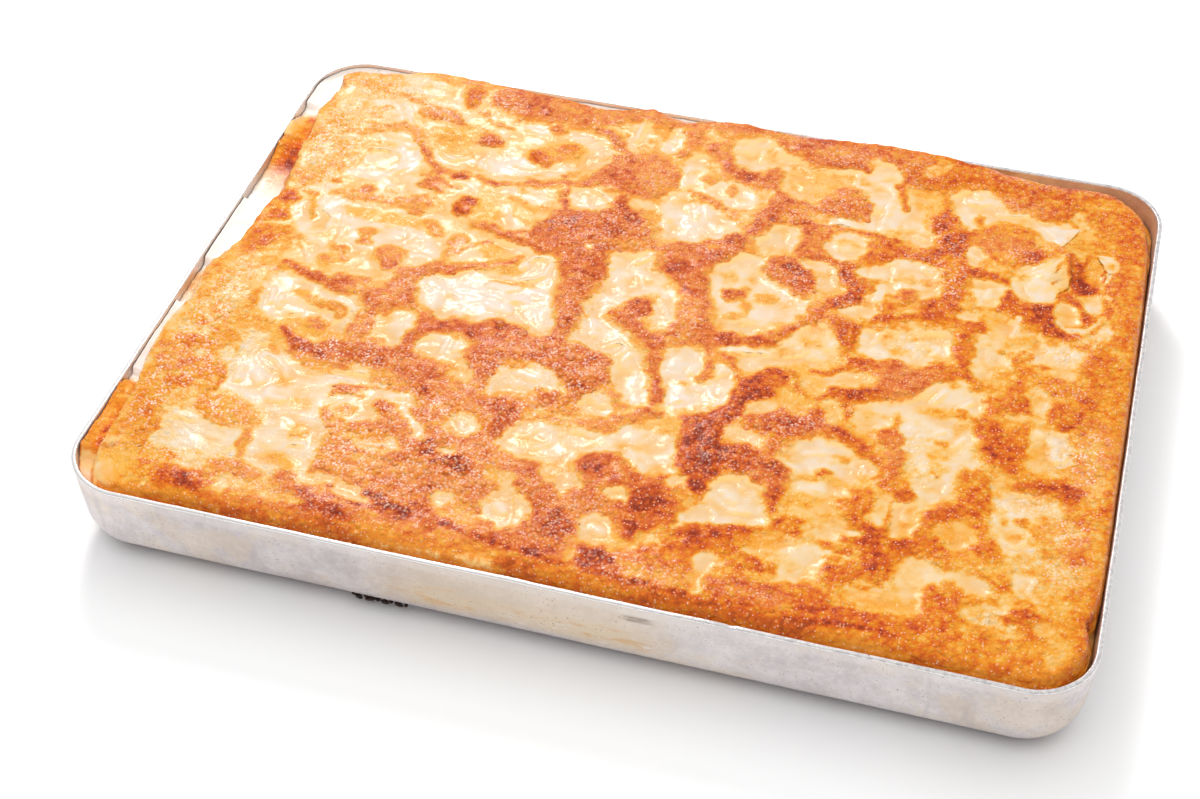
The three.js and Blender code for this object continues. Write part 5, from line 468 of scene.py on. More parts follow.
COAT += [
 G(.22,[(162,60),(167,60),(171,55),(172,47),(168,43),(164,44),(161.6,50)],1.2), S(.80,5,[(163.6,90),(166,82),(168,75),(171,70)],1.2), S(.90,4,[(167,78),(170,73),(173,70)],1.0), S(.44,4.4,[(173,91),(175,84),(175.4,76)],0.9), S(.60,1.0,[(172,60),(170,64),(167,66)],0.6),
 # the pale strokes and small white spots here are painted highlights
 S(.10,1.6,[(163,46),(168,41.6),(173,42.6),(178,47),(181,54)],0.7), S(.10,1.4,[(184,47),(181.4,40),(179.6,34)],0.6), E(.06,165,27,2.4,2,0,1), E(.08,172,27,2.4,2,0,1), E(.12,146,36,1.8,6,10,1),
]
COAT += [
 # --- middle once more
 G(.16,[(-34,-71),(-26,-69),(-12,-69.4),(4,-68),(10,-72),(12,-77),(4,-78),(-5,-80),(-8,-88),(-14,-90.6),(-30,-90.6),(-40,-86),(-37,-78)],1.6), E(.08,-14,-75,9,3,0,2), E(.22,-26,-82,6,5), S(.62,2.6,[(-21,-62),(-13,-65.4),(-4,-66),(4,-63.4),(9,-58),(15,-54.4)],1.0), E(.34,-18,-64,6,1.6,-10,1), E(.10,-5,-54,4,6,15,1.6), E(.44,-20,-66.6,7,1.4,0,1),
 # the white stroke at the dimple's near edge and the white spot here are painted highlights; the golden patch on the
 # dimple's far wall is painted shade
 E(.42,-87,-95,6,3.2,0,1.2), S(.04,1.3,[(-93,-99.4),(-85,-98.6),(-79,-95.6)],0.6), E(.36,-35,-103,5,2.4,-20,1.2), E(.20,-14,-96,5,3.4,-30), S(.76,5.4,[(-24,-104),(-17,-108),(-13,-113)],1.4), E(.03,-28,-119,2.2,2.6,0,1), S(.36,1.2,[(-25,-108),(-22.6,-114),(-20.6,-120)],0.6), E(.93,-50,-100,5.4,2.6,-20,1.6), E(.93,-5,-118,5,5.6,0,2), E(.40,-47,-38.6,7,1.3,4,0.9), E(.42,-45,-58.4,3,1.4,0,0.9),
 E(.52,-68,102,11,6,16,2), E(.74,-77.4,96,4.6,3.2,10,1.2), E(.62,-66,105,5,3.4,20,1.2), E(.58,-20,96,8,13,0,2.4), E(.36,-88,51,8,6,-20,2), G(.20,[(-93,14),(-80,18),(-66,26),(-64,33),(-76,35),(-88,31)],1.8), E(.46,-78,26,4.4,5,20,1.6), S(.68,2.6,[(-96,7),(-86,11.4),(-76,15.6),(-65,22.6)],1.0), S(.60,2.2,[(-94,19),(-88,25.4),(-80,31.6)],0.9), E(.12,-84,21,3.4,2.2,30,1), E(.12,-69,30,4.6,2.6,10,1), E(.70,-38,40,3.2,3.8,0,1), E(.26,-38,40,1.3,1.9,0,0.7), E(.56,-21,46,7,3,12,1.6),
 S(.90,2.4,[(-60,-101),(-52,-98.6),(-44,-101)],1), E(.62,-5,40,2,5,0,1.6),
 # --- the front edge
 S(.84,4.4,[(56,-142.4),(68,-144),(80,-145.6),(94,-147)],1.2), S(.92,2.0,[(88,-146),(98,-142.6),(108,-140),(118,-138.8),(125,-140)],0.8), E(.62,110,-145,13,3,-3,1.2), S(.80,1.8,[(120,-141),(130,-144),(142,-146)],0.8), E(.66,150,-145,9,2.4), S(.88,3.6,[(10,-138),(24,-140),(40,-141.6),(56,-142)],1.2), S(.9,2.6,[(-46,-132),(-30,-135),(-14,-137),(4,-139)],1.1), S(.84,3,[(-92,-130),(-76,-132),(-60,-133)],1.1), E(.60,-120,-142,20,2.6,-2,1.2), E(.58,-60,-143,26,2.2,-1,1.2), E(.60,10,-146,22,1.8,-1,1.2),
]
AMBER += [E(1,-68,102,12,7,16), E(1,-88,51,9,6,-20), E(1,-87,-95,7,4), E(.8,-35,-103,6,3), E(1,72,-109,8,5,-10), E(.6,120,-126,14,4), E(.7,140,-86,9,6), E(.5,-14,-96,8,5), E(.6,-78,26,5,5)]
ROSY_AND_SHEEN += [E(1,-20,96,9,14), E(.9,-40,92,10,14), E(.9,-36,34,10,20), E(.9,-50,48,16,12), E(.9,-66,-106,14,9), E(.9,-46,-62,12,14), E(.8,-20,-34,14,10), E(.8,-50,-28,20,8)]
COAT += [
 E(.74,-98.4,53.6,4.6,5.2,0,1.6), E(.82,-97,56.5,2.6,2.4,0,1.2), E(.70,-77,96,4.4,3.2,10,1.2),
 # --- back left
 E(.30,-172,116,9,18,0,4), E(.46,-166,128,12,4,-6,2), E(.42,-175,96,6,10,0,3), E(.16,-150,128,9,3,8,2), E(.48,-147,122,8,2.4,-20,1.6), E(.14,-158,116,6,3,0,2), E(.50,-156,113,3,2,0,1.2), E(.10,-146,112,3,5,-30,1.4), E(.44,-158,94,11,2,14,1.6), E(.20,-155,103,8,2,8,1.4), E(.62,-132,113,6,2.4,-20,1.4), E(.54,-136,118,6,2.2,-25,1.4), E(.20,-136,108,4,2,0,1.2), E(.44,-122,101,8,4.6,10,1.8), E(.36,-114,104,3,6,30,1.4), E(.30,-112,90,7,4,-10,2), E(.68,-120,130,4,8,14,2), E(.50,-130,140,9,3,-8,2),
 E(.30,-178,70,5,10,0,3), E(.44,-170,58,8,4,10,2), E(.40,-165,78,5,4,0,2), S(.62,1.6,[(-124,69),(-116,67),(-106,64)],0.8), E(.66,-120,64,5,3,20,1.6),
]
AMBER += [E(1,-122,101,9,5,10), E(.7,-113,104,3,7,30), E(.5,-104,92,6,4)]
FROTH_AND_GLINT += [E(1,-168,116,16,28), E(1,-168,72,14,22), E(.9,-130,114,12,6,-20), E(.9,-106,128,12,12), E(.8,-150,120,12,12), E(.7,-150,93,20,6)]
ROSY_AND_SHEEN += [E(.7,-168,120,14,20), E(.8,-134,116,10,8), E(.6,-168,60,12,12)]
# where the browning is a clear orange
WARM = [E(1,-98.4,53.6,7,7), E(1,-77,96,7,5), E(1,-65,105,6,4), E(1,-90,-78,5,5), E(1,-48,-77,4,4), E(1,-120,130,5,9), E(.9,-60,-18,3,3), E(1,-49,-21,3.6,3), E(1,-78,-64,4,4), E(1,-16,2,5,4), E(.8,-95,-95,6,5)]

# ---------------------------------------------------------------- painting the browning
# A grid over the crust; places on it are as in the lists above.
GS = 0.6
GX0, GX1, GY0, GY1 = -214.0, 210.0, -166.0, 162.0
gx = np.arange(GX0, GX1 + GS / 2, GS)
gy = np.arange(GY0, GY1 + GS / 2, GS)
GX, GY = np.meshgrid(gx, gy)
# edges wander, in steps down to about a millimetre
WX = GX + 2.0 * perlin(GX / 15, GY / 15, 3) + 1.8 * perlin(GX / 6, GY / 6, 4) + 1.1 * perlin(GX / 2.6, GY / 2.6, 5)
WY = GY + 1.6 * perlin(GX / 15, GY / 15, 13) + 1.6 * perlin(GX / 6, GY / 6, 14) + 1.0 * perlin(GX / 2.6, GY / 2.6, 15)


def window(x0, x1, y0, y1, pad):
    i0 = max(0, int((x0 - pad - GX0) / GS)); i1 = min(len(gx), int((x1 + pad - GX0) / GS) + 2)
    j0 = max(0, int((y0 - pad - GY0) / GS)); j1 = min(len(gy), int((y1 + pad - GY0) / GS) + 2)
    return slice(j0, j1), slice(i0, i1)


WANDER = (WX, WY)
# and are frayed into grains
FRAY = 0.9 * perlin(GX / 2.1, GY / 2.1, 8) + 0.7 * perlin(GX / 1.25, GY / 1.25, 9)
# folds wander less
CALM = (GX + 1.0 * perlin(GX / 9, GY / 9, 6) + 0.5 * perlin(GX / 3.4, GY / 3.4, 7), GY + 1.0 * perlin(GX / 9, GY / 9, 16) + 0.5 * perlin(GX / 3.4, GY / 3.4, 17))


# the second coat keeps nearer to its places
NEAR = (GX + 1.0 * perlin(GX / 8, GY / 8, 26) + 0.9 * perlin(GX / 3.2, GY / 3.2, 27), GY + 1.0 * perlin(GX / 8, GY / 8, 36) + 0.9 * perlin(GX / 3.2, GY / 3.2, 37))


def weight(shape, grow=0.0, softer=1.0, places=None):
    """Where a shape covers the grid: a window and the cover in it, from 0 to 1."""
    WX, WY = places or WANDER
    kind, value = shape[0], shape[1]
    if kind == "e":
        _, _, x, y, rx, ry, turn, soft = shape
        soft *= softer
        r = max(rx, ry) + grow
        w = window(x - r, x + r, y - r, y + r, soft + 6)
        t = math.radians(turn)
        dx, dy = WX[w] - x, WY[w] - y
        u = (dx * math.cos(t) + dy * math.sin(t)) / (rx + grow)
        v = (-dx * math.sin(t) + dy * math.cos(t)) / (ry + grow)
        k = np.hypot(u, v)
        d = (k - 1) * min(rx, ry) * 0.5 + (k - 1) * (rx * ry) ** 0.5 * 0.5
    elif kind == "s":
        _, _, width, pts, soft = shape
        soft *= softer
        p = np.array(pts, float)
        w = window(p[:, 0].min(), p[:, 0].max(), p[:, 1].min(), p[:, 1].max(), width + soft + 6)
        X, Y = WX[w], WY[w]
        d = np.full(X.shape, 99.0)
        for a, b in zip(p[:-1], p[1:]):
            ab = b - a
            t = np.clip(((X - a[0]) * ab[0] + (Y - a[1]) * ab[1]) / (ab @ ab), 0, 1)
            d = np.minimum(d, np.hypot(X - a[0] - t * ab[0], Y - a[1] - t * ab[1]))
        d = d - width / 2 - grow
    else:
        _, _, pts, soft = shape
        soft *= softer
        p = np.array(pts, float)
        w = window(p[:, 0].min(), p[:, 0].max(), p[:, 1].min(), p[:, 1].max(), soft + 6)
        X, Y = WX[w], WY[w]
        d = np.full(X.shape, 99.0)
        inside = np.zeros(X.shape, bool)
        q = np.roll(p, -1, axis=0)
        for a, b in zip(p, q):
            ab = b - a
            t = np.clip(((X - a[0]) * ab[0] + (Y - a[1]) * ab[1]) / max(ab @ ab, 1e-9), 0, 1)
            d = np.minimum(d, np.hypot(X - a[0] - t * ab[0], Y - a[1] - t * ab[1]))
            cross = ((a[1] > Y) != (b[1] > Y))
            inside ^= cross & (X < a[0] + (Y - a[1]) * ab[0] / (ab[1] if abs(ab[1]) > 1e-9 else 1e-9))
        d = np.where(inside, -d, d) - grow
    if places is None:
        d = d + FRAY[w] * min(1.0, soft / 1.6)
    elif places is NEAR:
        d = d + 0.7 * FRAY[w] * min(1.0, soft / 1.6)
    return w, ease(0.5 - d / (2 * soft))


def paint(field, shapes, strength=1.0, softer=1.0, places=None):
    for s in shapes:
        w, k = weight(s, softer=softer, places=places)
        field[w] = field[w] * (1 - k * strength) + s[1] * k * strength


def lighten(field, shapes, softer=1.0, places=None):
    for s in shapes:
        w, k = weight(s, softer=softer, places=places)
        field[w] = np.maximum(field[w], s[1] * k)


# ground colour, from the pale left to the orange right
brown = 0.30 + 0.12 * ease((-GX - 140) / 30) + 0.14 * ease((GX + 100) / 90) + 0.08 * ease((GX - 90) / 40)
brown -= 0.05
brown += 0.16 * fbm(GX / 11, GY / 11, 51, 3)
paint(brown, BROWN)
paint(brown, POOLS)
paint(brown, COAT, 1.0, 0.85, NEAR)
mottle = 0.13 * fbm(GX / 5.0, GY / 4.4, 52, 3) + 0.07 * perlin(GX / 1.7, GY / 1.7, 53)
brown += mottle * (0.45 + 0.55 * ease((brown - 0.16) / 0.2)) * (1 - 0.4 * ease((brown - 0.7) / 0.2))
drift = np.clip(fbm(GX / 10, GY / 7, 57, 3) + 0.05, 0, 1)
brown += 0.30 * drift * (1 - ease((brown - 0.24) / 0.16)) * (0.4 + 0.6 * ease((GX + 80) / 60))
paint(brown, SPOTS)
brown -= 0.02 * ease((brown - 0.48) / 0.16) * (1 - ease((brown - 0.80) / 0.14))
amber = np.zeros(GX.shape)
lighten(amber, AMBER, 2.0)
grain = ease((brown - 0.38) / 0.22)
lighten(grain, GRAIN, 4.0)
grain *= 1 - 0.8 * np.clip(amber, 0, 1) * (brown < 0.62)
brown = np.clip(brown, 0, 1)



def flowing(pts, seed, step=0.6, wobble=0.35):
    """A listed line, rounded and made a little uneven."""
    p = np.array(pts, float)
    for _ in range(2):
        q = np.concatenate([p[:1], np.stack([0.75 * p[:-1] + 0.25 * p[1:], 0.25 * p[:-1] + 0.75 * p[1:]], 1).reshape(-1, 2), p[-1:]])
        p = q
    seg = np.concatenate([[0], np.cumsum(np.hypot(*np.diff(p, axis=0).T))])
    n = max(4, int(seg[-1] / step) + 1)
    s = np.linspace(0, seg[-1], n)
    x, y = np.interp(s, seg, p[:, 0]), np.interp(s, seg, p[:, 1])
    x = x + wobble * perlin(s / 3.0, s * 0 + 1.7, 500 + seed) * 2
    y = y + wobble * perlin(s / 3.0, s * 0 + 4.2, 900 + seed) * 2
    return np.stack([x, y], 1)


FOLD_LINES = [(f[1], f[2], flowing(f[3], i)) for i, f in enumerate(FOLDS)]

# where the blisters are large and crowded, and where the browning is rosy rather than orange, the rosy tone being
# partly a painted sheen
BUBBLY = [
    E(1.0,-76,-96,46,34,-6), E(1.0,-34,-44,30,30,10), E(.8,-34,52,26,16), E(.8,-44,112,14,12), E(.9,-100,-50,20,10), E(.7,-24,-8,16,30),
    E(.8,62,96,18,14), E(.6,22,84,14,20), E(.7,-8,-112,20,22), E(.5,66,30,18,30), E(.5,-100,-128,40,12), E(.6,110,72,14,24), E(.45,52,-58,20,22),
]
bubbly = np.zeros(GX.shape)
lighten(bubbly, BUBBLY, 5.0)
rosy_and_sheen = ease((GX + 172 + 0.1 * GY) / 30) * (1 - ease((GX - 14 - 0.25 * GY) / 70))
rosy_and_sheen *= 1 - 0.7 * ease((-GY - 128) / 16)
rosy_and_sheen = np.clip(rosy_and_sheen + 0.25 * fbm(GX / 26, GY / 26, 55, 3), 0, 1)
lighten(rosy_and_sheen, ROSY_AND_SHEEN, 3.0)
warm = np.zeros(GX.shape)
lighten(warm, WARM, 1.6)
rosy_and_sheen *= 0.88 * (1 - 0.9 * warm)
froth_and_glint = np.zeros(GX.shape)
lighten(froth_and_glint, FROTH_AND_GLINT, 3.0)
froth_and_glint = np.maximum(froth_and_glint, 0.8 * bubbly)
froth_and_glint *= 0.45 + 0.55 * ease((fbm(GX / 6, GY / 5, 56, 2) + 0.2) / 0.4)

# ---------------------------------------------------------------- the crust's form
HX, HY = 200.0, 150.0
RIM_R = 26.0
TRAY_H = 40.2
SHEET = 2.0
BEND_R = 18.6
TAPER = 1.5
GAP = 0.32
SHOULDER = 13.0


def inner_inset(z):
    z = np.asarray(z, float)
    r = BEND_R - SHEET
    wall = SHEET + TAPER * (TRAY_H - z) / (TRAY_H - BEND_R)
    s = np.clip((BEND_R - z) / r, 0, 1)
    bend = SHEET + TAPER + r * (1 - np.sqrt(np.clip(1 - s * s, 0, 1)))
    return np.where(z >= BEND_R, wall, bend)


def table(v, pts):
    p = np.array(sorted(pts), float)
    return np.interp(v, p[:, 0], p[:, 1])


# how far the crust has drawn in from the wall of the tray, along each side
LEFT_IN = [(-150, 5), (-138, 8), (-128, 9.5), (-112, 11), (-98, 10.6), (-88, 9.2), (-76, 7.4), (-62, 6.4), (-50, 6.6), (-42, 8.4), (-36, 9.6), (-30, 8.2), (-20, 6.8), (-12, 7.4), (-8, 9.6), (-2, 11.5), (3, 13.0), (12, 13.6), (25, 14.2), (33, 15.6), (41, 18.2), (49, 17.2), (57, 15.8), (66, 14.8), (75, 13.4), (86, 13.8), (94, 12.6), (102, 11.2), (111, 12.8), (119, 14.2), (125, 16.0), (131, 15.0), (137, 11.5), (150, 9.0)]
BACK_IN = [(-196, 8.5), (-186, 9.5), (-175, 10.5), (-160, 9.5), (-146, 7.4), (-139, 6.2), (-120, 6.4), (-100, 7.2), (-80, 7.8), (-58, 8.4), (-48, 7.6), (-36, 6.0), (-28, 7.2), (-20, 8.2), (-6, 7.0), (8, 5.8), (22, 6.6), (34, 7.0), (52, 6.2), (76, 5.4), (100, 5.8), (126, 7.0), (146, 7.4), (158, 6.4), (171, 5.0), (180, 6.0), (190, 7.4)]
RIGHT_IN = [(-150, 1.4), (-137, 2.0), (-126, 1.8), (-119, 2.6), (-115, 4.2), (-111, 2.4), (-100, 0.6), (-80, 0.2), (-60, 0.15), (-30, 0.25), (0, 0.15), (30, 0.2), (60, 0.25), (80, 0.6), (92, 0.9), (102, 1.3), (109, 1.8), (116, 3.0), (125, 5.0), (134, 6.8), (150, 8.5)]
FRONT_IN = [(-200, 3.0), (-180, 1.0), (-160, 0.5), (-100, 0.35), (0, 0.3), (100, 0.3), (160, 0.4), (185, 1.2), (200, 2.0)]
# level at which the crust turns over at its edge
LEFT_Z = [(-150, 37.0), (-138, 39.5), (-126, 42.5), (-112, 44.6), (-95, 45.0), (-60, 45.0), (-30, 44.0), (-8, 43.0), (20, 42.6), (60, 42.4), (100, 42.8), (130, 43.0), (150, 43.4)]
BACK_Z = [(-190, 42.0), (-180, 42.4), (-168, 43.0), (-152, 45.2), (-139, 46.2), (-126, 45.6), (-100, 44.6), (-80, 43.8), (-58, 42.2), (-45, 44.2), (-36, 45.3), (-27, 43.6), (-20, 42.4), (-6, 44.6), (8, 45.6), (22, 44.6), (34, 44.0), (52, 45.2), (76, 46.2), (100, 45.8), (118, 44.2), (130, 42.4), (146, 40.8), (158, 39.6), (171, 38.9), (183, 38.2), (195, 37.6)]
RIGHT_Z = [(-150, 36.8), (-125, 37.4), (-90, 37.8), (-50, 37.8), (0, 37.8), (50, 37.6), (90, 37.4), (110, 37.4), (125, 37.6), (150, 37.6)]
FRONT_Z = [(-200, 36.4), (-160, 36.6), (0, 36.9), (60, 37.0), (140, 36.9), (200, 36.8)]


def by_side(x, y, nx, ny, left, back, right, front):
    l, r = np.clip(-nx, 0, 1) ** 2, np.clip(nx, 0, 1) ** 2
    b, f = np.clip(ny, 0, 1) ** 2, np.clip(-ny, 0, 1) ** 2
    return l * table(y, left) + r * table(y, right) + b * table(x, back) + f * table(x, front)


def draw_in(x, y, nx, ny):
    v = by_side(x, y, nx, ny, LEFT_IN, BACK_IN, RIGHT_IN, FRONT_IN)
    # fine scallops, more on the free edges at the left and back
    free = np.clip(-nx, 0, 1) ** 2 + np.clip(ny, 0, 1) ** 2
    s = np.where(np.abs(nx) > 0.7, y, x)
    v = v + free * (0.55 * perlin(s / 5.5, s * 0 + 3.7, 61) + 0.35 * perlin(s / 2.4, s * 0 + 8.1, 62))
    return np.maximum(v, 0.12)


def edge_level(x, y, nx, ny):
    v = by_side(x, y, nx, ny, LEFT_Z, BACK_Z, RIGHT_Z, FRONT_Z)
    s = np.where(np.abs(nx) > 0.7, y, x)
    return v + 0.25 * perlin(s / 7.0, s * 0 + 1.3, 63)


# swells (+) and hollows (-): x, y, half length, half width, turn, rise
RELIEF = [
    (-139, 132, 24, 16, 0, 3.4), (-95, 130, 22, 12, 0, 1.0), (-36, 134, 13, 12, 0, 2.6),
    (8, 134, 14, 12, 0, 3.0), (38, 134, 14, 12, 0, 1.6), (84, 134, 30, 13, 0, 3.6), (128, 134, 14, 12, 0, 0.6),
    (178, 120, 20, 20, -45, -1.4),
    (-178, -58, 20, 52, 0, 4.8), (-172, 35, 18, 46, 0, -1.2), (-178, 100, 14, 22, 0, 0.8),
    (158, 84, 7, 14, -20, 3.0),
    (-178, -128, 16, 16, 45, -3.0),
    (-28, 92, 22, 10, 28, 1.3), (-62, 74, 34, 8, 4, 1.1), (-44, 50, 34, 12, 0, 1.4),
    (-35, 8, 8, 30, 0, 1.2), (9, -12, 7, 30, 24, 1.1), (40, 12, 44, 7, 14, 1.0),
    (25, 62, 9, 40, -24, 1.1), (52, -58, 24, 26, 0, 1.8), (105, -12, 44, 8, 22, 1.0),
    (-58, -36, 48, 20, -8, 1.6), (-68, -92, 44, 16, -12, 1.5), (4, -92, 30, 14, 18, 1.0),
    (120, -68, 30, 12, 30, 0.8), (-128, -20, 18, 9, 10, 0.9), (-130, -96, 24, 12, -20, 0.9),
    (64, 104, 30, 8, 12, 1.0), (140, 62, 12, 34, 12, 0.9), (165, -20, 9, 42, 0, 0.6),
    (-120, 82, 34, 13, 8, -1.6), (-92, 30, 26, 16, 0, -1.4), (-128, 40, 24, 12, 10, -1.3),
    (-12, 38, 15, 20, 0, -1.6), (44, 40, 20, 12, 10, -1.4), (46, 82, 16, 10, 0, -1.0),
    (88, 78, 24, 12, 8, -1.2), (104, 15, 17, 9, 8, -1.3), (78, -5, 14, 9, 0, -1.0),
    (-8, -60, 26, 12, -10, -1.4), (-20, 6, 7, 18, 0, -0.9), (24, -8, 8, 14, 0, -0.9),
    (-150, -58, 26, 22, 12, -1.8), (-112, -62, 22, 12, 0, -1.2), (88, -60, 24, 18, 12, -1.4),
    (30, -112, 26, 11, -6, -1.0), (-52, -118, 14, 9, 0, -1.1), (120, -104, 22, 12, 0, -0.9),
    (150, 12, 15, 22, 0, -1.0), (170, 76, 11, 15, 30, -3.6), (158, -62, 20, 18, 0, -0.8),
]


def swell(x, y):
    z = 42.6 + 0.5 * np.sin(x / 23 + 0.7) * np.sin(y / 19 + 1.3) + 0.35 * np.sin(x / 11.3 + y / 14.1)
    for cx, cy, a, b, turn, h in RELIEF:
        t = math.radians(turn)
        u = ((x - cx) * math.cos(t) + (y - cy) * math.sin(t)) / a
        w = (-(x - cx) * math.sin(t) + (y - cy) * math.cos(t)) / b
        z = z + h * np.exp(-(u * u + w * w) * 0.9)
    return z


def sample(field, x, y):
    """A grid's value at places on it."""
    u = np.clip((x - GX0) / GS, 0, len(gx) - 1.001)
    v = np.clip((y - GY0) / GS, 0, len(gy) - 1.001)
    i, j = u.astype(int), v.astype(int)
    a, b = u - i, v - j
    return ((field[j, i] * (1 - a) + field[j, i + 1] * a) * (1 - b)
            + (field[j + 1, i] * (1 - a) + field[j + 1, i + 1] * a) * b)


def sight(x, y, z):
    """Where a point of the crust lies in the lists above."""
    return x - 0.2867 * (z - 43), y + 1.0103 * (z - 43)


# --- fine relief on the same grid: browned crust puffs up, pale pools sink and wrinkle
soft_brown = blur(brown, 1.6 / GS)
puff = ease((soft_brown - 0.22) / 0.5)
relief = 1.25 * (blur(puff, 1.6 / GS) - 0.5)
relief += 0.35 * fbm(GX / 9, GY / 9, 71, 3)

# folds of the thin sheet where it is pale: broad swells, and a few long curved creases
qx = GX + 9 * perlin(GX / 30, GY / 30, 81) + 2.4 * perlin(GX / 10, GY / 10, 83)
qy = GY + 9 * perlin(GX / 30, GY / 30, 82) + 2.4 * perlin(GX / 10, GY / 10, 84)
n1 = perlin(qx / 26, qy / 17, 85)
n2 = perlin(qx / 13 + 5, qy / 16, 86)
n3 = perlin(qx / 7.5, qy / 6.5 + 9, 87)
# each crease is steep on one side and slack on the other
f1 = np.clip(1 - np.abs(n1) * 3.4, 0, 1) ** 1.5 * (0.75 + 0.25 * np.sign(n1))
f2 = np.clip(1 - np.abs(n2) * 3.2, 0, 1) ** 1.7
f3 = np.clip(1 - np.abs(n3) * 3.0, 0, 1) ** 2.0
pale = 1 - ease((soft_brown - 0.2) / 0.32)
lively = np.clip(0.45 + 1.5 * perlin(GX / 26, GY / 26, 88), 0, 1)
lively2 = np.clip(0.35 + 1.6 * perlin(GX / 21, GY / 21, 89), 0, 1)
fold = f1 * lively + 0.6 * f2 * lively2 + 0.22 * f3 * np.maximum(lively, lively2)
swellings = fbm(GX / 15, GY / 13, 90, 2)
smooth_here = np.clip(1 - grain, 0, 1)
relief += pale * (0.35 + 0.65 * smooth_here) * ((fold - 0.25) * 0.55 + 0.7 * swellings)
# the listed folds and troughs, each fold with a trough at its foot
crest = np.zeros(GX.shape)
lighten(crest, [("s", st, wd, ln[::2], 1.0) for st, wd, ln in FOLD_LINES], 0.9, (GX, GY))
trough = np.zeros(GX.shape)
lighten(trough, CREASES, 1.2, CALM)
foot = np.maximum(np.roll(crest, -3, axis=0), 0.7 * np.roll(crest, -3, axis=1)) * (1 - crest)
relief += (0.4 + 0.6 * pale) * (0.75 * crest - 0.35 * foot - 0.5 * trough)

# blisters: domes of a few millimetres on the browned crust and the grainy parts
b1, _, w1 = worley(GX / 5.6 + 0.12 * perlin(GX / 4, GY / 4, 91), GY / 5.0, 92)
dome1 = np.sqrt(np.clip(1 - (b1 / (0.30 + 0.22 * w1)) ** 2, 0, 1)) * (w1 > 0.35) * (0.5 + 0.5 * w1)
b2, _, w2 = worley(GX / 3.1, GY / 2.9, 93)
dome2 = np.sqrt(np.clip(1 - (b2 / (0.32 + 0.2 * w2)) ** 2, 0, 1)) * (w2 > 0.25)
rough = ease((soft_brown - 0.4) / 0.25)
patches = 0.55 + 0.6 * fbm(GX / 18, GY / 18, 94, 2)
cover = np.clip(np.maximum(rough, grain * 0.8), 0, 1)
relief += cover * patches * (0.12 + 0.55 * bubbly) * dome1 + cover * 0.20 * dome2
relief += 0.15 * grain * perlin(GX / 1.9, GY / 1.9, 95)
relief += 0.45 * cover * fbm(GX / 5.5, GY / 5.0, 96, 3)
blister = cover * np.maximum(dome1 * bubbly, 0.35 * dome2)
# crests of the pale sheet, whitened: partly the sheet's own paleness, partly a painted highlight
ridge_pale_and_highlight = np.clip(pale * 0.5 * np.clip(fold, 0, 1.4) + crest * (0.35 + 0.65 * pale), 0, 1.2)
# hollows and crests: a golden painted shade is darkened into the hollows
hollow_shade = 0.5 * (blur(relief, 3.2 / GS) - relief) + 0.5 * (blur(relief, 9.0 / GS) - blur(relief, 2.0 / GS))
hollow_shade = hollow_shade + pale * (0.30 * trough + 0.22 * foot)


LIGHT = np.array([-0.80, 1.92, 1.80]) / math.sqrt(0.80 ** 2 + 1.92 ** 2 + 1.80 ** 2)


def painted_lee_glow_of(P):
    """How far each point of a grid faces away from the key light: there a golden glow is painted into the colour,
    standing in for light shining through the thin sheet.
    """
    N = np.cross(np.gradient(P, axis=1), np.gradient(P, axis=0))
    N /= np.maximum(np.linalg.norm(N, axis=-1, keepdims=True), 1e-9)
    N = np.where(N[..., 2:] < 0, -N, N)
    return ease((1 - (N @ LIGHT) / LIGHT[2] - 0.04) / 0.5)


def arrays_to_mesh(name, verts, faces_quads, faces_tris=None):
    """A mesh from millimetre points, quads and triangles."""
    quads = np.asarray(faces_quads, np.int32).reshape(-1, 4)
    tris = np.asarray(faces_tris if faces_tris is not None else [], np.int32).reshape(-1, 3)
    me = bpy.data.meshes.new(name)
    me.vertices.add(len(verts))
    me.vertices.foreach_set("co", (np.asarray(verts, float) * MM).astype(np.float32).ravel())
    nl = quads.size + tris.size
    me.loops.add(nl)
    me.loops.foreach_set("vertex_index", np.concatenate([quads.ravel(), tris.ravel()]).astype(np.int32))
    me.polygons.add(len(quads) + len(tris))
    starts = np.concatenate([np.arange(len(quads)) * 4, quads.size + np.arange(len(tris)) * 3]).astype(np.int32)
    me.polygons.foreach_set("loop_start", starts)
    me.polygons.foreach_set("use_smooth", np.ones(len(quads) + len(tris), bool))
    me.update(calc_edges=True)
    me.validate()
    return me


def put(me, name, values):
    a = me.attributes.new(name, "FLOAT", "POINT")
    a.data.foreach_set("value", np.asarray(values, np.float32))


def add_object(me, material):
    o = bpy.data.objects.new(me.name, me)
    bpy.context.scene.collection.objects.link(o)
    me.materials.append(material)
    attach(o, "root")
    return o


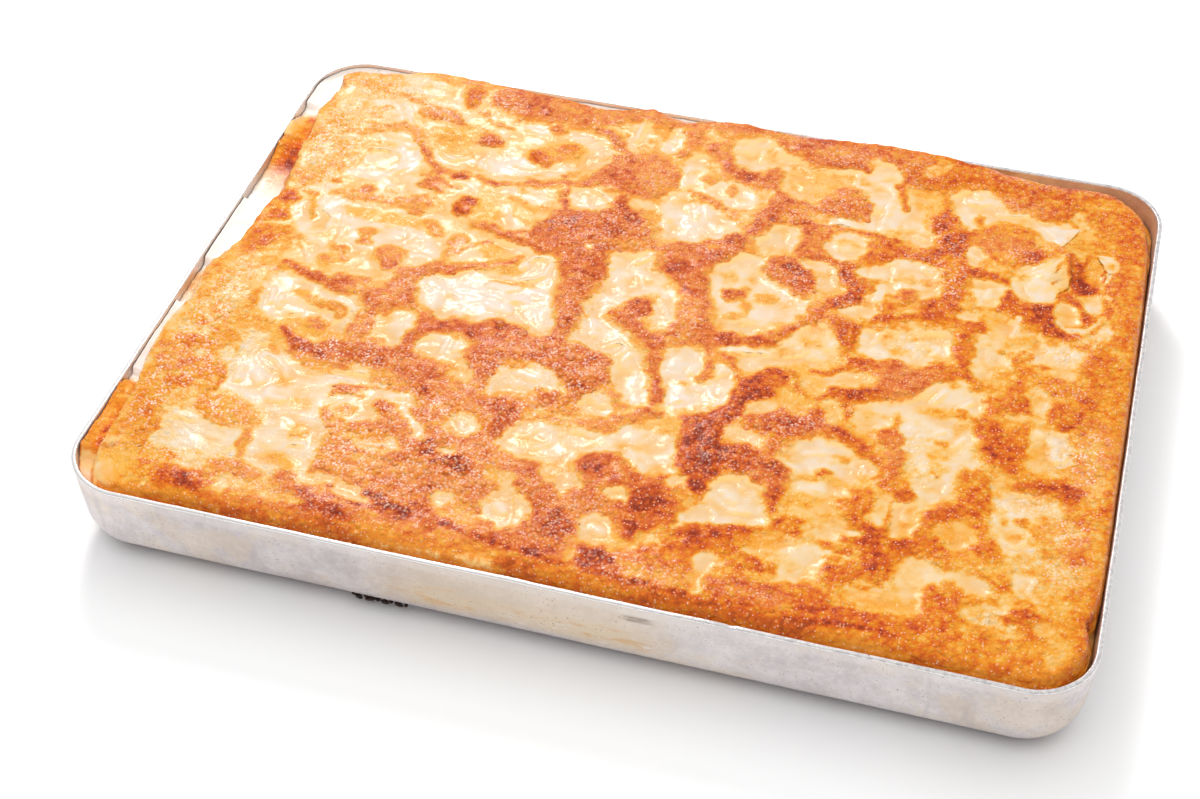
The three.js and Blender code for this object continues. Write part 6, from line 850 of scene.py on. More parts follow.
# ---------------------------------------------------------------- borek
def build_borek():
    nx_, ny_ = 334, 250
    e0 = float(inner_inset(38.0)) + GAP
    ax, ay, r0 = HX - e0, HY - e0, RIM_R - e0
    u = np.linspace(-ax, ax, nx_ + 1)
    v = np.linspace(-ay, ay, ny_ + 1)
    U, V = np.meshgrid(u, v)
    a, b = np.abs(U) - (ax - r0), np.abs(V) - (ay - r0)
    corner = (a > 0) & (b > 0)
    m = np.maximum(a, b)
    ang = np.where(a >= b, np.where(a > 0, b / np.maximum(a, 1e-9), 0), 2 - np.where(b > 0, a / np.maximum(b, 1e-9), 0)) * math.pi / 4
    X = np.where(corner, np.sign(U) * (ax - r0 + m * np.cos(ang)), U)
    Y = np.where(corner, np.sign(V) * (ay - r0 + m * np.sin(ang)), V)
    # outward direction of the nearest stretch of edge, and the distance to it
    dx, dy = ax - np.abs(U), ay - np.abs(V)
    d = np.minimum(dx, dy)
    d = np.where(corner, r0 - m, d)
    NX = np.where(corner, np.sign(U) * np.cos(ang), np.where(dx <= dy, np.sign(U), 0.0))
    NY = np.where(corner, np.sign(V) * np.sin(ang), np.where(dx <= dy, 0.0, np.sign(V)))
    # the edge, all the way round
    n1, n2 = nx_, ny_
    ring = ([(0, i) for i in range(n1)] + [(j, n1) for j in range(n2)]
            + [(n2, n1 - i) for i in range(n1)] + [(n2 - j, 0) for j in range(n2)])
    rj = np.array([p[0] for p in ring]); ri = np.array([p[1] for p in ring])
    wx = np.sign(U[rj, ri]) * 0 + X[rj, ri] + NX[rj, ri] * e0
    wy = Y[rj, ri] + NY[rj, ri] * e0
    rnx, rny = NX[rj, ri], NY[rj, ri]
    elev = edge_level(wx, wy, rnx, rny)
    pull = inner_inset(elev) + GAP + draw_in(wx, wy, rnx, rny) - e0
    bx, by = X[rj, ri], Y[rj, ri]
    # inside points follow the edge, less and less
    DX = np.zeros(U.shape); DY = np.zeros(U.shape); EZ = np.zeros(U.shape)
    own = np.zeros(U.shape)
    near = d < 64
    P = np.stack([X[near], Y[near]], 1)
    k = 3
    B = np.stack([bx[::k], by[::k]], 1)
    vx, vy, ve = (-rnx * pull)[::k], (-rny * pull)[::k], elev[::k]
    outx, outy, oute = np.zeros(len(P)), np.zeros(len(P)), np.zeros(len(P))
    for s in range(0, len(P), 6000):
        q = P[s:s + 6000]
        w = 1.0 / ((q[:, None, 0] - B[None, :, 0]) ** 2 + (q[:, None, 1] - B[None, :, 1]) ** 2 + 0.5) ** 2.2
        t = w.sum(1)
        outx[s:s + 6000] = (w @ vx) / t
        outy[s:s + 6000] = (w @ vy) / t
        oute[s:s + 6000] = (w @ ve) / t
    DX[near], DY[near], EZ[near] = outx, outy, oute
    # close to the edge each point keeps its own stretch's pull
    wallx, wally = X + NX * (e0 + np.minimum(d, r0)), Y + NY * (e0 + np.minimum(d, r0))
    ez_own = edge_level(wallx, wally, NX, NY)
    pull_own = inner_inset(ez_own) + GAP + draw_in(wallx, wally, NX, NY) - e0
    t = ease((d - 13) / 9)
    DX = np.where(d < 22, (1 - t) * (-NX * pull_own) + t * DX, DX)
    DY = np.where(d < 22, (1 - t) * (-NY * pull_own) + t * DY, DY)
    EZ = np.where(d < 22, (1 - t) * ez_own + t * EZ, EZ)
    fade = np.where(d < 14, 1.0, 1 - ease((d - 14) / 50))
    X = X + DX * fade
    Y = Y + DY * fade
    base = swell(X, Y)
    # the shoulder is broad, but tight along the right
    wide = SHOULDER - 7.0 * np.clip(NX, 0, 1) ** 2
    kk = np.clip(1 - d / wide, 0, 1)
    form = np.sqrt(np.clip(1 - kk ** 4, 0, 1))
    Z = np.where(d < wide, EZ + (base - EZ) * form, base)
    # fine relief, found where the eye would see it
    Z1 = Z.copy()
    for _ in range(2):
        sx, sy = sight(X, Y, Z1)
        fine = sample(relief, sx, sy)
        Z1 = Z + fine * (0.25 + 0.75 * ease(d / 9))
    Z = Z1
    Z = np.where(d < 4, np.maximum(Z, EZ - 0.5), Z)
    Z = np.minimum(Z, 47.0)
    sx, sy = sight(X, Y, Z)
    top = np.stack([X, Y, Z], -1).reshape(-1, 3)
    att = {n: sample(f, sx, sy).ravel() for n, f in (
        ("brown", brown), ("amber", amber), ("grain", grain), ("ridge_pale_and_highlight", ridge_pale_and_highlight), ("hollow_shade", hollow_shade), ("blister", blister), ("rosy_and_sheen", rosy_and_sheen), ("bubbly", bubbly), ("froth_and_glint", froth_and_glint))}
    att["edge"] = np.exp(-d / 5.0).ravel()
    # painted golden glow on the sides that face away from the key light
    att["painted_lee_glow"] = painted_lee_glow_of(np.stack([X, Y, Z], -1)).ravel()
    idx = np.arange((nx_ + 1) * (ny_ + 1)).reshape(ny_ + 1, nx_ + 1)
    quads = [np.stack([idx[:-1, :-1], idx[:-1, 1:], idx[1:, 1:], idx[1:, :-1]], -1).reshape(-1, 4)]
    # the side: over the edge, down to a ledge, against the wall, round the bend
    first = idx[rj, ri]
    n = len(first)
    rings = []
    ledge = np.minimum(31.0, elev - 3.0)
    drawn = draw_in(wx, wy, rnx, rny)
    s = np.arange(n)
    wob = perlin(wx / 9 + 3, wy / 9, 101)
    for share, lev, puffs in ((1.0, 0.93, 0.45), (0.97, 0.80, 0.75), (0.90, 0.62, 0.9), (0.78, 0.42, 0.7), (0.58, 0.24, 0.4), (0.34, 0.10, 0.2), (0.10, 0.02, 0.0), (0.0, -0.12, 0.0)):
        z = ledge + (elev - ledge) * lev if lev >= 0 else ledge + lev * 10
        out = drawn * share - puffs * np.clip(drawn, 0, 1.4) * (0.6 + 0.6 * wob)
        out = np.maximum(out, 0.0)
        ins = inner_inset(z) + GAP + out
        rings.append(np.stack([wx - rnx * ins, wy - rny * ins, z], 1))
    for zz in (22.0, 12.5, 7.0, 3.6):
        ins = inner_inset(zz) + GAP + 0.25
        rings.append(np.stack([wx - rnx * ins, wy - rny * ins, np.full(n, zz)], 1))
    foot = SHEET + GAP
    ins = SHEET + TAPER + (BEND_R - SHEET) * 0.86
    rings.append(np.stack([wx - rnx * ins, wy - rny * ins, np.full(n, foot)], 1))
    verts = [top]
    prev = first
    count = len(top)
    tris = []
    for rg in rings:
        cur = count + np.arange(n)
        verts.append(rg)
        count += n
        nxt = np.roll(np.arange(n), -1)
        quads.append(np.stack([prev, cur, cur[nxt], prev[nxt]], -1))
        prev = cur
    verts.append(np.array([[0.0, 0.0, foot]]))
    nxt = np.roll(np.arange(n), -1)
    tris = np.stack([prev, np.full(n, count), prev[nxt]], -1)
    verts = np.concatenate(verts)
    quads = np.concatenate(quads)
    me = arrays_to_mesh("borek_crust", verts, quads, tris)
    side_n = len(verts) - len(top)
    sv = verts[len(top):]
    side = {
        "brown": 0.42 + 0.16 * perlin(sv[:, 0] / 9 + sv[:, 2] / 5, sv[:, 1] / 9, 111),
        "amber": np.full(side_n, 0.25), "grain": np.full(side_n, 0.2), "ridge_pale_and_highlight": np.zeros(side_n),
        "hollow_shade": np.zeros(side_n), "blister": np.zeros(side_n), "edge": np.ones(side_n), "rosy_and_sheen": np.zeros(side_n), "bubbly": np.zeros(side_n), "froth_and_glint": np.zeros(side_n), "painted_lee_glow": np.full(side_n, 0.5),
    }
    for k_, v_ in att.items():
        put(me, k_, np.concatenate([v_, side[k_]]))
    return me, top, att, d.ravel()


# the largest blisters: x, y, radius
LARGE = [(-59, -18, 2.6), (-49, -21, 3.2), (-41, -61, 2.3), (-40, -64, 2.0), (-27, -57, 1.8), (-20, -56, 1.8), (-15, -25, 1.9),
         (-35, -11, 2.0), (-26, -24, 2.6), (-12, -33, 2.2), (17, -4, 1.9), (-26, 2, 1.4), (-35, -33, 1.4), (-48, -63, 1.9),
         (-43, -69, 2.0), (-40, -69, 1.8), (-34, -72, 1.9), (-53, -47, 1.8), (8, -21, 1.6), (12, -32, 1.5), (11, -40, 1.6),
         (90, -30, 2.6), (55, -41, 1.8)]


def build_blisters(top, att, d, count=5200):
    """Small baked blisters: low domes that sit on the crust where it has browned."""
    rng = np.random.default_rng(20)
    bub = att["bubbly"]
    sx, sy = sight(top[:, 0], top[:, 1], top[:, 2])
    want = ease((att["brown"] - 0.46) / 0.16) * (1 - 0.7 * np.clip(att["amber"], 0, 1)) * (0.10 + 0.9 * bub)
    patch = np.clip(0.55 + 1.0 * fbm(top[:, 0] / 15, top[:, 1] / 15, 301, 2), 0.05, 1)
    want = want * patch * np.clip((d - 1.2) / 3.0, 0, 1)
    order = rng.permutation(len(top))
    luck = rng.random(len(top))
    size = 0.55 + 0.45 * rng.random(len(top)) + (0.5 + 0.9 * bub) * rng.random(len(top)) ** 4
    firsts = []
    for bx_, by_, br_ in LARGE:
        i = int(np.argmin((sx - bx_) ** 2 + (sy - by_) ** 2))
        size[i] = br_
        want[i] = 2.0
        firsts.append(i)
    order = np.concatenate([np.array(firsts), order])
    cell = 6.6
    grid = {}
    chosen = []
    for i in order:
        if luck[i] > want[i] * 0.8:
            continue
        x, y, r = top[i, 0], top[i, 1], size[i]
        cx, cy = int(x // cell), int(y // cell)
        ok = True
        for ax_ in (cx - 1, cx, cx + 1):
            for ay_ in (cy - 1, cy, cy + 1):
                for (qx_, qy_, qr_) in grid.get((ax_, ay_), ()):
                    if (qx_ - x) ** 2 + (qy_ - y) ** 2 < ((r + qr_) * 0.92) ** 2:
                        ok = False
                        break
                if not ok:
                    break
            if not ok:
                break
        if ok:
            grid.setdefault((cx, cy), []).append((x, y, r))
            chosen.append(i)
            if len(chosen) >= count:
                break
    chosen = np.array(chosen)
    n = len(chosen)
    nx_, ny_ = 335, 251
    gz = top[:, 2].reshape(ny_, nx_)
    gxx, gyy = top[:, 0].reshape(ny_, nx_), top[:, 1].reshape(ny_, nx_)
    sz = blur(gz, 1.2)
    sxg = np.gradient(sz, axis=1) / np.maximum(np.gradient(gxx, axis=1), 0.2)
    syg = np.gradient(sz, axis=0) / np.maximum(np.gradient(gyy, axis=0), 0.2)
    slx, sly = np.clip(sxg.ravel()[chosen], -1.2, 1.2), np.clip(syg.ravel()[chosen], -1.2, 1.2)
    r = size[chosen]
    h = r * (0.20 + 0.18 * rng.random(n))
    turn = rng.random(n) * math.pi
    flat = 0.72 + 0.28 * rng.random(n)
    seg = 8
    ang = np.arange(seg) / seg * 2 * math.pi
    V, K, W = [], [], []
    for rad, hh, tilt in ((1.06, -0.55, 0.95), (0.62, 0.62, 0.5), (0.0, 1.0, 0.0)):
        if rad == 0.0:
            ux, uy = np.zeros((n, 1)), np.zeros((n, 1))
        else:
            wob = 1 + 0.16 * (rng.random((n, seg)) - 0.5)
            lx = np.cos(ang)[None, :] * r[:, None] * rad * wob
            ly = np.sin(ang)[None, :] * r[:, None] * rad * wob * flat[:, None]
            ux = lx * np.cos(turn)[:, None] - ly * np.sin(turn)[:, None]
            uy = lx * np.sin(turn)[:, None] + ly * np.cos(turn)[:, None]
        x = top[chosen, 0][:, None] + ux
        y = top[chosen, 1][:, None] + uy
        z = top[chosen, 2][:, None] + slx[:, None] * ux + sly[:, None] * uy + h[:, None] * hh
        V.append(np.stack([x, y, z], -1))
        K.append(np.full(x.shape, hh))
        # the side of the dome away from the key light gets the painted golden glow, as the sheet does
        away = np.maximum(r[:, None] * rad, 0.01)
        ax, ay = tilt * ux / away - slx[:, None], tilt * uy / away - sly[:, None]
        lit = (ax * LIGHT[0] + ay * LIGHT[1] + LIGHT[2]) / np.sqrt(ax ** 2 + ay ** 2 + 1)
        W.append(2.6 * ease((1 - lit / LIGHT[2] - 0.04) / 0.5))
    verts = np.concatenate(V, axis=1)                 # n, 17, 3
    m = verts.shape[1]
    base = (np.arange(n) * m)[:, None]
    j = np.arange(seg)
    jn = (j + 1) % seg
    quads = np.stack([base + j, base + jn, base + seg + jn, base + seg + j], -1).reshape(-1, 4)
    tris = np.stack([base + seg + j, base + seg + jn, base + np.full(seg, 2 * seg)], -1).reshape(-1, 3)
    me = arrays_to_mesh("crust_blisters", verts.reshape(-1, 3), quads, tris)
    for k_ in ("brown", "amber", "grain", "ridge_pale_and_highlight", "hollow_shade", "blister", "edge", "rosy_and_sheen", "froth_and_glint"):
        v_ = np.repeat(att[k_][chosen], m)
        if k_ == "brown":
            # painted shade darkens the foot of each dome and a painted highlight lightens its top
            v_ = v_ + np.repeat((rng.random(n) - 0.5) * 0.10, m) + np.interp(np.concatenate(K, axis=1).reshape(-1), [-0.55, 0.62, 1.0], [0.10, -0.02, -0.06])
        if k_ == "blister":
            v_ = (np.concatenate(K, axis=1).reshape(-1) + 0.55) / 1.55
        if k_ == "hollow_shade":
            v_ = v_ * 0.3
        put(me, k_, v_)
    put(me, "painted_lee_glow", np.concatenate(W, axis=1).reshape(-1))
    return me


# ---------------------------------------------------------------- tray
def tray_outline(inset, n_long=150, n_short=110, n_corner=22):
    """Points and outward directions round the tray at an inset from its rim line, anticlockwise."""
    r = max(3.0, RIM_R - inset)
    hx, hy = HX - inset, HY - inset
    pts = []

    def arc(cx, cy, a0):
        for i in range(n_corner + 1):
            a = a0 + math.pi / 2 * i / n_corner
            pts.append((cx + r * math.cos(a), cy + r * math.sin(a), math.cos(a), math.sin(a)))

    def line(x0, y0, x1, y1, n, nx, ny):
        for i in range(1, n):
            t = i / n
            pts.append((x0 + (x1 - x0) * t, y0 + (y1 - y0) * t, nx, ny))

    arc(hx - r, -hy + r, -math.pi / 2)
    line(hx, -hy + r, hx, hy - r, n_short, 1, 0)
    arc(hx - r, hy - r, 0)
    line(hx - r, hy, -hx + r, hy, n_long, 0, 1)
    arc(-hx + r, hy - r, math.pi / 2)
    line(-hx, hy - r, -hx, -hy + r, n_short, -1, 0)
    arc(-hx + r, -hy + r, math.pi)
    line(-hx + r, -hy, hx - r, -hy, n_long, 0, -1)
    return np.array(pts)


def build_tray():
    prof = []                                     # (inset, level, share of wall dents)
    prof.append((TAPER + BEND_R * 1.6, 0.0, 0.0))
    for i in range(13):
        a = math.pi / 2 * (1 - i / 12)
        prof.append((TAPER + BEND_R * (1 - math.cos(a)), BEND_R * (1 - math.sin(a)), 0.2 + 0.8 * i / 12))
    for i in range(1, 9):
        z = BEND_R + (TRAY_H - 0.9 - BEND_R) * i / 8
        prof.append((TAPER * (TRAY_H - z) / (TRAY_H - BEND_R), z, 1.0))
    # the rim: cut sheet with its edges worn round
    rr = 0.62
    for i in range(1, 7):
        a = math.pi / 2 * i / 6
        prof.append((rr * (1 - math.cos(a)), TRAY_H - rr + rr * math.sin(a), 1.0))
    prof.append((SHEET / 2, TRAY_H + 0.0, 1.0))
    for i in range(7):
        a = math.pi / 2 * (1 - i / 6)
        prof.append((SHEET - rr * (1 - math.cos(a)), TRAY_H - rr + rr * math.sin(a), 1.0))
    for i in range(1, 7):
        z = TRAY_H - 0.9 - (TRAY_H - 0.9 - BEND_R) * i / 6
        prof.append((SHEET + TAPER * (TRAY_H - z) / (TRAY_H - BEND_R), z, 1.0))
    r = BEND_R - SHEET
    for i in range(1, 9):
        a = math.pi / 2 * i / 8
        prof.append((SHEET + TAPER + r * (1 - math.cos(a)), BEND_R - r * math.sin(a), 1 - 0.8 * i / 8))
    rings = []
    s0 = None
    for inset, z, share in prof:
        o = tray_outline(inset)
        if s0 is None:
            s0 = tray_outline(0)
        # shallow dents and waves of thin pressed sheet, the same on both faces
        wave = 0.22 * perlin(s0[:, 0] / 38, s0[:, 1] / 38 + z / 55, 201) + 0.10 * perlin(s0[:, 0] / 13, s0[:, 1] / 13 + z / 20, 202)
        front = np.clip(-s0[:, 3], 0, 1)
        wave = wave + front * 0.25 * np.sin(s0[:, 0] / 31 + 0.4) * math.sin(min(1.0, z / TRAY_H) * math.pi)
        # stays inside the stated outside size, except by a hair
        # the inner face dents less, so that it stays clear of the crust
        inn = share * (0.18 - np.clip(wave, -0.06 if inset >= SHEET or (z < TRAY_H - 0.95 and len(rings) > 30) else -0.45, 0.17))
        lift = np.zeros(len(o))
        if z > TRAY_H - 6:
            k = (z - (TRAY_H - 6)) / 6
            # the rim's line isn't quite straight, and has one small nick at the front
            nick = np.exp(-(((s0[:, 0] - 69.0) / 1.3) ** 2)) * (s0[:, 1] < -145)
            lift = -k * (0.16 + 0.16 * perlin(s0[:, 0] / 24, s0[:, 1] / 24, 203) + 0.07 * perlin(s0[:, 0] / 6, s0[:, 1] / 6, 204) + 0.7 * nick)
        rings.append(np.stack([o[:, 0] - o[:, 2] * inn, o[:, 1] - o[:, 3] * inn, z + lift], 1))
    n = len(rings[0])
    verts = np.concatenate(rings + [np.array([[0, 0, 0.0]]), np.array([[0, 0, SHEET]])])
    idx = np.arange(n)
    nxt = np.roll(idx, -1)
    quads = []
    for j in range(len(rings) - 1):
        a, b = j * n + idx, j * n + nxt
        quads.append(np.stack([a, b, b + n, a + n], -1))
    c0, c1 = len(verts) - 2, len(verts) - 1
    last = (len(rings) - 1) * n
    tris = np.concatenate([np.stack([nxt, idx, np.full(n, c0)], -1), np.stack([last + idx, last + nxt, np.full(n, c1)], -1)])
    return arrays_to_mesh("tray_shell", verts, np.concatenate(quads), tris)


# ---------------------------------------------------------------- materials
def lin(c):
    out = []
    for v in c:
        v = v / 255.0
        out.append(v / 12.92 if v <= 0.04045 else ((v + 0.055) / 1.055) ** 2.4)
    return out


class Nodes:
    """Short hands for building a node tree."""

    def __init__(self, name):
        self.mat = bpy.data.materials.new(name)
        self.mat.use_nodes = True
        self.t = self.mat.node_tree
        self.t.nodes.clear()
        self.out = self.t.nodes.new("ShaderNodeOutputMaterial")
        self.bsdf = self.t.nodes.new("ShaderNodeBsdfPrincipled")
        self.t.links.new(self.bsdf.outputs[0], self.out.inputs["Surface"])

    def link(self, a, b):
        self.t.links.new(a, b)

    def set(self, sock, v):
        if hasattr(v, "is_output") or isinstance(v, bpy.types.NodeSocket):
            self.t.links.new(v, sock)
        else:
            sock.default_value = v

    def attr(self, name):
        n = self.t.nodes.new("ShaderNodeAttribute")
        n.attribute_type = "GEOMETRY"
        n.attribute_name = name
        return n.outputs["Fac"]

    def coords(self, stretch=(1, 1, 1)):
        tc = self.t.nodes.new("ShaderNodeTexCoord")
        m = self.t.nodes.new("ShaderNodeVectorMath")
        m.operation = "MULTIPLY"
        self.link(tc.outputs["Object"], m.inputs[0])
        m.inputs[1].default_value = (1000 * stretch[0], 1000 * stretch[1], 1000 * stretch[2])
        return m.outputs[0]

    def noise(self, vec, size, detail=2.0, rough=0.5, dist=0.0, offset=None):
        if offset is not None:
            a = self.t.nodes.new("ShaderNodeVectorMath")
            a.operation = "ADD"
            self.link(vec, a.inputs[0])
            a.inputs[1].default_value = offset
            vec = a.outputs[0]
        n = self.t.nodes.new("ShaderNodeTexNoise")
        n.inputs["Scale"].default_value = 1.0 / size
        n.inputs["Detail"].default_value = detail
        n.inputs["Roughness"].default_value = rough
        n.inputs["Distortion"].default_value = dist
        self.link(vec, n.inputs["Vector"])
        return n.outputs["Fac"]

    def split(self, vec):
        n = self.t.nodes.new("ShaderNodeSeparateXYZ")
        self.link(vec, n.inputs[0])
        return n.outputs[0], n.outputs[1], n.outputs[2]

    def stretch(self, vec, sx, sy, sz):
        n = self.t.nodes.new("ShaderNodeVectorMath")
        n.operation = "MULTIPLY"
        self.link(vec, n.inputs[0])
        n.inputs[1].default_value = (sx, sy, sz)
        return n.outputs[0]

    def warped(self, vec, size, much):
        n = self.t.nodes.new("ShaderNodeTexNoise")
        n.inputs["Scale"].default_value = 1.0 / size
        n.inputs["Detail"].default_value = 1.0
        self.link(vec, n.inputs["Vector"])
        m = self.t.nodes.new("ShaderNodeVectorMath")
        m.operation = "MULTIPLY_ADD"
        self.link(n.outputs["Color"], m.inputs[0])
        m.inputs[1].default_value = (much * 2, much * 2, much * 2)
        self.link(vec, m.inputs[2])
        return m.outputs[0]

    def voronoi(self, vec, size, feature="F1", smooth=None, rnd=1.0):
        n = self.t.nodes.new("ShaderNodeTexVoronoi")
        n.feature = feature
        n.inputs["Scale"].default_value = 1.0 / size
        n.inputs["Randomness"].default_value = rnd
        self.link(vec, n.inputs["Vector"])
        return n.outputs["Distance"], n.outputs["Color"]

    def math(self, op, a, b=None, c=None, clamp=False):
        n = self.t.nodes.new("ShaderNodeMath")
        n.operation = op
        n.use_clamp = clamp
        self.set(n.inputs[0], a)
        if b is not None:
            self.set(n.inputs[1], b)
        if c is not None:
            self.set(n.inputs[2], c)
        return n.outputs[0]

    def remap(self, v, a, b, c=0.0, d=1.0, smooth=True):
        n = self.t.nodes.new("ShaderNodeMapRange")
        n.interpolation_type = "SMOOTHSTEP" if smooth else "LINEAR"
        self.set(n.inputs["Value"], v)
        n.inputs["From Min"].default_value = a
        n.inputs["From Max"].default_value = b
        n.inputs["To Min"].default_value = c
        n.inputs["To Max"].default_value = d
        return n.outputs[0]

    def ramp(self, v, stops):
        n = self.t.nodes.new("ShaderNodeValToRGB")
        cr = n.color_ramp
        cr.interpolation = "LINEAR"
        while len(cr.elements) > 1:
            cr.elements.remove(cr.elements[-1])
        for i, (p, c) in enumerate(stops):
            e = cr.elements[0] if i == 0 else cr.elements.new(p)
            e.position = p
            e.color = (*lin(c), 1)
        self.link(v, n.inputs["Fac"])
        return n.outputs["Color"]

    def mix(self, f, a, b, kind="MIX"):
        n = self.t.nodes.new("ShaderNodeMix")
        n.data_type = "RGBA"
        n.blend_type = kind
        self.set(n.inputs["Factor"], f)
        for s, v in ((n.inputs[6], a), (n.inputs[7], b)):
            if isinstance(v, (tuple, list)):
                s.default_value = (*lin(v), 1)
            else:
                self.link(v, s)
        return n.outputs[2]

    def bump(self, h, dist, strength=1.0, normal=None):
        n = self.t.nodes.new("ShaderNodeBump")
        n.inputs["Distance"].default_value = dist
        n.inputs["Strength"].default_value = strength
        self.link(h, n.inputs["Height"])
        if normal is not None:
            self.link(normal, n.inputs["Normal"])
        return n.outputs[0]


def crust_material(name, scatter, film=False):
    N = Nodes(name)
    P = N.coords()
    brown_a, amber_a, grain_a = N.attr("brown"), N.attr("amber"), N.attr("grain")
    ridge_pale_and_highlight_a, hollow_shade_a, blister_a, rosy_and_sheen_a, froth_and_glint_a = N.attr("ridge_pale_and_highlight"), N.attr("hollow_shade"), N.attr("blister"), N.attr("rosy_and_sheen"), N.attr("froth_and_glint")

    def even(v):
        return N.remap(v, 0.30, 0.70, -1.0, 1.0, smooth=False)

    n_wide = even(N.noise(P, 8.0, 3, 0.55))
    n_mid = even(N.noise(P, 3.0, 3, 0.6, offset=(31, 7, 3)))
    n_fine = even(N.noise(P, 0.95, 2, 0.6, offset=(5, 71, 13)))
    v_dist, v_col = N.voronoi(N.warped(P, 2.4, 0.5), 3.0)
    w_dist, w_col = N.voronoi(P, 1.2)
    pick, _, tint = N.split(v_col)
    dot, _, _ = N.split(w_col)
    # how grainy: wholly on the browned crust, partly round its borders
    gran = N.math("MAXIMUM", grain_a, N.remap(brown_a, 0.24, 0.48, 0.0, 0.75))
    # the rosy parts are milkier, their pink partly a painted sheen, and their grain is weaker
    gran_c = N.math("MULTIPLY", gran, N.math("MULTIPLY_ADD", rosy_and_sheen_a, -0.35, 1.0))
    # browning, broken up: a little everywhere, more where the crust is grainy
    b = N.math("ADD", brown_a, N.math("MULTIPLY", n_wide, N.math("MULTIPLY_ADD", gran_c, 0.06, 0.04)))
    b = N.math("ADD", b, N.math("MULTIPLY", n_mid, N.math("MULTIPLY_ADD", gran_c, 0.085, 0.025)))
    b = N.math("ADD", b, N.math("MULTIPLY", n_fine, N.math("MULTIPLY_ADD", gran_c, 0.05, 0.010)))
    b = N.math("ADD", b, N.math("MULTIPLY", N.math("SUBTRACT", v_dist, 0.42), N.math("MULTIPLY", gran_c, 0.26)))
    b = N.math("ADD", b, N.math("MULTIPLY", N.math("SUBTRACT", tint, 0.5), N.math("MULTIPLY", gran_c, 0.10)))
    b = N.math("ADD", b, N.math("MULTIPLY", N.math("SUBTRACT", w_dist, 0.42), N.math("MULTIPLY", gran_c, 0.12)))
    # a painted highlight lightens the tops of the blisters
    b = N.math("ADD", b, N.math("MULTIPLY", blister_a, -0.05), clamp=True)
    col = N.ramp(b, [
        (0.00, (222, 207, 197)), (0.13, (225, 203, 173)), (0.26, (227, 192, 133)), (0.38, (227, 172, 80)),
        (0.50, (225, 149, 36)), (0.62, (218, 125, 15)), (0.74, (210, 100, 8)), (0.86, (191, 71, 8)), (1.00, (138, 41, 10)),
    ])
    # the rosy ramp: a milkier pink, partly the browning's own tone and partly a painted sheen of the glaze
    rose_and_sheen = N.ramp(b, [
        (0.00, (222, 207, 197)), (0.13, (225, 203, 175)), (0.26, (227, 191, 135)), (0.38, (227, 171, 84)),
        (0.50, (225, 151, 58)), (0.62, (221, 136, 68)), (0.74, (211, 111, 48)), (0.86, (189, 77, 26)), (1.00, (130, 38, 9)),
    ])
    col = N.mix(rosy_and_sheen_a, col, rose_and_sheen)
    # thin translucent sheets
    am = N.math("MULTIPLY", amber_a, N.remap(b, 0.40, 0.66, 1.0, 0.0))
    col = N.mix(N.math("MULTIPLY", am, 0.75), col, (228, 164, 56))
    # folds of the pale sheet are whiter, partly their own paleness and partly a painted highlight; hollows get a golden
    # painted shade
    col = N.mix(N.math("MULTIPLY", N.remap(ridge_pale_and_highlight_a, 0.35, 1.1), 0.5), col, (230, 214, 192))
    # painted golden shade, multiplied into the hollows
    col = N.mix(N.math("MULTIPLY", N.remap(hollow_shade_a, 0.02, 0.6), 0.75), col, (252, 220, 160), "MULTIPLY")
    # where it faces away from the key light, a golden glow is painted in, standing in for light shining through the
    # thin sheet
    painted_lee_glow = N.math("MULTIPLY", N.attr("painted_lee_glow"), N.remap(b, 0.34, 0.62, 0.9, 0.22))
    col = N.mix(painted_lee_glow, col, N.mix(N.remap(b, 0.26, 0.46), (254, 207, 128), (240, 132, 28)))
    # blisters: a painted highlight makes their tops paler and pinker, and painted shade deepens their rim
    col = N.mix(N.math("MULTIPLY", N.remap(blister_a, 0.45, 1.0), 0.5), col, (238, 164, 116))
    # painted glints: pale dots painted on the tops of some of the grains, standing in for fat glistening
    painted_glint = N.math("MULTIPLY", N.remap(w_dist, 0.34, 0.16), N.remap(dot, 0.60, 0.74))
    painted_glint = N.math("MULTIPLY", painted_glint, N.math("MULTIPLY", gran, 0.62))
    # where it frothed up, a web of small pale bubbles, painted as pale glints
    web = N.math("MULTIPLY", N.remap(v_dist, 0.30, 0.62), N.remap(w_dist, 0.60, 0.20))
    painted_glint = N.math("MAXIMUM", painted_glint, N.math("MULTIPLY", web, N.math("MULTIPLY", froth_and_glint_a, 0.95)))
    col = N.mix(painted_glint, col, (248, 218, 198))
    if film:
        # the thinnest film on the wall lets the bright metal through
        col = N.mix(N.math("MULTIPLY", N.attr("edge"), 0.9), col, (243, 240, 236))
    N.link(col, N.bsdf.inputs["Base Color"])
    # the sheet is satiny, its folds and the browned grain are glazed
    rough = N.math("ADD", N.remap(b, 0.12, 0.42, 0.17, 0.15), N.math("MULTIPLY", N.remap(ridge_pale_and_highlight_a, 0.3, 0.9), -0.14))
    rough = N.math("ADD", rough, N.math("MULTIPLY", n_mid, 0.03))
    N.link(rough, N.bsdf.inputs["Roughness"])
    N.bsdf.inputs["IOR"].default_value = 1.40
    N.bsdf.inputs["Subsurface Weight"].default_value = scatter
    N.bsdf.inputs["Subsurface Radius"].default_value = (1.0, 0.5, 0.2)
    N.bsdf.inputs["Subsurface Scale"].default_value = 0.003
    N.bsdf.inputs["Coat Weight"].default_value = 0.16
    N.bsdf.inputs["Coat Roughness"].default_value = 0.12
    N.bsdf.inputs["Coat IOR"].default_value = 1.45
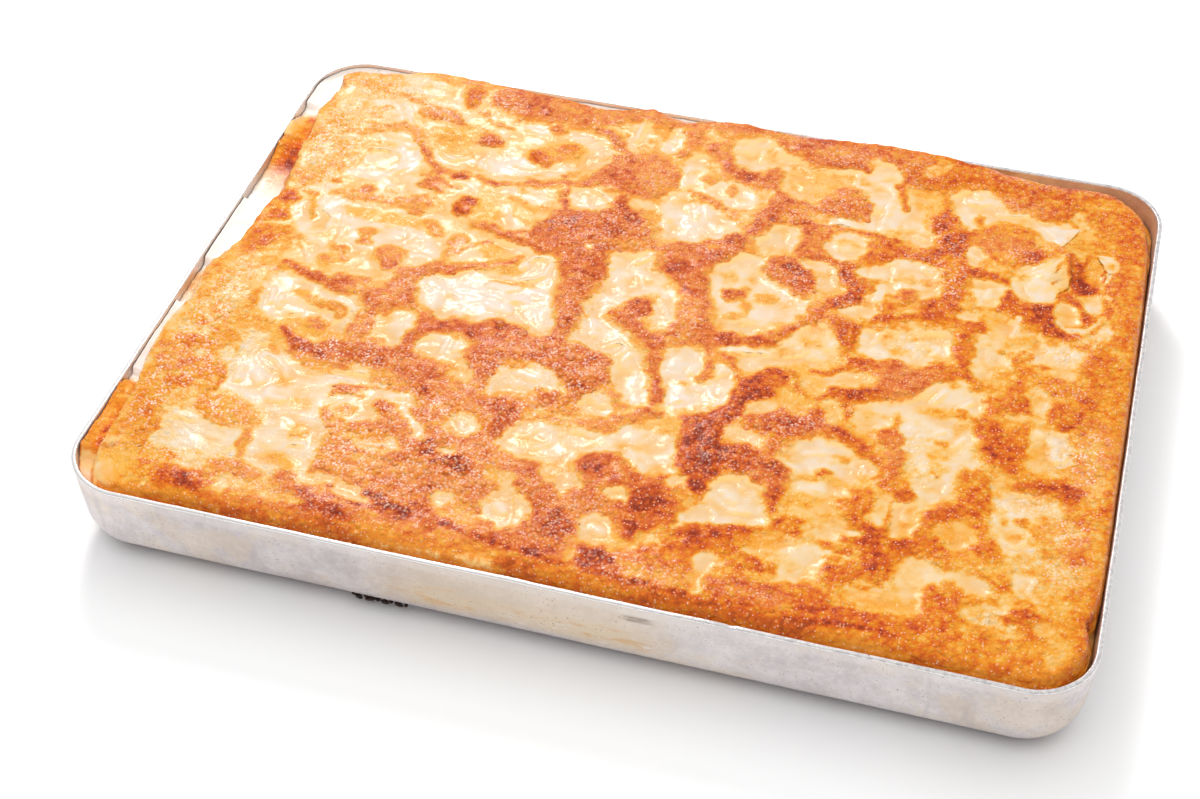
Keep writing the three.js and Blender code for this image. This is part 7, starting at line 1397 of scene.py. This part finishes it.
    # grain of the crust: tiny blisters and pits, heights in millimetres
    h = N.math("MULTIPLY", N.remap(w_dist, 0.0, 0.62, 0.18, 0.0), gran)
    h = N.math("ADD", h, N.math("MULTIPLY", N.remap(v_dist, 0.05, 0.62, 0.54, 0.0), N.math("MULTIPLY", gran, N.remap(pick, 0.0, 1.0, 0.35, 1.25, smooth=False))))
    h = N.math("ADD", h, N.math("MULTIPLY", n_fine, N.math("MULTIPLY_ADD", gran, 0.02, 0.008)))
    h = N.math("ADD", h, N.math("MULTIPLY", n_mid, N.math("MULTIPLY_ADD", gran, 0.10, 0.05)))
    N.link(N.bump(h, 0.001, 1.0), N.bsdf.inputs["Normal"])
    return N.mat


def tray_material():
    N = Nodes("aged_aluminium")
    P = N.coords()
    x, y, z = N.split(P)
    big = N.noise(P, 60, 3, 0.6)
    mid = N.noise(P, 16, 4, 0.65, offset=(9, 3, 1))
    fine = N.noise(P, 3.0, 4, 0.7, offset=(2, 8, 5))
    speck = N.noise(P, 0.9, 2, 0.6, offset=(4, 4, 9))
    k = N.math("ADD", N.math("MULTIPLY", big, 0.35), N.math("ADD", N.math("MULTIPLY", mid, 0.40), N.math("MULTIPLY", fine, 0.25)))
    col = N.ramp(N.remap(k, 0.34, 0.66), [(0.0, (198, 188, 190)), (0.5, (219, 211, 211)), (1.0, (237, 231, 231))])
    front = N.remap(y, -146.0, -149.0)
    # yellowish patches of old grease, thickest along the middle of the front
    streak = N.noise(N.stretch(P, 0.22, 1.0, 1.0), 3.2, 4, 0.65, offset=(1, 2, 3))
    along = N.math("MULTIPLY", N.remap(x, -86.0, -44.0), N.remap(x, 62.0, 26.0))
    low = N.remap(z, 31.0, 19.0)
    grease = N.math("MULTIPLY", N.remap(N.noise(P, 26, 3, 0.6, offset=(7, 7, 7)), 0.46, 0.62), 0.34)
    grease = N.math("MAXIMUM", grease, N.math("MULTIPLY", front, N.math("MULTIPLY", along, N.math("MULTIPLY_ADD", low, 0.35, 0.45))))
    col = N.mix(grease, col, (234, 212, 178))
    orange = N.math("MULTIPLY", N.math("MULTIPLY", N.remap(streak, 0.52, 0.62), N.math("MULTIPLY", front, along)), N.math("MULTIPLY", low, 0.75))
    col = N.mix(orange, col, (226, 184, 130))
    # scoured through to clean metal in flakes and scratches
    scour = N.noise(N.stretch(P, 0.30, 1.0, 1.0), 2.0, 4, 0.75, offset=(11, 5, 2))
    where = N.math("MULTIPLY", N.remap(x, -34.0, -6.0), N.remap(x, 66.0, 44.0))
    clean = N.math("MULTIPLY", N.remap(scour, 0.57, 0.64), N.math("MULTIPLY", N.math("MULTIPLY", front, where), N.remap(z, 24.0, 17.0)))
    col = N.mix(N.math("MULTIPLY", clean, 0.8), col, (240, 238, 244))
    # faint upright bands of the pressing near the corners
    band = N.noise(N.stretch(P, 1.0, 1.0, 0.06), 5.5, 2, 0.5, offset=(3, 9, 4))
    col = N.mix(N.math("MULTIPLY", N.remap(band, 0.42, 0.30), N.math("MULTIPLY", N.remap(N.math("ABSOLUTE", x), 110.0, 165.0), 0.35)), col, (188, 180, 184))
    # a grey brown rub mark under the rim, and the wall is darker towards its foot
    rub = N.math("MULTIPLY", N.math("MULTIPLY", N.remap(x, 27.0, 32.0), N.remap(x, 43.0, 38.0)), N.math("MULTIPLY", N.remap(z, 30.6, 32.4), N.remap(z, 35.6, 33.8)))
    col = N.mix(N.math("MULTIPLY", N.math("MULTIPLY", rub, front), N.remap(streak, 0.40, 0.60, 0.3, 0.9)), col, (150, 128, 112))
    col = N.mix(N.math("MULTIPLY", N.remap(z, 7.5, 2.0), 0.7), col, (136, 118, 124))
    # a paler line under the rim; the rim itself is worn bright and carries a painted highlight along its top, speckled
    # towards the right
    col = N.mix(N.math("MULTIPLY", N.math("MULTIPLY", N.remap(z, 33.5, 36.5), N.remap(z, 39.4, 38.2)), 0.35), col, (244, 238, 236))
    rim = N.remap(z, 38.9, 39.4)
    bright = N.mix(N.math("MULTIPLY", N.remap(fine, 0.42, 0.62), N.remap(x, -40.0, 120.0, 0.10, 0.50)), (250, 247, 246), (186, 180, 186))
    col = N.mix(rim, col, bright)
    pits = N.remap(speck, 0.29, 0.35, 0.8, 0.0)
    pits = N.math("MULTIPLY", pits, N.remap(mid, 0.40, 0.60, 0.25, 1.0))
    col = N.mix(pits, col, (96, 80, 76))
    N.link(col, N.bsdf.inputs["Base Color"])
    N.bsdf.inputs["Metallic"].default_value = 0.6
    rough = N.math("ADD", 0.34, N.math("MULTIPLY", mid, 0.18))
    rough = N.math("ADD", rough, N.math("MULTIPLY", grease, 0.15))
    N.link(N.math("SUBTRACT", rough, N.math("MULTIPLY", N.math("MAXIMUM", clean, rim), 0.14)), N.bsdf.inputs["Roughness"])
    h = N.math("ADD", N.math("MULTIPLY", fine, 0.6), N.math("MULTIPLY", speck, 0.4))
    N.link(N.bump(h, 0.00012, 0.8), N.bsdf.inputs["Normal"])
    return N.mat


crust_mat = crust_material("baked_yufka", 0.0)
blister_mat = crust_material("baked_blisters", 0.0)
tray_mat = tray_material()

crust_me, crust_top, crust_att, crust_d = build_borek()
crust = add_object(crust_me, crust_mat)
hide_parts("borek")
blisters = add_object(build_blisters(crust_top, crust_att, crust_d), blister_mat)
tray = add_object(build_tray(), tray_mat)
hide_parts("tray")




# ---------------------------------------------------------------- torn sheets, films and crumbs
ATTRS = ("brown", "amber", "grain", "ridge_pale_and_highlight", "hollow_shade", "blister", "rosy_and_sheen", "froth_and_glint", "edge", "painted_lee_glow")


def sheet(name, P, thick, values, material, closed=False):
    """A thin closed sheet over a grid of points, rows x columns x 3, with its upper face as given."""
    m, n = P.shape[:2]
    du = np.gradient(P, axis=1)
    if closed:
        du = (np.roll(P, -1, 1) - np.roll(P, 1, 1)) / 2
    dv = np.gradient(P, axis=0)
    N = np.cross(du, dv)
    N /= np.maximum(np.linalg.norm(N, axis=-1, keepdims=True), 1e-9)
    if N[..., 2].mean() < 0:
        N = -N
        flip = True
    else:
        flip = False
    t = np.broadcast_to(np.asarray(thick, float), (m, n))[..., None]
    Q = P - N * t
    verts = np.concatenate([P.reshape(-1, 3), Q.reshape(-1, 3)])
    idx = np.arange(m * n).reshape(m, n)
    nxt = np.roll(idx, -1, 1) if closed else idx[:, 1:]
    cur = idx if closed else idx[:, :-1]
    a, b, c, d = cur[:-1], nxt[:-1], nxt[1:], cur[1:]
    if flip:
        a, b, c, d = a, d, c, b
    k = m * n
    quads = [np.stack([a, b, c, d], -1).reshape(-1, 4), np.stack([a, d, c, b], -1).reshape(-1, 4) + k]

    def rim(line):
        p, q = line[:-1], line[1:]
        return np.stack([p, p + k, q + k, q], -1)

    first = np.append(idx[0], idx[0][:1]) if closed else idx[0]
    last = np.append(idx[-1], idx[-1][:1]) if closed else idx[-1]
    sides = [rim(last)[:, ::-1]]
    tris = None
    if closed:
        # the middle is closed with a small fan above and below
        verts = np.concatenate([verts, P[0].mean(0, keepdims=True), Q[0].mean(0, keepdims=True)])
        p, q = first[:-1], first[1:]
        up = np.stack([q, p, np.full(n, 2 * k)], -1)
        under = np.stack([p + k, q + k, np.full(n, 2 * k + 1)], -1)
        tris = np.concatenate([up[:, ::-1], under[:, ::-1]]) if flip else np.concatenate([up, under])
    else:
        sides += [rim(first), rim(idx[:, 0])[:, ::-1], rim(idx[:, -1])]
    sides = np.concatenate(sides)
    quads.append(sides[:, ::-1] if flip else sides)
    me = arrays_to_mesh(name, verts, np.concatenate(quads), tris)
    # painted golden glow on the sides that face away from the key light
    values = {"painted_lee_glow": 0.9 * painted_lee_glow_of(P), **values}
    for key in ATTRS:
        v = np.broadcast_to(np.asarray(values.get(key, 0.0), float), (m, n))
        both = [v.ravel(), v.ravel()]
        put(me, key, np.concatenate(both + [[v[0].mean()], [v[0].mean()]] if closed else both))
    return add_object(me, material)


def wall_path(step=1.2):
    """Points on the rim line, clockwise seen from above, from the front left corner to the middle of the back."""
    r = RIM_R
    pts = []
    for x in np.arange(-150.0, -HX + r, -step):
        pts.append((x, -HY, 0.0, -1.0))
    for a in np.arange(0, math.pi / 2, step / r):
        pts.append((-HX + r - r * math.sin(a), -HY + r - r * math.cos(a), -math.sin(a), -math.cos(a)))
    for y in np.arange(-HY + r, HY - r, step):
        pts.append((-HX, y, -1.0, 0.0))
    for a in np.arange(0, math.pi / 2, step / r):
        pts.append((-HX + r - r * math.cos(a), HY - r + r * math.sin(a), -math.cos(a), math.sin(a)))
    for x in np.arange(-HX + r, 96, step * 1.6):
        pts.append((x, HY, 0.0, 1.0))
    return np.array(pts)


# how high the film stands on the wall along the left side
FLAP_A = [(36, 0), (41, 1.4), (50, 2.4), (58, 3.4), (66, 4.8), (75, 7.0), (77, 8.5), (83, 7.2), (85.5, 8.8), (91, 9.2), (95, 8.2), (103, 5.2), (108, 2), (113, 0)]
FLAP_C = [(-140, 0.4), (-137, 1.6), (-135, 3.8), (-131.6, 3.4), (-130.6, 6.6), (-127, 8.4), (-123, 7.2), (-114, 8.2), (-112, 6.6), (-106, 6.8), (-97, 8.2), (-91, 8.4), (-87, 6.4), (-83, 2), (-79, 0)]
FLAP_B = [(-36, 0), (-32, 2.6), (-24, 4.4), (-16, 4.2), (-10, 1.5), (-6, 0)]


def build_edge_film():
    """The pale film of batter baked onto the wall beside the crust, with the flaps of pastry that cling to the wall."""
    w = wall_path()
    x, y, nx, ny = w.T
    s = np.cumsum(np.hypot(np.gradient(x), np.gradient(y)))
    left = nx < -0.99
    up = np.zeros(len(x))
    for tab in (FLAP_A, FLAP_C, FLAP_B):
        up = np.maximum(up, np.where(nx < -0.7, table(y, tab), 0))
    ragged = perlin(s / 3.1, s * 0 + 2.2, 401) * 0.5 + perlin(s / 1.5, s * 0 + 5.2, 402) * 0.35
    low = 38.6 + 0.5 * perlin(s / 17, s * 0 + 1, 403) + 0.3 * ragged
    back = ny > 0.4
    low = np.where(back, low - 0.2, low)
    ztop = np.where(up > 0.3, np.maximum(low - 2.5 * np.clip(up, 0, 1), 32.0 + up) + ragged * np.clip(up / 4, 0, 1), low)
    ztop = np.minimum(ztop, 41.6)
    lip = np.clip((ztop - 37.0) / 3.0, 0, 1)
    drawn = draw_in(x, y, nx, ny)
    rows = 12
    P = np.zeros((rows, len(x), 3))
    zin = np.minimum(edge_level(x, y, nx, ny) - 6.5, 36.5)
    for i in range(rows):
        v = i / (rows - 1)
        z = ztop + (zin - ztop) * v ** 0.75 - 0.7 * math.sin(math.pi * v) * (1 - lip)
        z = z + 0.35 * perlin(s / 4.5, s * 0 + v * 2.2, 404) * math.sin(math.pi * v)
        ins = inner_inset(np.minimum(z, TRAY_H)) + 0.40 + 0.35 * lip * (1 - v) + v ** 1.25 * (0.93 * drawn + 0.3)
        # the flaps bow away from the wall
        ins = ins + lip * 1.0 * math.sin(math.pi * v) * (0.6 + 0.5 * perlin(s / 9, s * 0 + 3, 405))
        P[i] = np.stack([x - nx * ins, y - ny * ins, z], 1)
    V = np.linspace(0, 1, rows)[:, None]
    S = s[None, :]
    YY = np.broadcast_to(y, (rows, len(x)))
    flapness = np.clip((up - 1.0) / 4.0, 0, 1)[None, :]
    in_a = np.where((y > 34) & (nx < -0.7), 1.0, 0.0)[None, :]
    corner = ease((-y - 124) / 8)[None, :] * (nx < 0.1)[None, :]
    noise = fbm(S / 6 + 0 * V, V * 2.5 + S / 40, 406, 3)
    brown_v = 0.08 + 0.05 * noise
    flap_b = 0.50 + 0.14 * ease((V - 0.25) / 0.5) + 0.10 * noise - 0.30 * ease((0.16 - V) / 0.16)
    flap_b = np.where(in_a > 0, flap_b + 0.24 * ease((88 - YY) / 12) * ease((V - 0.12) / 0.25) - 0.20 * ease((YY - 80) / 8) * ease((0.6 - V) / 0.4), flap_b)
    brown_v = brown_v * (1 - flapness) + flap_b * flapness
    brown_v = brown_v * (1 - 0.85 * corner) + corner * 0.85 * (0.16 + 0.06 * noise)
    # darker along the torn edge
    brown_v = brown_v + 0.5 * np.exp(-V / 0.045) * flapness * ease((YY < 84) * 1.0) + 0.55 * np.exp(-V / 0.03) * corner * (fbm(S / 4, S * 0, 407, 2) > -0.1)
    amber_v = np.clip(0.35 * flapness + 0.15 + 0.45 * corner * ease((V - 0.45) / 0.3), 0, 1)
    # red brown specks where the film folds into the crust
    spot = np.exp(-(((YY + 118) / 6.0) ** 2 + ((V - 0.72) / 0.22) ** 2)) * (nx < -0.5)[None, :]
    brown_v = brown_v + 0.62 * spot * ease((fbm(S / 2.2, V * 7, 408, 2) + 0.15) / 0.3)
    bare = (1 - flapness) * (1 - 0.8 * corner) * (1 - 0.6 * spot)
    amber_v = amber_v * (1 - 0.9 * bare)
    # a painted highlight whitens the film at the front left corner, most near its top
    values = {"brown": np.clip(brown_v, 0, 1), "amber": amber_v, "grain": 0.25 * flapness + 0.0 * V, "ridge_pale_and_highlight": 0.5 * corner * (1 - V), "edge": bare + 0.0 * V}
    return sheet("edge_film", P, 0.12, values, film_mat)


film_mat = crust_material("dried_batter_film", 0.0, film=True)
edge_film = build_edge_film()

# find the crust under a place on the lists
from mathutils import kdtree
_sx, _sy = sight(crust_top[:, 0], crust_top[:, 1], crust_top[:, 2])
_tree = kdtree.KDTree(len(crust_top))
for _i in range(len(crust_top)):
    _tree.insert((_sx[_i], _sy[_i], 0.0), _i)
_tree.balance()


def on_crust(px, py, lift=0.0):
    """The point of the crust seen at a place, raised along the line of sight."""
    px, py, lift = np.broadcast_arrays(np.asarray(px, float), np.asarray(py, float), np.asarray(lift, float))
    out = np.zeros(px.shape + (3,))
    for i in np.ndindex(px.shape):
        near = _tree.find_n((px[i], py[i], 0.0), 4)
        wsum, acc = 0.0, np.zeros(3)
        for _, j, dist in near:
            wgt = 1.0 / (dist + 0.15)
            acc += crust_top[j] * wgt
            wsum += wgt
        z = acc[2] / wsum
        z = z + lift[i]
        out[i] = (px[i] + 0.2867 * (z - 43), py[i] - 1.0103 * (z - 43), z)
    return out


def flake(name, outline, lifts, dome, values, rings=9, thick=0.4, round_=64, seed=500, centre=None):
    """A sheet torn loose from the crust: its outline, and how far each stretch of the edge stands up."""
    o = np.array(outline, float)
    q = np.vstack([o, o[:1]])
    seg = np.hypot(*np.diff(q, axis=0).T)
    at = np.concatenate([[0], np.cumsum(seg)])
    t = np.linspace(0, at[-1], round_, endpoint=False)
    bx, by = np.interp(t, at, q[:, 0]), np.interp(t, at, q[:, 1])
    lf = np.interp(t, at, np.append(lifts, lifts[0]))
    c = np.array(centre if centre is not None else o.mean(0))
    rag = 0.35 * perlin(t / 2.2, t * 0 + seed, seed) + 0.2 * perlin(t / 1.1, t * 0, seed + 1)
    dirx, diry = bx - c[0], by - c[1]
    L = np.hypot(dirx, diry)
    bx, by = bx + dirx / L * rag, by + diry / L * rag
    U = np.linspace(0.0, 1.0, rings)[:, None] ** 0.8
    U = np.maximum(U, 0.004)
    X = c[0] + (bx - c[0])[None, :] * U
    Y = c[1] + (by - c[1])[None, :] * U
    lift = lf[None, :] * U ** 2.4 + dome * (1 - U ** 2) + 0.22 * perlin(X / 4.5, Y / 4.5, seed + 2)
    P = on_crust(X, Y, np.where(U > 0.75, lift, np.maximum(lift, 0.12)))
    vals = {k: (v(X, Y, U) if callable(v) else v) for k, v in values.items()}
    # closed round, so the first ring is a small hole filled by its own tightness
    return sheet(name, P, thick, vals, film_mat, closed=True)


def as_painted(X, Y, U, name):
    return sample({"brown": brown, "amber": amber, "hollow_shade": hollow_shade, "rosy_and_sheen": rosy_and_sheen, "froth_and_glint": froth_and_glint}[name], X, Y)


def painted(paler=0.0, lit=0.0):
    """A torn sheet carries on the browning of the crust it comes from; lit whitens a band just inside its edge as a
    painted highlight.
    """
    vals = {n: (lambda X, Y, U, n=n: as_painted(X, Y, U, n)) for n in ("amber", "rosy_and_sheen")}
    vals["brown"] = lambda X, Y, U: np.clip(as_painted(X, Y, U, "brown") - paler + 0.10 * ease((U - 0.93) / 0.07), 0, 0.7)
    # a painted highlight whitens a band just inside the edge
    vals["ridge_pale_and_highlight"] = lambda X, Y, U: lit * ease((U - 0.72) / 0.2) * (1 - ease((U - 0.94) / 0.06))
    return vals


# each edge stretch either runs down into the crust (below zero) or stands free
flake_big = flake("torn_flake_large", [(143,71),(147,76),(152,81),(157,86),(160.6,90.6),(163.0,91),(164.6,84),(166,76),(165.6,69),(162.4,65),(161,60),(158,56.6),(154,55.2),(150,56),(147,59),(144,64)],
                  [-0.7, -0.7, -0.7, -0.6, -0.2, 0.3, 0.7, 0.8, 0.5, 0.1, -0.2, -0.3, -0.3, -0.3, -0.5, -0.7], 1.1,
                  painted(0.02, 0.5), centre=(154.5, 70), seed=511, thick=0.22)
flake_up = flake("torn_flake_upper", [(149,108),(153,109.6),(158,109),(163,110),(166.4,110.8),(164,105),(161,99),(159,95.3),(155.4,97),(152,100.4),(149.4,104)],
                 [-0.6, -0.6, -0.6, -0.3, 0.0, 0.3, 0.4, 0.2, -0.3, -0.5, -0.6], 0.7,
                 painted(0.02, 0.7), centre=(157, 103.5), seed=522, thick=0.22)
curl = flake("torn_curl", [(174.6,93.2),(176,94.8),(180,94.8),(183.4,92.8),(184.8,89),(184.2,85),(181,83),(178.6,85),(177.4,89)],
             [0.7, 0.6, 0.3, -0.3, -0.5, -0.4, 0.2, 0.5, 0.7], 0.6,
             painted(0.03, 0.8), round_=56, centre=(180, 89.5), seed=532, thick=0.22)
curl_low = flake("torn_curl_low", [(179,84.6),(180.4,84.8),(181.6,80),(181,76.6),(179.8,79)], [0.4, 0.3, -0.3, -0.4, 0.3], 0.4,
                 painted(0.0, 0.8), rings=6, round_=28, centre=(180.4, 80.6), seed=541, thick=0.22)


def lumps(name, places, material, slot, seed):
    """Small rough lumps: place, half sizes, turn about Z."""
    vs, qs = [], []
    rows, cols = 9, 14
    for k, (x, y, z, a, b, c, turn) in enumerate(places):
        th = np.linspace(0.06, math.pi - 0.06, rows)[:, None]
        ph = np.linspace(0, 2 * math.pi, cols, endpoint=False)[None, :]
        ux, uy, uz = np.sin(th) * np.cos(ph), np.sin(th) * np.sin(ph), np.cos(th) + 0 * ph
        bump_ = 1 + 0.22 * perlin(ux * 1.7 + k * 3.1, uy * 1.7 + uz * 1.3, seed) + 0.10 * perlin(ux * 4 + k, uy * 4 - uz * 3, seed + 1)
        px, py, pz = ux * a * bump_, uy * b * bump_, uz * c * bump_
        t = math.radians(turn)
        P = np.stack([x + px * math.cos(t) - py * math.sin(t), y + px * math.sin(t) + py * math.cos(t), z + pz], -1).reshape(-1, 3)
        base = sum(len(v) for v in vs)
        idx = np.arange(rows * cols).reshape(rows, cols) + base
        nxt = np.roll(idx, -1, 1)
        qs.append(np.stack([idx[:-1], idx[1:], nxt[1:], nxt[:-1]], -1).reshape(-1, 4))
        poles = np.array([P.reshape(rows, cols, 3)[0].mean(0), P.reshape(rows, cols, 3)[-1].mean(0)])
        vs.append(np.vstack([P, poles]))
        top_i, bot_i = base + rows * cols, base + rows * cols + 1
        j = np.arange(0, cols, 2)
        qs.append(np.stack([np.full(len(j), top_i), idx[0][j], idx[0][(j + 1) % cols], idx[0][(j + 2) % cols]], -1))
        qs.append(np.stack([np.full(len(j), bot_i), idx[-1][(j + 2) % cols], idx[-1][(j + 1) % cols], idx[-1][j]], -1))
    me = arrays_to_mesh(name, np.concatenate(vs), np.concatenate(qs))
    return me


def char_material():
    N = Nodes("charred_residue")
    P = N.coords()
    n = N.noise(P, 1.2, 3, 0.6)
    N.link(N.ramp(N.remap(n, 0.35, 0.65), [(0.0, (14, 10, 9)), (0.6, (34, 20, 14)), (1.0, (84, 46, 26))]), N.bsdf.inputs["Base Color"])
    N.link(N.remap(n, 0.3, 0.7, 0.35, 0.65), N.bsdf.inputs["Roughness"])
    N.link(N.bump(n, 0.0004, 1.0), N.bsdf.inputs["Normal"])
    return N.mat


char_mat = char_material()
residue = add_object(lumps("baked_on_residue", [
    (-79.6, -143.5, 5.6, 1.0, 0.8, 0.6, 10), (-77.6, -143.6, 4.6, 1.9, 1.0, 0.8, -25), (-74.8, -143.4, 5.4, 0.9, 0.8, 0.7, 0), (-72.9, -143.3, 4.3, 2.3, 1.1, 0.8, 12),
    (-69.6, -143.5, 5.0, 1.1, 0.9, 0.6, 40), (-67.0, -143.3, 4.2, 1.7, 1.0, 0.9, -8), (-64.6, -143.5, 5.2, 1.0, 0.8, 0.6, 0), (-61.4, -143.4, 4.5, 2.1, 1.0, 0.7, -16), (-58.3, -143.5, 5.0, 0.8, 0.8, 0.5, 0),
], char_mat, "baked_crust", 601), char_mat)
crumb = add_object(lumps("loose_crumbs", [(-193.4, -69.2, 38.3, 1.5, 1.1, 1.2, 60)], char_mat, "baked_crust", 611), char_mat)
knob_me = lumps("crust_knob", [(-191.4, -74.6, 39.9, 1.8, 2.8, 1.9, -12), (-190.6, -79.5, 39.6, 1.2, 2.0, 1.2, 5)], film_mat, "baked_crust", 621)
for _k, _v in (("brown", 0.55), ("amber", 0.3), ("grain", 0.5), ("ridge_pale_and_highlight", 0.0), ("hollow_shade", 0.0), ("blister", 0.0), ("rosy_and_sheen", 0.0), ("froth_and_glint", 0.0), ("edge", 0.0), ("painted_lee_glow", 0.3)):
    put(knob_me, _k, np.full(len(knob_me.vertices), _v))
knob = add_object(knob_me, film_mat)


# ---------------------------------------------------------------- crisp folds of the pale sheet
def many(name, parts, material):
    """Several closed sheets in one mesh; each part is its grid of points, thickness and values."""
    verts, quads, vals, base = [], [], {k: [] for k in ATTRS}, 0
    for P, thick, values in parts:
        m, n = P.shape[:2]
        N = np.cross(np.gradient(P, axis=1), np.gradient(P, axis=0))
        N /= np.maximum(np.linalg.norm(N, axis=-1, keepdims=True), 1e-9)
        flip = N[..., 2].mean() < 0
        down = np.zeros_like(N)
        down[..., 2] = -thick
        Q = P + down
        idx = np.arange(m * n).reshape(m, n) + base
        k = m * n
        a, b, c, d = idx[:-1, :-1], idx[:-1, 1:], idx[1:, 1:], idx[1:, :-1]
        if flip:
            b, d = d, b
        quads += [np.stack([a, b, c, d], -1).reshape(-1, 4), np.stack([a, d, c, b], -1).reshape(-1, 4) + k]
        for line, rev in ((idx[0], False), (idx[-1], True), (idx[:, 0], True), (idx[:, -1], False)):
            p, q = line[:-1], line[1:]
            r = np.stack([p, p + k, q + k, q], -1)
            quads.append(r[:, ::-1] if rev != flip else r)
        verts += [P.reshape(-1, 3), Q.reshape(-1, 3)]
        for key in ATTRS:
            v = np.broadcast_to(np.asarray(values.get(key, 0.0), float), (m, n)).ravel()
            vals[key] += [v, v]
        base += 2 * k
    me = arrays_to_mesh(name, np.concatenate(verts), np.concatenate(quads))
    for key in ATTRS:
        put(me, key, np.concatenate(vals[key]))
    return add_object(me, material)


def fold_parts():
    across = np.array([-1.0, -0.88, -0.5, 0.0, 0.5, 0.88, 1.0])
    out = []
    for i, (strength, width, line) in enumerate(FOLD_LINES):
        if strength < 0.68 or width > 3.2:
            continue
        # only where the sheet is pale all along
        if np.mean(sample(soft_brown, line[:, 0], line[:, 1])) > 0.33:
            continue
        # and not where a torn flake lies over it
        if np.any(np.hypot((line[:, 0] - 155.0) / 14.5, (line[:, 1] - 73.0) / 20.5) < 1):
            continue
        rng = np.random.default_rng(7000 + i)
        w = min(0.62 * width, 1.5)
        s = np.linspace(0, 1, len(line))
        length = np.hypot(*np.diff(line, axis=0).T).sum()
        t = np.gradient(line, axis=0)
        t /= np.maximum(np.hypot(t[:, 0], t[:, 1])[:, None], 1e-9)
        nrm = np.stack([-t[:, 1], t[:, 0]], 1)
        swell_ = np.clip(np.minimum(s, 1 - s) * length / 2.2, 0, 1) ** 0.6
        swell_ = swell_ * (0.8 + 0.4 * perlin(s * length / 4, s * 0 + 2.2, 1300 + i))
        half = w * 0.5 * (0.35 + 0.65 * swell_)
        skew = rng.uniform(-0.35, 0.35)
        XY = line[:, None, :] + nrm[:, None, :] * (half[:, None] * (across + skew * (1 - across ** 2)))[..., None]
        high = (0.05 + 0.10 * w) * strength * swell_
        lift = high[:, None] * np.array([0, 0.1, 0.76, 1.0, 0.76, 0.1, 0])[None, :] - np.array([0.75, 0.30, 0.04, 0, 0.04, 0.30, 0.75])[None, :] - 0.25 * (1 - swell_)[:, None]
        P = on_crust(XY[..., 0], XY[..., 1], lift)
        vals = {n: sample(f, XY[..., 0], XY[..., 1]) for n, f in (("brown", brown), ("amber", amber), ("hollow_shade", hollow_shade), ("rosy_and_sheen", rosy_and_sheen), ("froth_and_glint", froth_and_glint))}
        vals["brown"] = np.minimum(vals["brown"], 0.42)
        # each strip is whitened: partly the sheet's own paleness, partly a painted highlight
        vals["ridge_pale_and_highlight"] = np.full(XY.shape[:2], 0.95 * strength)
        vals["grain"] = np.zeros(XY.shape[:2])
        vals["hollow_shade"] = vals["hollow_shade"] * 0.3
        # painted golden glow on the sides that face away from the key light
        vals["painted_lee_glow"] = painted_lee_glow_of(P)
        out.append((P, 0.35, vals))
    return out


folds = many("sheet_folds", fold_parts(), crust_mat)
# ---------------------------------------------------------------- floor, light
floor_me = bpy.data.meshes.new("floor")
floor_me.from_pydata([(-6, -6, 0), (6, -6, 0), (6, 6, 0), (-6, 6, 0)], [], [(0, 1, 2, 3)])
floor = bpy.data.objects.new("floor", floor_me)
bpy.context.scene.collection.objects.link(floor)
floor_mat = bpy.data.materials.new("pale_floor")
floor_mat.use_nodes = True
fb = floor_mat.node_tree.nodes["Principled BSDF"]
fb.inputs["Base Color"].default_value = (0.99, 0.99, 0.99, 1)
fb.inputs["Roughness"].default_value = 0.9
fb.inputs["Specular IOR Level"].default_value = 0.1
floor_me.materials.append(floor_mat)

world = bpy.data.worlds.new("studio")
bpy.context.scene.world = world
world.use_nodes = True
wb = world.node_tree.nodes["Background"]
wb.inputs["Color"].default_value = (1.0, 1.0, 1.0, 1)
wb.inputs["Strength"].default_value = 0.38


def area(name, place, aim, size, power, colour=(1, 1, 1), size_y=None):
    d = bpy.data.lights.new(name, "AREA")
    d.shape = "RECTANGLE"
    d.size = size
    d.size_y = size_y or size
    d.energy = power
    d.color = colour
    o = bpy.data.objects.new(name, d)
    bpy.context.scene.collection.objects.link(o)
    o.location = place
    o.rotation_euler = (Vector(aim) - Vector(place)).to_track_quat("-Z", "Y").to_euler()
    return o


key = area("key", (-0.80, 1.92, 1.80), (-0.04, 0.0, 0.03), 0.9, 29.4, (1.0, 0.985, 0.975))
key.data.shape = "ELLIPSE"
key.data.size_y = 0.7
key.visible_glossy = False
# a small bright panel in the same direction puts the glints on the glaze
spark = area("spark", (-0.80, 1.92, 1.80), (-0.04, 0.0, 0.03), 0.38, 12.5, (1.0, 0.95, 0.93))
spark.data.shape = "ELLIPSE"
spark.data.size_y = 0.32
# a broad soft ceiling that lights evenly and isn't mirrored in the glaze
ceiling = area("ceiling", (0.0, -0.1, 2.2), (0.0, 0.0, 0.0), 3.4, 50)
ceiling.visible_glossy = False

bpy.context.scene.view_settings.view_transform = "Standard"
bpy.context.scene.view_settings.look = "None"
bpy.context.scene.view_settings.exposure = 0.0
bpy.context.scene.view_settings.gamma = 1.0
